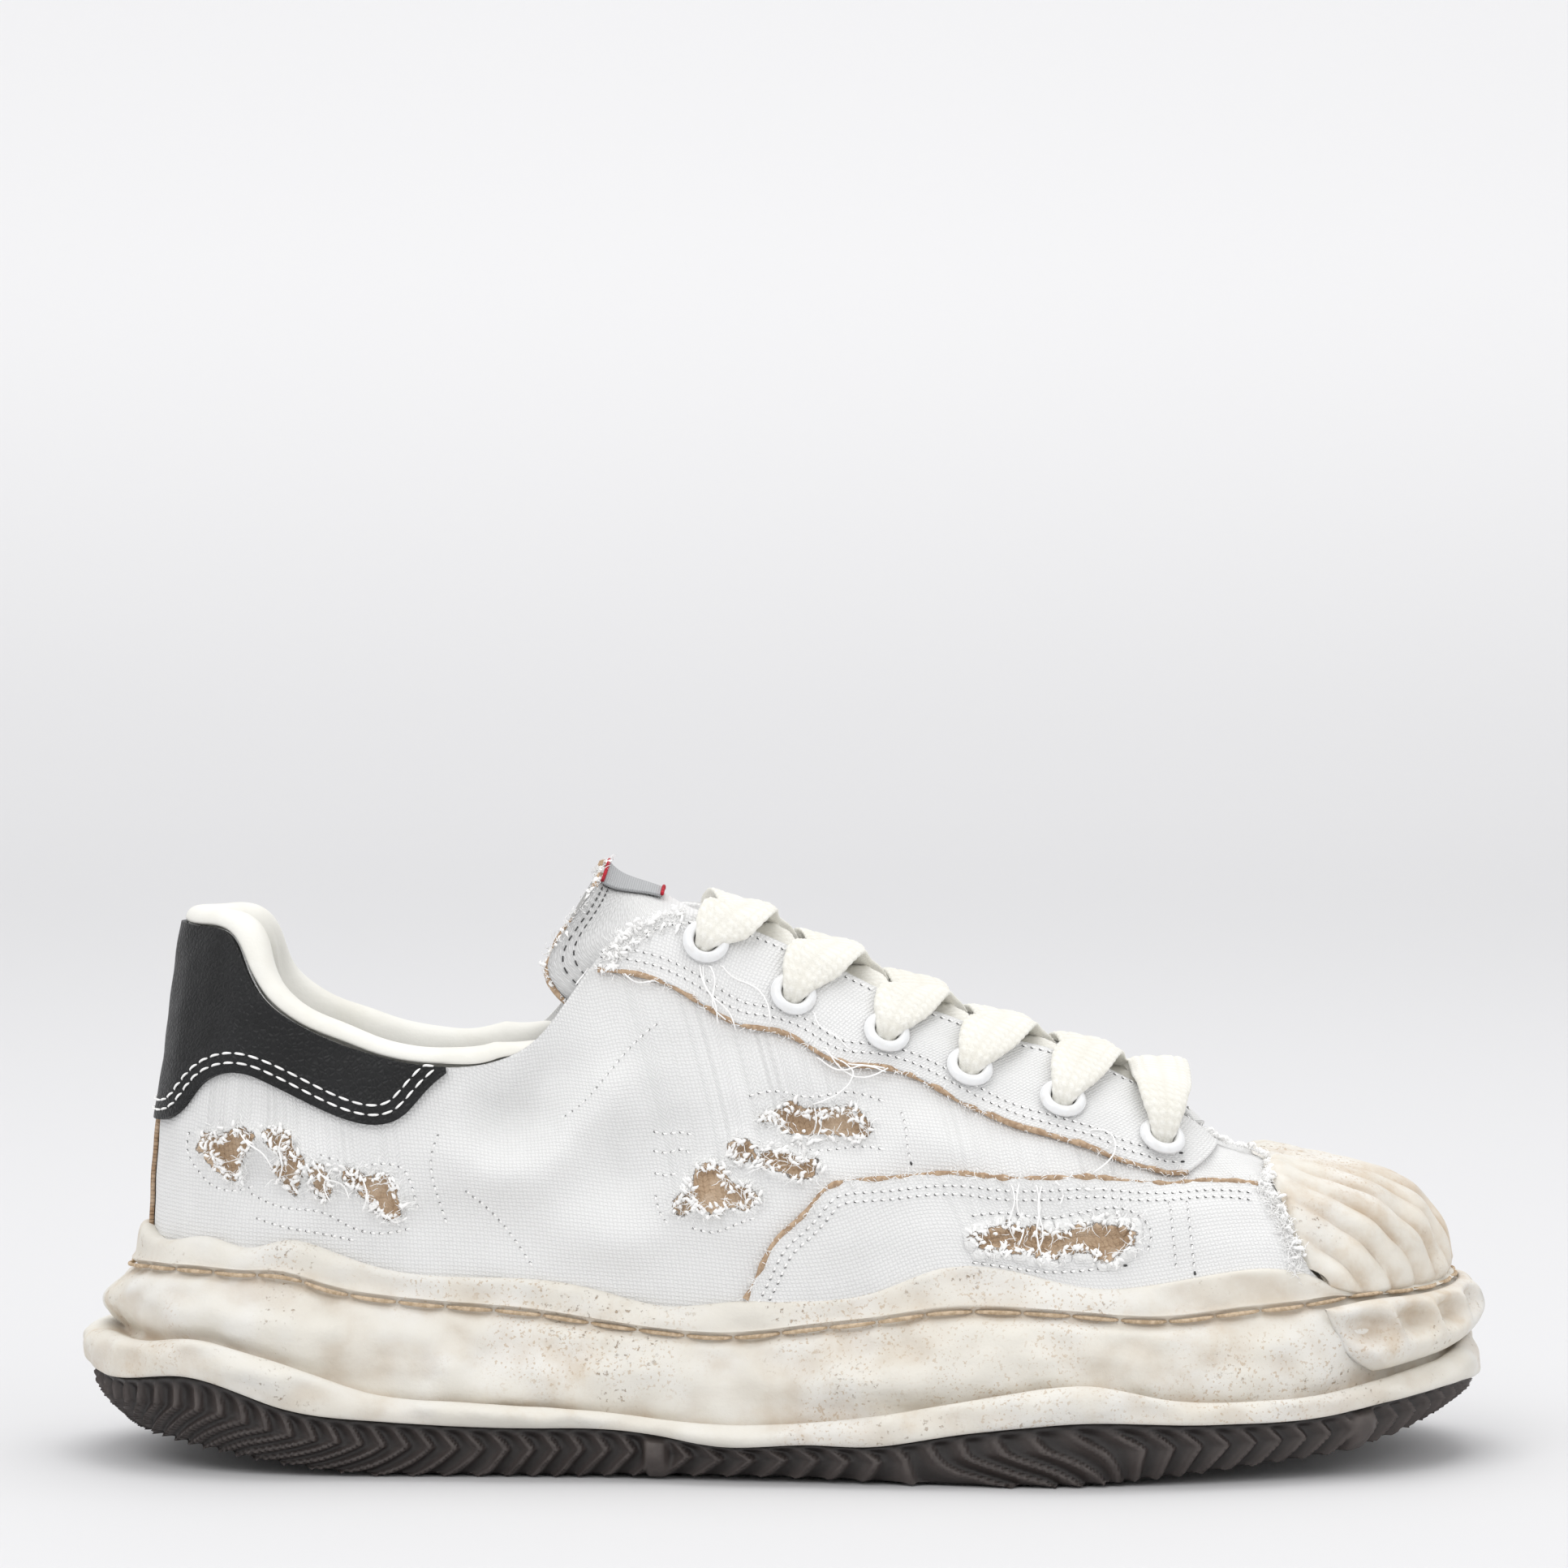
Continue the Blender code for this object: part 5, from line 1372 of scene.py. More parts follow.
def lining_look():
    """Smooth off-white coated lining with a faint grain."""
    made, bench, shader = new_look("lining")
    place = bench.place()
    tone = bench.range(bench.noise(place, 60.0, 3.0), 0.4, 0.7)
    bench.link(bench.mix(tone, colours().lining, (0.78, 0.765, 0.70)), shader.inputs["Base Color"])
    set_bump(bench, shader, bench.noise(place, 900.0, 2.0), 0.00008)
    set_values(shader, Roughness=0.55, Specular_IOR_Level=0.35)
    return made


def leather_look():
    """Black grained leather: small cells between fine creases, brighter on worn high places."""
    made, bench, shader = new_look("black_leather")
    place = bench.place()
    cells = bench.add("ShaderNodeTexVoronoi", feature="DISTANCE_TO_EDGE")
    bench.link(bench.stretch(place, (1.0, 1.0, 0.8)), cells.inputs["Vector"])
    cells.inputs["Scale"].default_value = 900.0
    pebble = bench.range(cells.outputs["Distance"], 0.0, 0.28)
    crumple = bench.noise(place, 320.0, 5.0, 0.65)
    grain = bench.plus(bench.times(pebble, 0.6), crumple)
    tone = bench.range(bench.noise(place, 70.0, 3.0), 0.35, 0.75)
    bench.link(bench.mix(tone, colours().leather, (0.012, 0.0125, 0.0135)), shader.inputs["Base Color"])
    bench.link(bench.range(grain, 0.5, 1.3, 0.46, 0.34), shader.inputs["Roughness"])
    set_bump(bench, shader, grain, 0.00022)
    set_values(shader, Specular_IOR_Level=0.32)
    return made


def rubber_look(name="cream_rubber", amount=0.5, valley=0.8):
    """Matte off-white rubber, beige with dirt and painted shade in its hollows and beige in uneven blotches,
    with drifts of brown specks.
    """
    made, bench, shader = new_look(name)
    paint = colours()
    place = bench.place()
    blotch = use_group(bench, blotch_group(), Vector=place, Wide=34.0, Fine=210.0, Amount=amount)["Mask"]
    specks = use_group(bench, speckle_group(), Vector=place, Fine=850.0, Drift=42.0)["Mask"]
    hollow = attribute_of(bench, "hollow")
    uneven = bench.range(bench.noise(place, 120.0, 4.0), 0.35, 0.65, 0.25, 1.0)
    # The hollow attribute and valley darken the hollows to beige: dirt and painted shade together.
    hollow_dirt_and_shade = bench.times(bench.times(hollow, valley), uneven, clamp=True)
    pale = bench.mix(bench.range(bench.noise(place, 55.0, 4.0), 0.4, 0.7), paint.rubber, (0.79, 0.775, 0.735))
    stain_and_shade = bench.mix(bench.times(blotch, 0.55), pale, paint.stain)
    # Beige in the hollows: dirt and painted shade.
    stain_and_shade = bench.mix(bench.times(hollow_dirt_and_shade, 0.75), stain_and_shade, (0.47, 0.34, 0.21))
    dots = bench.range(bench.noise(place, 1300.0, 2.0), 0.57, 0.66)
    dots = bench.times(dots, bench.range(bench.noise(place, 28.0, 3.0), 0.47, 0.60))
    stain_and_shade = bench.mix(bench.times(dots, 0.6), stain_and_shade, (0.50, 0.37, 0.24))
    bench.link(bench.mix(bench.times(specks, 0.75), stain_and_shade, (0.36, 0.24, 0.14)),
               shader.inputs["Base Color"])
    fine = bench.noise(place, 420.0, 4.0, 0.6)
    pores = bench.times(specks, -0.8)
    melted = bench.times(bench.noise(bench.stretch(place, (0.7, 0.7, 1.3)), 62.0, 1.5, 0.4), 22.0)
    set_bump(bench, shader, bench.plus(bench.plus(fine, pores), melted), 0.00022)
    bench.link(bench.range(fine, 0.3, 0.7, 0.5, 0.68), shader.inputs["Roughness"])
    set_values(shader, Specular_IOR_Level=0.35)
    return made


def tread_look():
    """Dark brown satin rubber, paler on the ribs' crests and darker in their valleys with painted shade."""
    made, bench, shader = new_look("dark_rubber")
    place = bench.place()
    crest = bench.range(attribute_of(bench, "crest"), 0.45, 0.95)
    uneven = bench.range(bench.noise(place, 160.0, 4.0), 0.35, 0.65, 0.35, 1.0)
    # Paler on the ribs' crests, unevenly.
    paler_crests = bench.times(bench.times(crest, uneven), 0.42)
    # Darker in the valleys between the ribs: painted shade.
    base = bench.mix(bench.range(attribute_of(bench, "crest"), 0.0, 0.4), (0.024, 0.020, 0.019),
                     colours().tread)
    bench.link(bench.mix(paler_crests, base, (0.15, 0.125, 0.115)), shader.inputs["Base Color"])
    fine = bench.noise(place, 500.0, 4.0)
    bench.link(bench.range(fine, 0.3, 0.7, 0.38, 0.52), shader.inputs["Roughness"])
    set_bump(bench, shader, fine, 0.0001)
    return made


def enamel_look():
    """Glossy white enamel on the eyelets."""
    made, bench, shader = new_look("white_enamel")
    place = bench.place()
    tone = bench.range(bench.noise(place, 400.0, 3.0), 0.45, 0.75)
    bench.link(bench.mix(tone, colours().enamel, (0.80, 0.80, 0.79)), shader.inputs["Base Color"])
    bench.link(bench.range(bench.noise(place, 700.0), 0.3, 0.7, 0.14, 0.24), shader.inputs["Roughness"])
    set_values(shader, Coat_Weight=0.6, Coat_Roughness=0.1)
    return made


def lace_look():
    """Cream cotton knit: paler high loops, greyer between them with painted shade in the knit's hollows."""
    made, bench, shader = new_look("lace_cotton")
    place = bench.place()
    hollow = attribute_of(bench, "hollow")
    fuzz = bench.noise(place, 1400.0, 3.0, 0.7)
    tone = bench.mix(bench.range(bench.noise(place, 80.0), 0.4, 0.7), colours().lace, (0.89, 0.875, 0.81))
    # Greyer in the knit's hollows: painted shade.
    bench.link(bench.mix(bench.times(hollow, 0.4), tone, (0.62, 0.59, 0.50)),
               shader.inputs["Base Color"])
    set_bump(bench, shader, fuzz, 0.0003)
    set_values(shader, Roughness=0.95, Specular_IOR_Level=0.2, Sheen_Weight=0.2)
    return made


def thread_look(name, colour, dark):
    """Twisted cotton thread of one colour, uneven along its length."""
    made, bench, shader = new_look(name)
    place = bench.place()
    tone = bench.range(bench.noise(place, 900.0, 3.0), 0.35, 0.65)
    bench.link(bench.mix(tone, dark, colour), shader.inputs["Base Color"])
    set_bump(bench, shader, bench.noise(place, 2600.0, 2.0), 0.0002)
    set_values(shader, Roughness=0.9, Specular_IOR_Level=0.2)
    return made


def fluff_look():
    """Loose white cotton: matte, with a faint painted glow that lifts its shade, standing for the light that
    thin fibres pass on.
    """
    made, bench, shader = new_look("fluff")
    tone = bench.range(bench.noise(bench.place(), 300.0, 3.0), 0.35, 0.65)
    bench.link(bench.mix(tone, (0.87, 0.865, 0.855), (0.95, 0.95, 0.945)), shader.inputs["Base Color"])
    # Emission: painted light that brightens the fibres.
    set_values(shader, Emission_Color=(1.0, 0.99, 0.98, 1), Emission_Strength=0.11)
    set_values(shader, Roughness=1.0, Specular_IOR_Level=0.0)
    return made


def label_look():
    """Grey-white woven tape, darker between its threads with painted shade."""
    made, bench, shader = new_look("label_cloth")
    weave = use_group(bench, weave_group(), Vector=uv_of(bench), Pitch=0.5)["Height"]
    # Darker in the weave's low places: painted shade between the threads.
    tone = bench.range(weave, 0.1, 0.9)
    bench.link(bench.mix(tone, (0.32, 0.33, 0.34), colours().label), shader.inputs["Base Color"])
    set_bump(bench, shader, weave, 0.00015)
    set_values(shader, Roughness=0.75)
    return made


LOOKS = {}


def look(name):
    """The material of this name, made the first time it is asked for."""
    makers = {
        "canvas": canvas_look,
        "raw": raw_look,
        "lining": lining_look,
        "leather": leather_look,
        "rubber": rubber_look,
        # The toe rubber's hollows darken in full: dirt and painted shade.
        "cap_rubber": lambda: rubber_look("beige_rubber", 0.62, 1.0),
        "tread": tread_look,
        "enamel": enamel_look,
        "lace": lace_look,
        "label": label_look,
        "tan_thread": lambda: thread_look(name, colours().thread, (0.46, 0.34, 0.22)),
        "tan_cloth": lambda: thread_look(name, (0.56, 0.41, 0.28), (0.38, 0.26, 0.17)),
        "fluff": fluff_look,
        "red_thread": lambda: thread_look(name, (0.55, 0.03, 0.05), (0.32, 0.02, 0.03)),
        # Near-black: painted shade inside needle holes.
        "hole_shade": lambda: thread_look(name, (0.10, 0.10, 0.10), (0.05, 0.05, 0.05)),
    }
    if name not in LOOKS:
        LOOKS[name] = makers[name]()
    return LOOKS[name]


# Sole

def sole_lines(rows):
    """Heights and reaches of the sole's wavy lines at these rows, by name."""
    along = along_of(rows)
    heights = dict(zip(("rand", "groove", "brim", "lip"), (SOLE_HEIGHT * line_curve(along)).T))
    reaches = dict(zip(("rand", "groove", "belly", "crease", "lip"), (SOLE_REACH * reach_curve(along)).T))
    seam = np.minimum(STITCH_GROOVE, 0.45 * (heights["rand"] - heights["groove"]))
    heights["seam"] = heights["groove"] + seam
    reaches["wall"] = np.zeros(len(rows))
    reaches["inset"] = reaches["lip"] - LIP_INSET
    return heights, reaches


def cupsole_points(rows):
    """Grid of the cupsole's side: its section's points by row, joined by a smooth curve down the side."""
    heights, reaches = sole_lines(rows)
    levels = []
    for near, far, blend, outward, upper, lower, fall, upward in CUPSOLE_SIDE:
        reach = reaches[near] + (reaches[far] - reaches[near]) * blend + outward * STITCH_GROOVE
        height = heights[upper] + (heights[lower] - heights[upper]) * fall + upward * STITCH_GROOVE
        levels.append(sole_point(rows, reach, height))
    levels = np.stack(levels)
    count = len(levels)
    fine = np.linspace(0, count - 1, SECTION_STEPS * (count - 1) + 1)
    return np.moveaxis(open_spline(np.arange(count), levels)(fine), 0, 1), fine


def cupsole_dents(points, level):
    """How far the rubber's side swells or sinks: slow lumps, longer ones along the band and small ones."""
    flat = points * (0.55, 0.55, 1.6)
    lumps = 0.00130 * ripple(flat, 0.022, 11) + 0.00045 * ripple(points, 0.009, 12)
    band = np.exp(-(((level - 10.0) / 3.2) ** 2))
    lip = np.exp(-(((level - 16.0) / 1.6) ** 2))
    rand = np.exp(-(((level - 3.0) / 1.6) ** 2))
    return lumps * (band + 0.9 * lip + 0.6 * rand)


class SNEAKER_OT_cupsole(bpy.types.Operator):
    """Builds the off-white rubber cupsole"""

    bl_idname = "sneaker.cupsole"
    bl_label = "Cupsole"

    def execute(self, context):
        rows = np.arange(CUPSOLE_ROWS) * LOOP_ROWS / CUPSOLE_ROWS
        points, level = cupsole_points(rows)
        level = np.broadcast_to(level, points.shape[:2])
        dents = cupsole_dents(points, level)
        points = points + outline_normal(rows)[:, None] * dents[..., None]
        # hollow: where the rubber darkens with dirt and painted shade, in the stitch groove, in the crease,
        # under the rand's overhang and in sunk dents.
        groove = np.exp(-(((level - 6.2) / 0.8) ** 2))
        crease = np.exp(-(((level - 12.9) / 0.9) ** 2))
        under = np.exp(-(((level - 4.6) / 0.9) ** 2))
        sunk = np.clip(-dents / 0.0008, 0, 1)
        hollow = np.clip(0.75 * groove + 0.9 * crease + 0.35 * under + 0.45 * sunk, 0, 1)
        bed = FOOT_LOOP(rows)
        bed = np.stack((bed - PIECE_GAP * UP, points[:, 0] * (1, 1, 0) + bed * (0, 0, 1)), 1)
        points = np.concatenate((bed[:, :1], points), 1)
        hollow = np.concatenate((np.zeros((len(rows), 1)), hollow), 1)
        caps = rim_caps(*points.shape[:2])
        made = surface("cupsole", points, around=True, extra=caps, values={"hollow": hollow}, flip=True)
        wear(made, look("rubber"), ("midsole",))
        return {"FINISHED"}


def rib_height(phase):
    """Height of a leaf-like rib across its pitch: a slow rise, a rounded crest and a quick fall."""
    part = np.mod(phase, 1.0)
    rise = np.clip(part / 0.80, 0, 1) ** 2.2
    fall = np.clip((1 - part) / 0.20, 0, 1) ** 1.3
    return np.where(part < 0.80, rise, fall)


class SNEAKER_OT_tread(bpy.types.Operator):
    """Builds the dark tread with its swept ribs"""

    bl_idname = "sneaker.tread"
    bl_label = "Tread"

    def execute(self, context):
        ribs = sizes().tread_ribs
        count = ribs * TREAD_POINTS
        rows = np.arange(count) * LOOP_ROWS / count
        along = along_of(rows)
        heights, reaches = sole_lines(rows)
        top = sole_point(rows, reaches["inset"], heights["lip"] - PIECE_GAP)
        out = outline_normal(rows)
        lift, draw = (np.interp(along, *np.array(GROUND_ROWS)[:, (0, i)].T) for i in (1, 2))
        bulge, drift = (np.interp(along, *np.array(RIB_ROWS)[:, (0, i)].T) for i in (1, 2))
        plain = np.zeros(count)
        for bar in PLAIN_BARS:
            plain = np.maximum(plain, np.exp(-(((along - bar) / PLAIN_BAR_HALF) ** 6)))
        share = np.linspace(0, 1, TREAD_LEVELS)[None, :]
        peak = np.minimum(share / RIB_PEAK, (1 - share) / (1 - RIB_PEAK))
        lean = bulge[:, None] * peak**0.85 + drift[:, None] * share**1.15
        from_heel = np.where(rows > TOE_ROW, LOOP_ROWS - rows, rows)[:, None] / LOOP_ROWS * ribs
        wave = rib_height(from_heel - lean)
        wave = wave * (1 - plain[:, None]) + plain[:, None]
        fade = np.clip((share - 0.05) * 8, 0, 1)
        tooth = sizes().tread_tooth * ((wave - 0.75) * fade)
        tooth = tooth + 0.0008 * np.sin(math.pi * share) * plain[:, None]
        stand = tooth + 0.0009 * np.sin(math.pi * share) - draw[:, None] * (SOLE_REACH - LIP_INSET) * share**2
        points = np.repeat(top[:, None], TREAD_LEVELS, 1) + out[:, None] * stand[..., None]
        points[..., 2] = (1 - share) * top[:, 2:] + share * lift[:, None] * GROUND_CURL
        points[:, -1, 2] += 0.0012 * (1 - wave[:, -1])
        points[..., 2] = np.maximum(points[..., 2], 0.0001)
        crest = wave * fade
        inner_edge = points[:, -1] - out * 0.0045
        inner_edge[:, 2] = lift * GROUND_CURL
        near = np.minimum(np.arange(count), count - np.arange(count)) / TREAD_POINTS * 2
        valley = (np.mod(near, GROOVE_EVERY * 2) > GROOVE_EVERY * 1.5) & (along > 0.05) & (along < 0.95)
        inner_edge[:, 2] += np.where(valley, CROSS_GROOVE, 0)
        top_edge = points[:, 0] - out * 0.004
        points = np.concatenate((top_edge[:, None], points, inner_edge[:, None]), 1)
        crest = np.pad(crest, ((0, 0), (1, 1)), mode="edge")
        caps = rim_caps(*points.shape[:2])
        made = surface("tread", points, around=True, extra=caps, values={"crest": crest}, flip=True)
        wear(made, look("tread"), ("outsole",))
        return {"FINISHED"}


class SNEAKER_OT_insole(bpy.types.Operator):
    """Builds the soft insole on the footbed"""

    bl_idname = "sneaker.insole"
    bl_label = "Insole"

    def execute(self, context):
        rows = np.arange(INSOLE_ROWS) * LOOP_ROWS / INSOLE_ROWS
        edge = FOOT_LOOP(rows) - outline_normal(rows) * (sizes().canvas_wall + 0.0006)
        bed = footbed_height(along_of(rows))
        rings = []
        for inward, height in INSOLE_SECTION:
            ring = edge - outline_normal(rows) * inward
            ring[:, 2] = bed + height
            rings.append(ring)
        points = np.stack(rings, 1)
        caps = rim_caps(*points.shape[:2], flip=True)
        made = surface("padded_insole", points, around=True, extra=caps)
        wear(made, look("lining"), ("insole",))
        return {"FINISHED"}


# Upper

def frayed(points, normals, depth):
    """Cloth round the rips: swollen and lumpy at the rim, sunk inside."""
    rim = np.exp(-(((depth + 0.9) / 1.1) ** 2))
    lumps = 0.55 + 0.45 * ripple(points, 0.0022, 71)
    sunk = np.clip((depth - 0.1) / 0.9, 0, 1)
    return points + normals * (0.0014 * rim * lumps - 0.0008 * sunk)[..., None]


class SNEAKER_OT_upper(bpy.types.Operator):
    """Builds the canvas shell with its creases and rips"""

    bl_idname = "sneaker.upper"
    bl_label = "Canvas upper"

    def execute(self, context):
        outer = np.linspace(0, TOE_ROW, UPPER_OUTER_STEPS, endpoint=False)
        inner = np.linspace(TOE_ROW, LOOP_ROWS, UPPER_INNER_STEPS, endpoint=False)
        rows = np.concatenate((outer, inner))[:, None]
        rises = np.linspace(0, 1, UPPER_RISES)[None, :]
        outside = skin(rows, rises)
        depth = rip_depth(outside)
        outside = frayed(outside, wall_normal(rows, rises), depth)
        back = np.linspace(1, 0, UPPER_INSIDE_RISES)[None, :]
        inside = skin(rows, back, -sizes().canvas_wall)
        points = np.concatenate((outside, inside), 1)
        rip = np.concatenate((depth, np.full(inside.shape[:2], NO_RIP)), 1)
        made = surface("canvas_upper", points, around=True, tube=True, values={"rip": rip}, flip=True)
        wear(made, look("canvas"), ("upper",))
        return {"FINISHED"}


def overlay_grid(low, high, steps, lift):
    """Grid between two edges given as rows and rises, lying on the creased canvas at a lift."""
    share = np.linspace(0, 1, steps)[None, :, None]
    places = low[:, None, :] * (1 - share) + high[:, None, :] * share
    points = skin(places[..., 0], places[..., 1], lift)
    if low[0, 0] > low[-1, 0]:
        points = points[::-1]
        places = places[::-1]
    return points, places


def counter_edges(count):
    """Lower and upper edges of the heel counter as rows and rises."""
    centre = (0.0, float(rise_at_height(0.0, COUNTER_HEEL_HEIGHT * COLLAR_HEIGHT)))
    outer = edge_on_side(COUNTER_EDGE, False, COLLAR_HEIGHT)
    inner = edge_on_side(COUNTER_EDGE, True, COLLAR_HEIGHT)
    low = smooth_edge(np.concatenate((inner[::-1], [centre], outer)), count)
    even = np.linspace(low[0, 0], low[-1, 0], count)
    rows = low[:, 0] + (even - low[:, 0]) * COUNTER_TOP_SPREAD
    return low, np.column_stack((rows, np.full(count, COUNTER_TOP_RISE)))


class SNEAKER_OT_counter(bpy.types.Operator):
    """Builds the black leather heel counter and the raw strip under it"""

    bl_idname = "sneaker.counter"
    bl_label = "Heel counter"

    def execute(self, context):
        low, high = counter_edges(COUNTER_SAMPLES)
        high[:, 1] = COUNTER_RIM_RISE
        points, _ = overlay_grid(low, high, 26, 0.0003)
        made = thicken(surface("leather_counter", points), sizes().leather)
        round_edges(made, 0.0005)
        wear(made, look("leather"), ("heel_counter",))
        near = np.linspace(0, 1, 60)
        reach = np.interp(HEEL_STRIP_HALF, -on_wall(near, 0.3)[:, 1], near)
        rows = np.linspace(-reach, reach, 12)
        low = rise_at_height(rows, rand_height(np.zeros(len(rows))) - 0.002)
        high = rise_at_height(rows, np.full(len(rows), HEEL_STRIP_TOP * COLLAR_HEIGHT))
        points, _ = overlay_grid(*(np.column_stack((rows, rises)) for rises in (low, high)), 26, 0.0002)
        made = thicken(surface("raw_heel_strip", points), sizes().overlay_cloth)
        wear(made, look("raw"), ("heel_strip",))
        return {"FINISHED"}


def round_edges(piece, width):
    """Softens a solidified piece's rim with a small bevel."""
    bevel = piece.modifiers.new("soft edge", "BEVEL")
    bevel.width = width
    bevel.segments = 2
    bevel.limit_method = "ANGLE"
    bevel.angle_limit = math.radians(50)


def eyestay_edges(inner, count):
    low = smooth_edge(edge_on_side(EYESTAY_EDGE, inner), count)
    sign = -1 if inner else 1
    rows = sign * np.linspace(*EYESTAY_ROWS, count)
    return low, np.column_stack((rows, np.full(count, EYESTAY_TOP_RISE)))


def mudguard_edges(inner, count):
    high = smooth_edge(edge_on_side(MUDGUARD_EDGE, inner), count)
    front_x = HEEL_BACK + MUDGUARD_FRONT * UPPER_LENGTH
    front = find_places(front_x, rand_height(MUDGUARD_FRONT), inner)[0, 0]
    rows = np.linspace(high[0, 0] + (0.05 if inner else -0.05), front, count)
    low = np.column_stack((rows, rise_at_height(rows, rand_height(along_of(rows)) - 0.002)))
    high[:, 1] = np.maximum(high[:, 1], low[:, 1] + 0.01)
    return low, high


class SNEAKER_OT_overlays(bpy.types.Operator):
    """Builds the facings and the forefoot side panels"""

    bl_idname = "sneaker.overlays"
    bl_label = "Overlays"

    def execute(self, context):
        for side in ("outer", "inner"):
            inner = side == "inner"
            for name, edges, steps in (("eyestay", eyestay_edges, 26), ("mudguard", mudguard_edges, 44)):
                low, high = edges(inner, OVERLAY_SAMPLES)
                points, places = overlay_grid(low, high, steps, 0.0002)
                rip = rip_depth(points)
                points = frayed(points, wall_normal(places[..., 0], places[..., 1]), rip)
                made = surface(f"{name}_{side}_cloth", points, values={"rip": rip})
                thicken(made, sizes().overlay_cloth)
                wear(made, look("canvas"), (f"{name}_{side}",))
        return {"FINISHED"}


def cap_edges(count):
    """Base and back edges of the toe cap, from its outer end round the toe to its inner end."""
    outer = edge_on_side(CAP_EDGE)
    inner = edge_on_side(CAP_EDGE, inner=True)
    inner[:, 0] += LOOP_ROWS
    back = smooth_edge(np.concatenate((outer[::-1], [(TOE_ROW, CAP_TOP_RISE)], inner)), count)
    rows = np.linspace(outer[-1, 0] + CAP_BASE_ROW, inner[-1, 0] - CAP_BASE_ROW, count)
    base = np.column_stack((rows, rise_at_height(rows, rand_height(along_of(rows)) - 0.001)))
    return base, back


def closed_shell(name, inside, outside, values):
    """A closed piece whose section is a loop: out along the inside grid and back along the outside."""
    loop = np.concatenate((inside, outside[:, ::-1]), 1)
    numbers = {key: np.concatenate((value, value[:, ::-1]), 1) for key, value in values.items()}
    caps = [face[::-1] for face in end_caps(*loop.shape[:2])]
    return surface(name, loop, tube=True, extra=caps, values=numbers, flip=True)


class SNEAKER_OT_toe(bpy.types.Operator):
    """Builds the ribbed rubber toe cap and the scalloped bumper"""

    bl_idname = "sneaker.toe"
    bl_label = "Toe cap and bumper"

    def execute(self, context):
        count = CAP_LOBES * LOBE_SAMPLES + 1
        base, back = cap_edges(count)
        share = np.linspace(0, 1, CAP_STEPS)[None, :]
        sweep = np.stack((share**CAP_SWEEP, share), -1)
        places = base[:, None, :] * (1 - sweep) + back[:, None, :] * sweep
        turn = np.linspace(0, 1, count)[:, None] + 0.006 * np.sin(math.pi * share)
        wave = np.abs(np.sin(math.pi * CAP_LOBES * turn)) ** 0.62
        fade = np.clip(np.sin(math.pi * (0.22 + 0.77 * share)), 0, 1) ** 0.6
        rim = np.clip(np.minimum(share, 1 - share) * 22, 0, 1) ** 0.5
        base_points = on_wall(places[..., 0], places[..., 1])
        lumps = 0.0004 * ripple(base_points, 0.014, 21)
        height = (sizes().cap_shell + sizes().cap_lobe * wave * fade + lumps) * rim
        out = wall_normal(places[..., 0], places[..., 1])
        inside = base_points + out * 0.0002
        outside = inside + out * height[..., None]
        # hollow: dirt and painted shade in the valleys between the lobes and toward the cap's base.
        hollow = np.clip((1 - wave) * 1.1 * fade + 0.25 * (1 - share), 0, 1)
        made = closed_shell("ribbed_toe_cap", inside, outside, {"hollow": hollow})
        wear(made, look("cap_rubber"), ("toe_cap",))
        self.bumper()
        return {"FINISHED"}

    def bumper(self):
        """Strip round the toe: its face swells between rolled edges and is scooped by a row of scallops."""
        count = BUMPER_SAMPLES
        falls = np.linspace(0.0, BUMPER_FALL, 26)
        turn = np.linspace(0, 1, count)
        wave = np.abs(np.sin(math.pi * BUMPER_SCALLOPS * turn)) ** 0.7
        inside = []
        outside = []
        hollow = []
        for fall in falls:
            low = fall / BUMPER_FALL
            end = BUMPER_START + fall * BUMPER_SLOPE + BUMPER_CORNER * max(low - 0.55, 0) ** 2
            first = np.interp(end, np.array(FOOT_ROWS)[:, 0], np.arange(len(FOOT_ROWS)))
            rows = np.linspace(first, LOOP_ROWS - first, count)
            heights, reaches = sole_lines(rows)
            under = np.maximum(reaches["groove"], reaches["belly"]) + 0.0002
            swell = math.sin(math.pi * low) ** 0.40 if 0 < low < 1 else 0.0
            scoop = math.exp(-(((fall - 0.30) / 0.17) ** 2))
            ends = np.clip(np.minimum(turn, 1 - turn) * 30, 0, 1) ** 0.5
            face = under + np.maximum(0.0058 * swell - 0.0060 * scoop * wave, 0.0004) * ends + 0.0002
            height = heights["groove"] - 0.0004 - fall * (heights["groove"] - heights["brim"])
            inside.append(sole_point(rows, under, height))
            outside.append(sole_point(rows, face, height))
            # hollow: dirt and painted shade in the scallops and along the bumper's rolled edges.
            hollow.append(scoop * wave * 0.8 + 0.5 * (1 - swell))
        inside, outside = (np.stack(layer, 1) for layer in (inside, outside))
        made = closed_shell("scalloped_bumper", inside, outside, {"hollow": np.stack(hollow, 1)})
        wear(made, look("cap_rubber"), ("toe_bumper",))


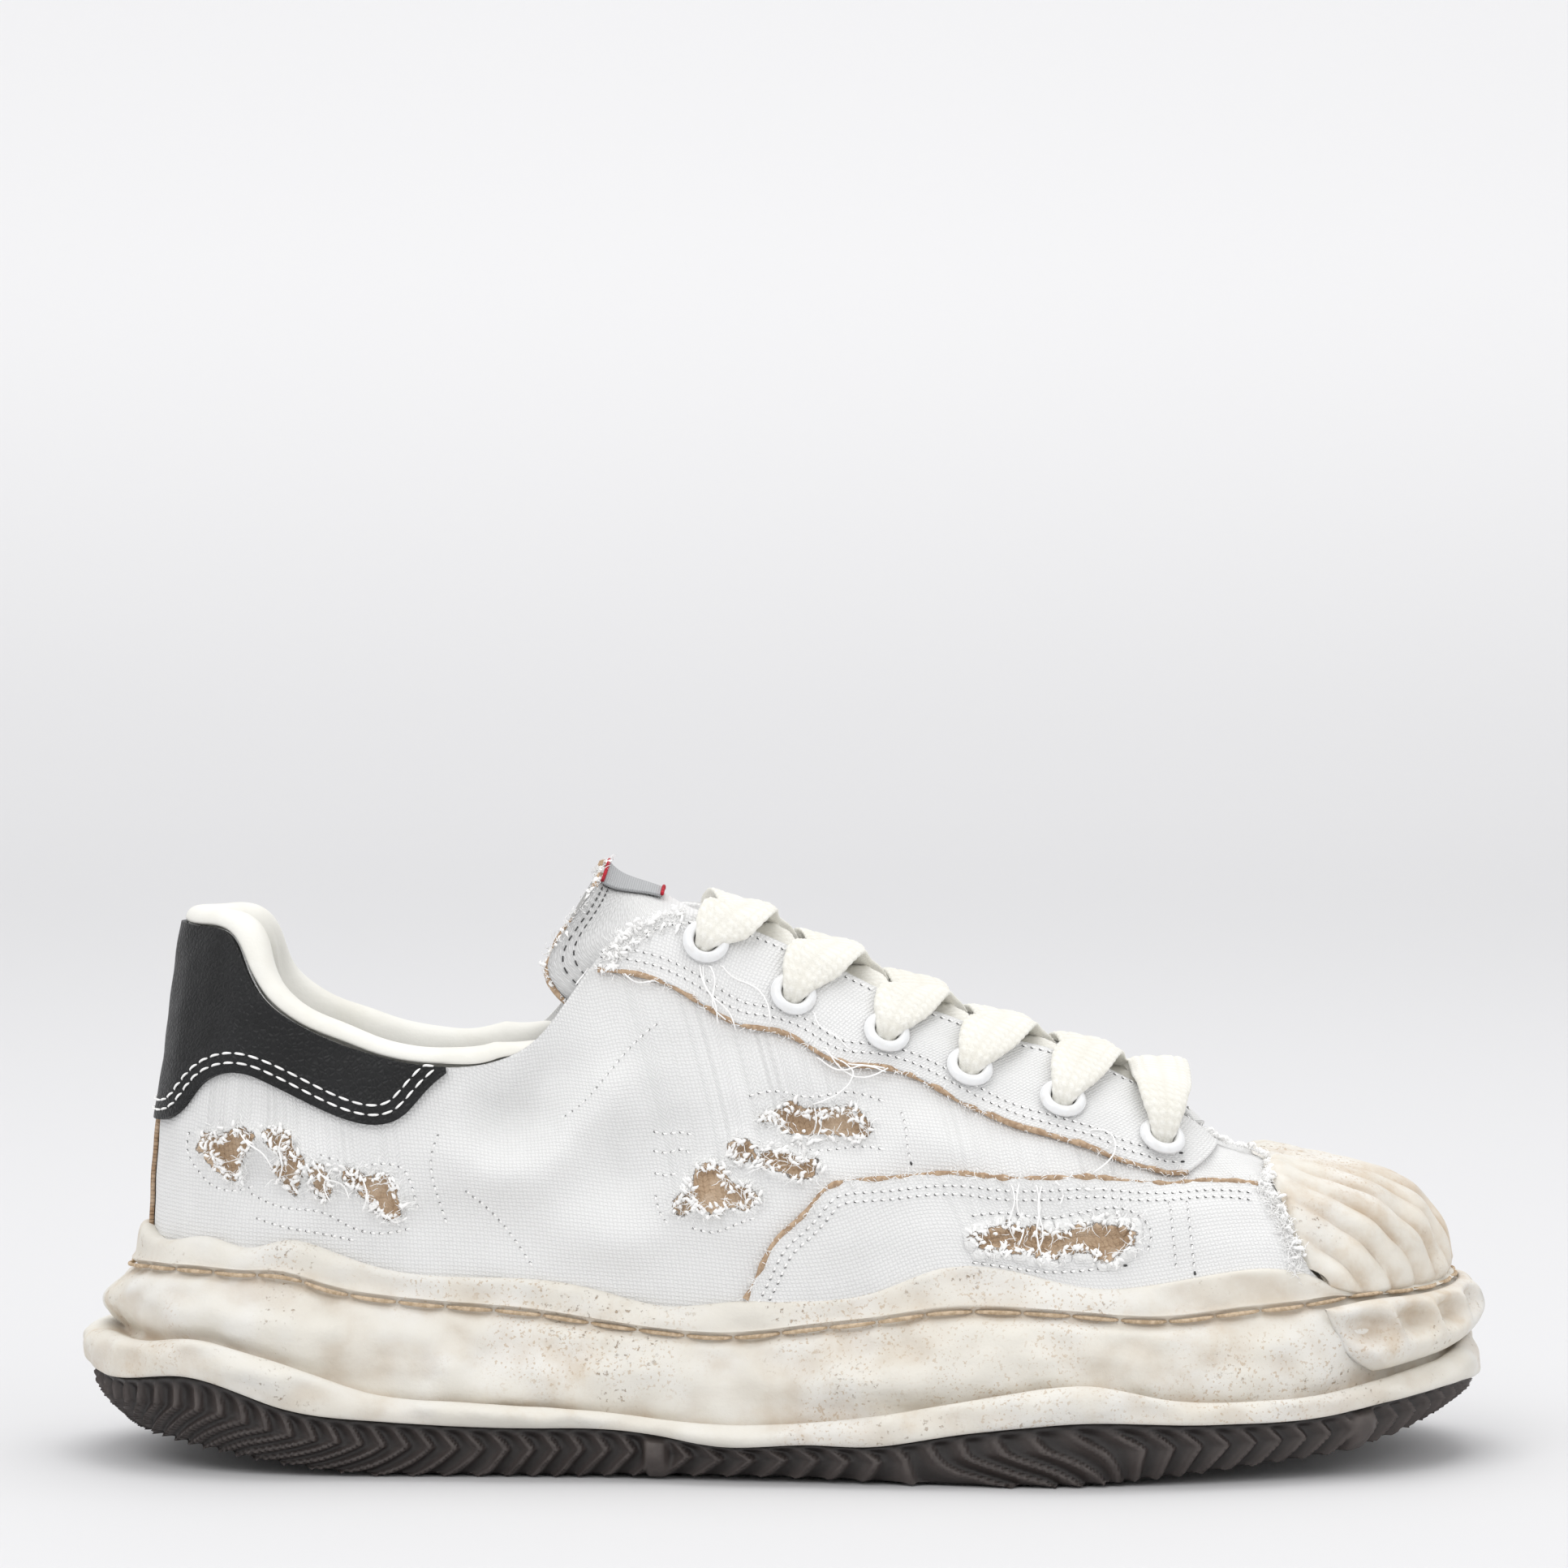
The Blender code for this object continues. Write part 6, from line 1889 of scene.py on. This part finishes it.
class SNEAKER_OT_collar(bpy.types.Operator):
    """Builds the padded collar lining"""

    bl_idname = "sneaker.collar"
    bl_label = "Collar lining"

    def execute(self, context):
        rows = np.linspace(-ROLL_END_ROW, ROLL_END_ROW, COLLAR_SAMPLES)
        top = skin(rows, np.full(len(rows), 0.998))
        inward = -wall_normal(rows, np.full(len(rows), 0.98)) * (1, 1, 0)
        inward = unit(inward)
        ahead = TOP_LOOP(rows + 0.05) - TOP_LOOP(rows - 0.05)
        upward = np.cross(ahead, inward)
        upward = unit(upward)
        section = np.array(ROLL_SECTION + ROLL_SECTION[:1])
        fine = open_spline(np.arange(len(section)), section)(np.linspace(0, len(section) - 1, 57))[:-1]
        end = np.clip((ROLL_END_ROW - np.abs(rows)) * 1.6, 0.0, 1.0) ** 0.5
        middle = fine.mean(0)
        shaped = middle + (fine - middle)[None] * end[:, None, None]
        above = np.clip(shaped[..., 1:], 0, None)
        below = np.clip(shaped[..., 1:], None, 0)
        points = top[:, None] + inward[:, None] * shaped[..., :1] + upward[:, None] * above + UP * below
        points = points + 0.00018 * ripple(points, 0.016, 31)[..., None] * upward[:, None]
        caps = end_caps(*points.shape[:2])
        made = surface("padded_collar", points, tube=True, extra=caps)
        wear(made, look("lining"), ("collar_lining",))
        return {"FINISHED"}


tongue_curve = open_spline(-np.array(TONGUE_ROWS)[:, 0], np.array(TONGUE_ROWS)[:, 1:])


def tongue_point(row, across, below):
    """Point of the tongue: an arch between the throat edges, tucked under the upper at both sides."""
    row, across = np.broadcast_arrays(np.asarray(row, float), np.asarray(across, float))
    lift, shift, sway = np.moveaxis(INSTEP_HEIGHT * tongue_curve(-row), -1, 0)
    side = np.where(across < 0, 1, -1)
    reach = np.abs(across)
    inside = sizes().canvas_wall + 4 * PIECE_GAP + below
    over = np.clip(reach / TONGUE_SHOULDER, 0, 1)
    tuck = np.clip((reach - TONGUE_SHOULDER) / (1 - TONGUE_SHOULDER), 0, 1)
    rise = TONGUE_EDGE_RISE - TONGUE_TUCK * tuck
    edge = on_wall(side * row, rise) - wall_normal(side * row, rise) * inside
    middle = (TOP_LOOP(row) + TOP_LOOP(-row)) / 2
    middle[..., 1] = 0
    middle[..., 0] += shift
    middle[..., 2] += lift - below
    bend = over**TONGUE_CROWN
    point = middle + (edge - middle) * np.stack((bend, over, bend), -1)
    point[..., 0] -= sway * np.sin(math.pi * bend**2)
    return point


class SNEAKER_OT_tongue(bpy.types.Operator):
    """Builds the canvas tongue and its woven label"""

    bl_idname = "sneaker.tongue"
    bl_label = "Tongue and label"

    def execute(self, context):
        rows = np.linspace(TONGUE_ROWS[0][0], TONGUE_ROWS[-1][0], TONGUE_SAMPLES)[:, None]
        across = np.linspace(-1, 1, TONGUE_ACROSS_SAMPLES)[None, :]
        above = tongue_point(rows, across, 0.0)
        puff = 0.0004 * ripple(above, 0.018, 41)
        above[..., 2] += puff
        below = tongue_point(rows, across, 0.0030)
        rip = np.full(above.shape[:2], NO_RIP)
        made = closed_shell("padded_tongue", below, above, {"rip": rip})
        wear(made, look("canvas"), ("tongue",))
        rows = np.linspace(*LABEL_ROWS, 40)[:, None]
        across = np.linspace(-LABEL_ACROSS, LABEL_ACROSS, 60)[None, :]
        inside = tongue_point(rows, across, -0.0008)
        outside = tongue_point(rows, across, -0.0014)
        made = closed_shell("woven_label", inside, outside, {})
        wear(made, look("label"), ("tongue_label",))
        return {"FINISHED"}


# Stitches, raw edges and loose threads


def outline_path(points, step=0.0008):
    """Evenly stepped rows and rises along a line of the photograph's pixels."""
    places = under_photo(points)
    count = max(int(walk(places)[-1] / step), 4)
    return smooth_edge(places, count)


def beside(places, offset):
    """The same path moved sideways on the wall by metres, to the left of its direction."""
    points = on_wall(*places.T)
    out = wall_normal(*places.T)
    ahead = np.gradient(points, axis=0)
    left = np.cross(out, ahead)
    left = unit(left)
    step = 1e-4
    by_row = (on_wall(places[:, 0] + step, places[:, 1]) - points) / step
    by_rise = (on_wall(places[:, 0], places[:, 1] + step) - points) / step
    move = left * offset
    a = np.sum(by_row * by_row, 1)
    b = np.sum(by_row * by_rise, 1)
    c = np.sum(by_rise * by_rise, 1)
    u = np.sum(by_row * move, 1)
    v = np.sum(by_rise * move, 1)
    scale = a * c - b * b
    moved = places + np.column_stack(((c * u - b * v) / scale, (a * v - b * u) / scale))
    moved[:, 1] = np.clip(moved[:, 1], 0, 1)
    return moved


class SNEAKER_OT_stitches(bpy.types.Operator):
    """Sews the counter, the overlays, the darning and the sole"""

    bl_idname = "sneaker.stitches"
    bl_label = "Stitches"

    def execute(self, context):
        low, _ = counter_edges(COUNTER_STITCH_SAMPLES)
        under = sizes().leather + PIECE_GAP
        rows = []
        for inward in COUNTER_STITCH_IN:
            path = beside(low, inward)
            rows.append(stitch_lines(path, COUNTER_STITCH_PITCH, COUNTER_STITCH, under, 0.0004))
        self.keep("counter_stitches", np.concatenate(rows), COUNTER_THREAD, "fluff", "black leather")
        holes = []
        threads = []
        for seam in CANVAS_SEAMS:
            self.seam(outline_path(seam), 0.0, holes, threads)
        for seam in OVERLAY_SEAMS:
            self.seam(outline_path(seam), OVERLAY_HEIGHT, holes, threads)
        for inner in (False, True):
            side = 1 if inner else -1
            edge, _ = eyestay_edges(inner, SEAM_SAMPLES)
            for inward in FACING_SEAMS_IN:
                self.seam(beside(edge, -side * inward), OVERLAY_HEIGHT, holes, threads)
            _, edge = mudguard_edges(inner, SEAM_SAMPLES)
            for inward in GUARD_SEAMS_IN:
                self.seam(beside(edge, side * inward), OVERLAY_HEIGHT, holes, threads)
            rows = np.linspace(7.6, 12.6, SEAM_SAMPLES) * -side
            top = np.column_stack((rows, np.full(SEAM_SAMPLES, 0.965)))
            self.seam(top, OVERLAY_HEIGHT, holes, threads)
        self.keep("needle_holes", np.concatenate(holes), HOLE_RADIUS, "hole_shade", "canvas")
        self.keep("canvas_stitches", np.concatenate(threads), CANVAS_THREAD, "fluff", "canvas")
        self.sole_stitches()
        return {"FINISHED"}

    def seam(self, places, under, holes, threads):
        holes.append(hole_lines(places, SEAM_PITCH, under + 0.00004))
        threads.append(stitch_lines(places, SEAM_PITCH, CANVAS_STITCH, under, 0.00008))

    def keep(self, name, lines, radius, material, slot, sides=4):
        taper = np.sin(math.pi * np.linspace(0.08, 0.92, lines.shape[1])) ** 0.3
        tubes(name, lines, radius * taper, material, sides)

    def sole_stitches(self):
        """Long tan stitches in the groove, each dipping into the rubber at its ends."""
        rows = np.linspace(0, LOOP_ROWS, SOLE_PATH_SAMPLES)
        heights, reaches = sole_lines(rows)
        path = sole_point(rows, reaches["groove"] + 0.0004, heights["groove"] + 0.0004)
        out = outline_normal(rows)
        lengths = lengths_along(path)
        count = round(lengths[-1] / SOLE_STITCH_PITCH)
        pitch = lengths[-1] / count
        steps = 14
        reach = np.arange(count)[:, None] * pitch + np.linspace(0, pitch * 0.92, steps)
        arch = np.sin(math.pi * np.linspace(0, 1, steps)) ** 0.45
        axes = [np.interp(reach, lengths, path[:, k]) for k in range(3)]
        outs = [np.interp(reach, lengths, out[:, k]) for k in range(3)]
        lines = np.stack(axes, -1) + np.stack(outs, -1) * (0.0011 * arch - 0.0012)[None, :, None]
        self.keep("sole_stitches", lines, SOLE_THREAD, "tan_thread", "cream rubber", 8)


def tongue_rim(count):
    """Points along the tongue's free end, and directions that point out of its edge."""
    row = np.full(count, TONGUE_ROWS[-1][0])
    across = np.linspace(-0.97, 0.97, count)
    rim = tongue_point(row, across, 0.0012)
    before = tongue_point(row + 0.1, across, 0.0012)
    out = rim - before
    out = unit(out)
    return rim, out


class SNEAKER_OT_edges(bpy.types.Operator):
    """Frays the cut edges: tan raw cords, white fluff and loose threads"""

    bl_idname = "sneaker.edges"
    bl_label = "Raw edges and threads"

    def execute(self, context):
        fluff = []
        tufts = []
        seed = 200
        for inner in (False, True):
            edge, _ = eyestay_edges(inner, EDGE_SAMPLES)
            low, guard = mudguard_edges(inner, EDGE_SAMPLES)
            side = "inner" if inner else "outer"
            for name, path in (("facing", edge), ("guard", guard)):
                self.cord(f"raw_{name}_{side}", path, seed)
                fluff.append(hairs(path, 340, 0.0014, 0.0009, 0.0004, seed))
                seed += 1
            front = np.linspace(low[-1], guard[-1], 120)
            fluff.append(hairs(front, 320, 0.0018, 0.0009, 0.0005, seed))
            seed += 1
        tongue_end, normals = tongue_rim(TONGUE_EDGE_SAMPLES)
        for kept, seed_at, count, length, width in (
            (fluff, 90, 800, 0.0015, 0.0008), (tufts, 94, 150, 0.0014, 0.0007)
        ):
            picks = np.random.default_rng(seed_at).integers(0, TONGUE_EDGE_SAMPLES, count)
            rng = np.random.default_rng(seed_at + 1)
            kept.append(curled(rng, tongue_end[picks], normals[picks], length, width))
        knots = np.random.default_rng(92).normal(0, 1, 60)
        wobble = np.interp(np.linspace(0, 59, TONGUE_EDGE_SAMPLES), np.arange(60), knots)
        radius = 0.00075 * (1 + 0.22 * wobble)
        rim = tongue_end + normals * (0.0002 * wobble)[:, None]
        tubes("raw_tongue_edge", rim[None], radius[None], "tan_cloth", 8)
        self.tongue_details()
        for line in FRAYED_LINES:
            path = outline_path(line)
            fluff.append(sown(path, FRAY_FLUFF, seed))
            tufts.append(sown(path, FRAY_TUFTS, seed + 90))
            seed += 1
        for outline in RIPS:
            path = outline_path(outline + outline[:1], 0.0005)
            under = OVERLAY_HEIGHT if outline[0][0] > OVERLAY_PIXEL else 0.0003
            fluff.append(sown(path, RIP_FLUFF, seed, under))
            tufts.append(sown(path, RIP_TUFTS, seed + 90, under))
            fluff.append(sown(path, RIP_STRANDS, seed + 50, under))
            seed += 1
        thick = TUFT_RADIUS * np.array((0.9, 1.2, 1.0, 0.8, 0.4))
        tubes("cotton_tufts", np.concatenate(tufts), thick, "fluff", 4)
        thin = FLUFF_RADIUS * np.linspace(1.2, 0.5, 5)
        tubes("cotton_fluff", np.concatenate(fluff), thin, "fluff", 3)
        threads = []
        for number, line in enumerate(LOOSE_THREADS):
            path = outline_path(line)
            places = path[np.linspace(0, len(path) - 1, THREAD_STEPS).astype(int)]
            lift = 0.0013 + 0.0012 * np.abs(np.sin(np.linspace(0, 2.6, THREAD_STEPS) + number))
            lift[0] = 0.0008
            threads.append(skin(*places.T, lift))
        tubes("loose_threads", np.stack(threads), LOOSE_THREAD, "fluff", 5)
        return {"FINISHED"}

    def tongue_details(self):
        """Dark dashes of painted shade for needle holes along the tongue's free end, and the label's red end
        threads.
        """
        start = np.linspace(-0.9, 0.9, 64)[:, None]
        reach = start + np.array((0.0, 0.007, 0.014))
        rows = [tongue_point(TONGUE_ROWS[-1][0] + inward, reach, -0.0003) for inward in (0.16, 0.27)]
        tubes("tongue_holes", np.concatenate(rows), 0.00017, "hole_shade", 4)
        across = np.linspace(-LABEL_ACROSS, LABEL_ACROSS, 24)
        ends = np.stack([tongue_point(row, across, -0.0016) for row in LABEL_ROWS])
        tubes("label_end_threads", ends, 0.00042, "red_thread", 6)

    def cord(self, name, path, seed):
        """A lumpy raw edge along a path, standing on the canvas beside the overlay's edge."""
        rng = np.random.default_rng(seed)
        knots = np.arange(0, len(path) + 8, 8)
        wobble = np.interp(np.arange(len(path)), knots, rng.normal(0, 1, len(knots)))
        line = skin(*path.T, 0.0009 + 0.00010 * wobble)
        radius = 0.00056 * (1 + 0.2 * wobble)
        tubes(name, line[None], radius[None], "tan_cloth", 8)


# Eyelets and laces

def eyelet_places(inner):
    """Middles and outward axes of one side's eyelets, on the facing."""
    places = edge_on_side(EYELETS, inner)
    middle = skin(*places.T, 0.0012)
    return middle, wall_normal(*places.T)


def side_frame(axis):
    """Two directions square to each axis: level along the shoe, and up the wall."""
    level = np.cross(UP, axis)
    level = unit(level)
    return level, np.cross(axis, level)


class SNEAKER_OT_eyelets(bpy.types.Operator):
    """Builds the white eyelets, each a turned ring"""

    bl_idname = "sneaker.eyelets"
    bl_label = "Eyelets"

    def execute(self, context):
        turn = np.linspace(0, math.tau, 48, endpoint=False)
        section = np.array(EYELET_SECTION)
        for side in ("outer", "inner"):
            middles, axes = eyelet_places(side == "inner")
            levels, ups = side_frame(axes)
            for number in range(len(middles)):
                level, upward, axis = levels[number], ups[number], axes[number]
                ring = np.cos(turn)[:, None] * level + np.sin(turn)[:, None] * upward
                points = middles[number] + ring[:, None] * section[None, :, :1] + axis * section[None, :, 1:]
                made = surface(f"ring_{side}_{number + 1}", points, around=True, tube=True)
                wear(made, look("enamel"), (f"eyelet_{side}_{number + 1}",))
        return {"FINISHED"}


def ribbon(name, path, flats, widths, thicknesses, seed):
    """A knitted flat lace along a path: a rounded flat section with rows of small chevron loops on both
    faces. flats are the directions that its face looks."""
    lengths = lengths_along(path)
    count = max(int(lengths[-1] / LACE_STEP), 8)
    share = np.linspace(0, lengths[-1], count)
    controls = np.column_stack((path, flats, widths, thicknesses))
    fine = open_spline(lengths, controls)(share)
    line, flat, width, thick = fine[:, :3], fine[:, 3:6], fine[:, 6], fine[:, 7]
    ahead = np.gradient(line, axis=0)
    ahead = unit(ahead)
    across = np.cross(ahead, flat)
    across = unit(across)
    over = np.cross(across, ahead)
    turn = np.linspace(0, math.tau, 52, endpoint=False)
    wide = np.sign(np.cos(turn)) * np.abs(np.cos(turn)) ** 0.72
    tall = np.sign(np.sin(turn)) * np.abs(np.sin(turn)) ** 0.9
    lane = wide[None, :] * width[:, None] / 2 / KNIT_PITCH
    slant = np.abs(np.mod(lane, 1.0) - 0.5) * 2
    loop = np.sin(math.tau * (share[:, None] / KNIT_PITCH + 0.42 * slant))
    ridge = np.sin(math.pi * np.mod(lane, 1.0)) ** 0.5
    knit = (0.5 + 0.5 * loop) * ridge
    stand = 0.00038 * (knit - 0.5) + 0.00015 * ripple(line, 0.01, seed)[:, None]
    half_tall = thick[:, None] / 2 + stand
    points = (
        line[:, None]
        + across[:, None] * (wide[None, :] * (width[:, None] / 2 + 0.5 * stand))[..., None]
        + over[:, None] * (tall[None, :] * half_tall)[..., None]
    )
    caps = end_caps(*points.shape[:2])
    # hollow: the knit's low places, which the lace's colour darkens as painted shade.
    return surface(name, points, tube=True, extra=caps, values={"hollow": 1 - knit})


class SNEAKER_OT_laces(bpy.types.Operator):
    """Builds the fat flat laces through the eyelets and over the throat"""

    bl_idname = "sneaker.laces"
    bl_label = "Laces"

    def execute(self, context):
        eyes = {inner: eyelet_places(inner) for inner in (False, True)}
        for number in range(5):
            for inner in (False, True):
                self.crossing(eyes, number, inner)
        self.bar(eyes)
        return {"FINISHED"}

    def crossing(self, eyes, number, inner):
        """From one eyelet up over the throat, and down under the other facing toward the toe."""
        middles, axes = eyes[inner]
        here, axis = middles[number], axes[number]
        places = edge_on_side(EYELETS, inner)[number : number + 2]
        sign = -1 if inner else 1
        first, after = np.abs(places[:, 0])
        thick = sizes().lace_thickness
        over = 0.0 if inner else thick

        def row(share):
            return first + share * (after - first)

        facing_row, facing_rise = sign * row(0.24), places[0, 1] * 0.5 + 0.5
        facing = skin(facing_row, facing_rise, 0.0013 + thick * 0.75)
        edge = skin(sign * row(0.58), 0.999, 0.0013) + UP * thick * 0.8
        edge_out = wall_normal(sign * row(0.58), 0.99)
        centre = tongue_point(row(0.80), 0.0, 0.0) + UP * (thick * 0.65 + over)
        far = -sign
        low = tongue_point(row(0.98), far * -0.40, 0.0) + UP * thick * 0.6
        tucked = tongue_point(row(1.05), far * -0.72, 0.0) + UP * 0.0004
        path = np.array((here - axis * EYE_UNDER, here + axis * EYE_OVER, facing, edge, centre, low, tucked))
        out = wall_normal(facing_row, facing_rise)
        away = np.array((0.0, 0.5 * sign, 0.0))
        flats = np.array((axis, axis, out, edge_out + UP, UP, UP + away, UP + away))
        flats = unit(flats)
        width = sizes().lace_width
        widths = width * np.array((0.34, 0.42, 0.92, 1.06, 1.0, 1.0, 0.96))
        thicknesses = thick * np.array((1.4, 1.5, 1.15, 1.0, 1.0, 0.8, 0.5))
        name = f"lace_{'inner' if inner else 'outer'}_{number + 1}"
        made = ribbon(name, path, flats, widths, thicknesses, 50 + number)
        nodes = () if inner else (f"lace_cross_{number + 1}",)
        wear(made, look("lace"), nodes)

    def bar(self, eyes):
        """The straight bar at the toe end, from eyelet to eyelet."""
        ends = []
        edges = []
        for inner in (False, True):
            middle, axis = eyes[inner][0][-1], eyes[inner][1][-1]
            place = edge_on_side(EYELETS, inner)[-1]
            halfway = skin(place[0], place[1] * 0.5 + 0.5, 0.0040)
            halfway[0] = middle[0] + 0.0008
            ends.append((middle - axis * EYE_UNDER, middle + axis * EYE_OVER, halfway))
            edge = skin(place[0], 0.999, 0.0015) - UP * 0.0012
            edge[0] = middle[0] + 0.0010
            edges.append(edge)
        rise = (edges[0] + edges[1]) / 2 + UP * 0.0024
        path = np.array((*ends[0], edges[0], rise, edges[1], *ends[1][::-1]))
        outer, inner = eyes[False][1][-1], eyes[True][1][-1]
        flats = np.array((outer, outer, outer, outer + UP, UP, inner + UP, inner, inner, inner))
        flats = unit(flats)
        width = sizes().lace_width
        widths = width * np.array((0.36, 0.44, 0.9, 1.05, 1.05, 1.05, 0.9, 0.44, 0.36))
        thicknesses = sizes().lace_thickness * np.array((1.2, 1.3, 1.15, 1.0, 1.0, 1.0, 1.15, 1.3, 1.2))
        made = ribbon("lace_toe_bar", path, flats, widths, thicknesses, 60)
        wear(made, look("lace"), ("lace_bar",))


# Stage


class SNEAKER_OT_stage(bpy.types.Operator):
    """Sets the pale floor, soft studio light and the photograph's camera"""

    bl_idname = "sneaker.stage"
    bl_label = "Stage"

    def execute(self, context):
        scene = context.scene
        floor_look, bench, shader = new_look("pale_floor")
        # Darker on the floor and paler up the backdrop: painted shade and light that even out the stage's
        # brightness.
        split = bench.add("ShaderNodeSeparateXYZ")
        bench.link(bench.place(), split.inputs["Vector"])
        height = bench.range(split.outputs["Z"], 0.0, 0.4)
        bench.link(bench.mix(height, (0.70, 0.70, 0.71), (0.86, 0.86, 0.87)), shader.inputs["Base Color"])
        set_values(shader, Roughness=0.75, Specular_IOR_Level=0.2)
        part = np.linspace(0, len(BACKDROP) - 1, 60)
        line = open_spline(np.arange(len(BACKDROP)), BACKDROP)(part)
        line[:, 1] = np.maximum(line[:, 1], 0)
        line[part < 1.0, 1] = 0
        points = np.zeros((40, 60, 3))
        points[..., 0] = np.linspace(-6, 6, 40)[:, None]
        points[..., 1:] = line
        floor = surface("floor", points)
        floor.data.materials.append(floor_look)
        camera = bpy.data.objects.new("camera", bpy.data.cameras.new("camera"))
        camera.data.sensor_width = SENSOR
        camera.data.lens = SENSOR * PHOTO_FOCAL / PHOTO_SIZE
        camera.location = (0, -CAMERA_AWAY, CAMERA_HEIGHT)
        camera.rotation_euler = (math.pi / 2 - CAMERA_PITCH, 0, 0)
        scene.collection.objects.link(camera)
        scene.camera = camera
        for name, place, aim, size, power in LIGHTS:
            light = bpy.data.lights.new(name, "AREA")
            light.energy = power
            light.size = size
            holder = bpy.data.objects.new(name, light)
            holder.location = place
            turn = np.array(aim, float) - np.array(place, float)
            holder.rotation_euler = Vector(turn).to_track_quat("-Z", "Y").to_euler()
            scene.collection.objects.link(holder)
        world = scene.world or bpy.data.worlds.new("studio")
        scene.world = world
        world.use_nodes = True
        set_values(world.node_tree.nodes["Background"], Color=(0.96, 0.958, 0.96, 1), Strength=0.85)
        scene.view_settings.view_transform = "Standard"
        return {"FINISHED"}


OPERATORS = (
    SNEAKER_OT_tread,
    SNEAKER_OT_cupsole,
    SNEAKER_OT_insole,
    SNEAKER_OT_upper,
    SNEAKER_OT_counter,
    SNEAKER_OT_overlays,
    SNEAKER_OT_toe,
    SNEAKER_OT_collar,
    SNEAKER_OT_tongue,
    SNEAKER_OT_eyelets,
    SNEAKER_OT_laces,
    SNEAKER_OT_stitches,
    SNEAKER_OT_edges,
    SNEAKER_OT_stage,
)


class SNEAKER_PT_build(bpy.types.Panel):
    """Lists the sneaker's pieces in the sidebar"""

    bl_idname = "SNEAKER_PT_build"
    bl_label = "Worn sneaker"
    bl_space_type = "VIEW_3D"
    bl_region_type = "UI"
    bl_category = "Sneaker"

    def draw(self, context):
        for group in (context.scene.sneaker_sizes, context.scene.sneaker_colours):
            for key in group.__annotations__:
                self.layout.prop(group, key)
        for operator in OPERATORS:
            self.layout.operator(operator.bl_idname)


CLASSES = (SneakerSizes, SneakerColours, *OPERATORS, SNEAKER_PT_build)


def register():
    for kind in CLASSES:
        bpy.utils.register_class(kind)
    bpy.types.Scene.sneaker_sizes = bpy.props.PointerProperty(type=SneakerSizes)
    bpy.types.Scene.sneaker_colours = bpy.props.PointerProperty(type=SneakerColours)


def unregister():
    del bpy.types.Scene.sneaker_sizes
    del bpy.types.Scene.sneaker_colours
    for kind in reversed(CLASSES):
        bpy.utils.unregister_class(kind)


def plain(box):
    return [list(corner) for corner in box]


def main():
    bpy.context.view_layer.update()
    register()
    for operator in OPERATORS:
        group, name = operator.bl_idname.split(".")
        getattr(getattr(bpy.ops, group), name)()


if __name__ == "__main__":
    main()
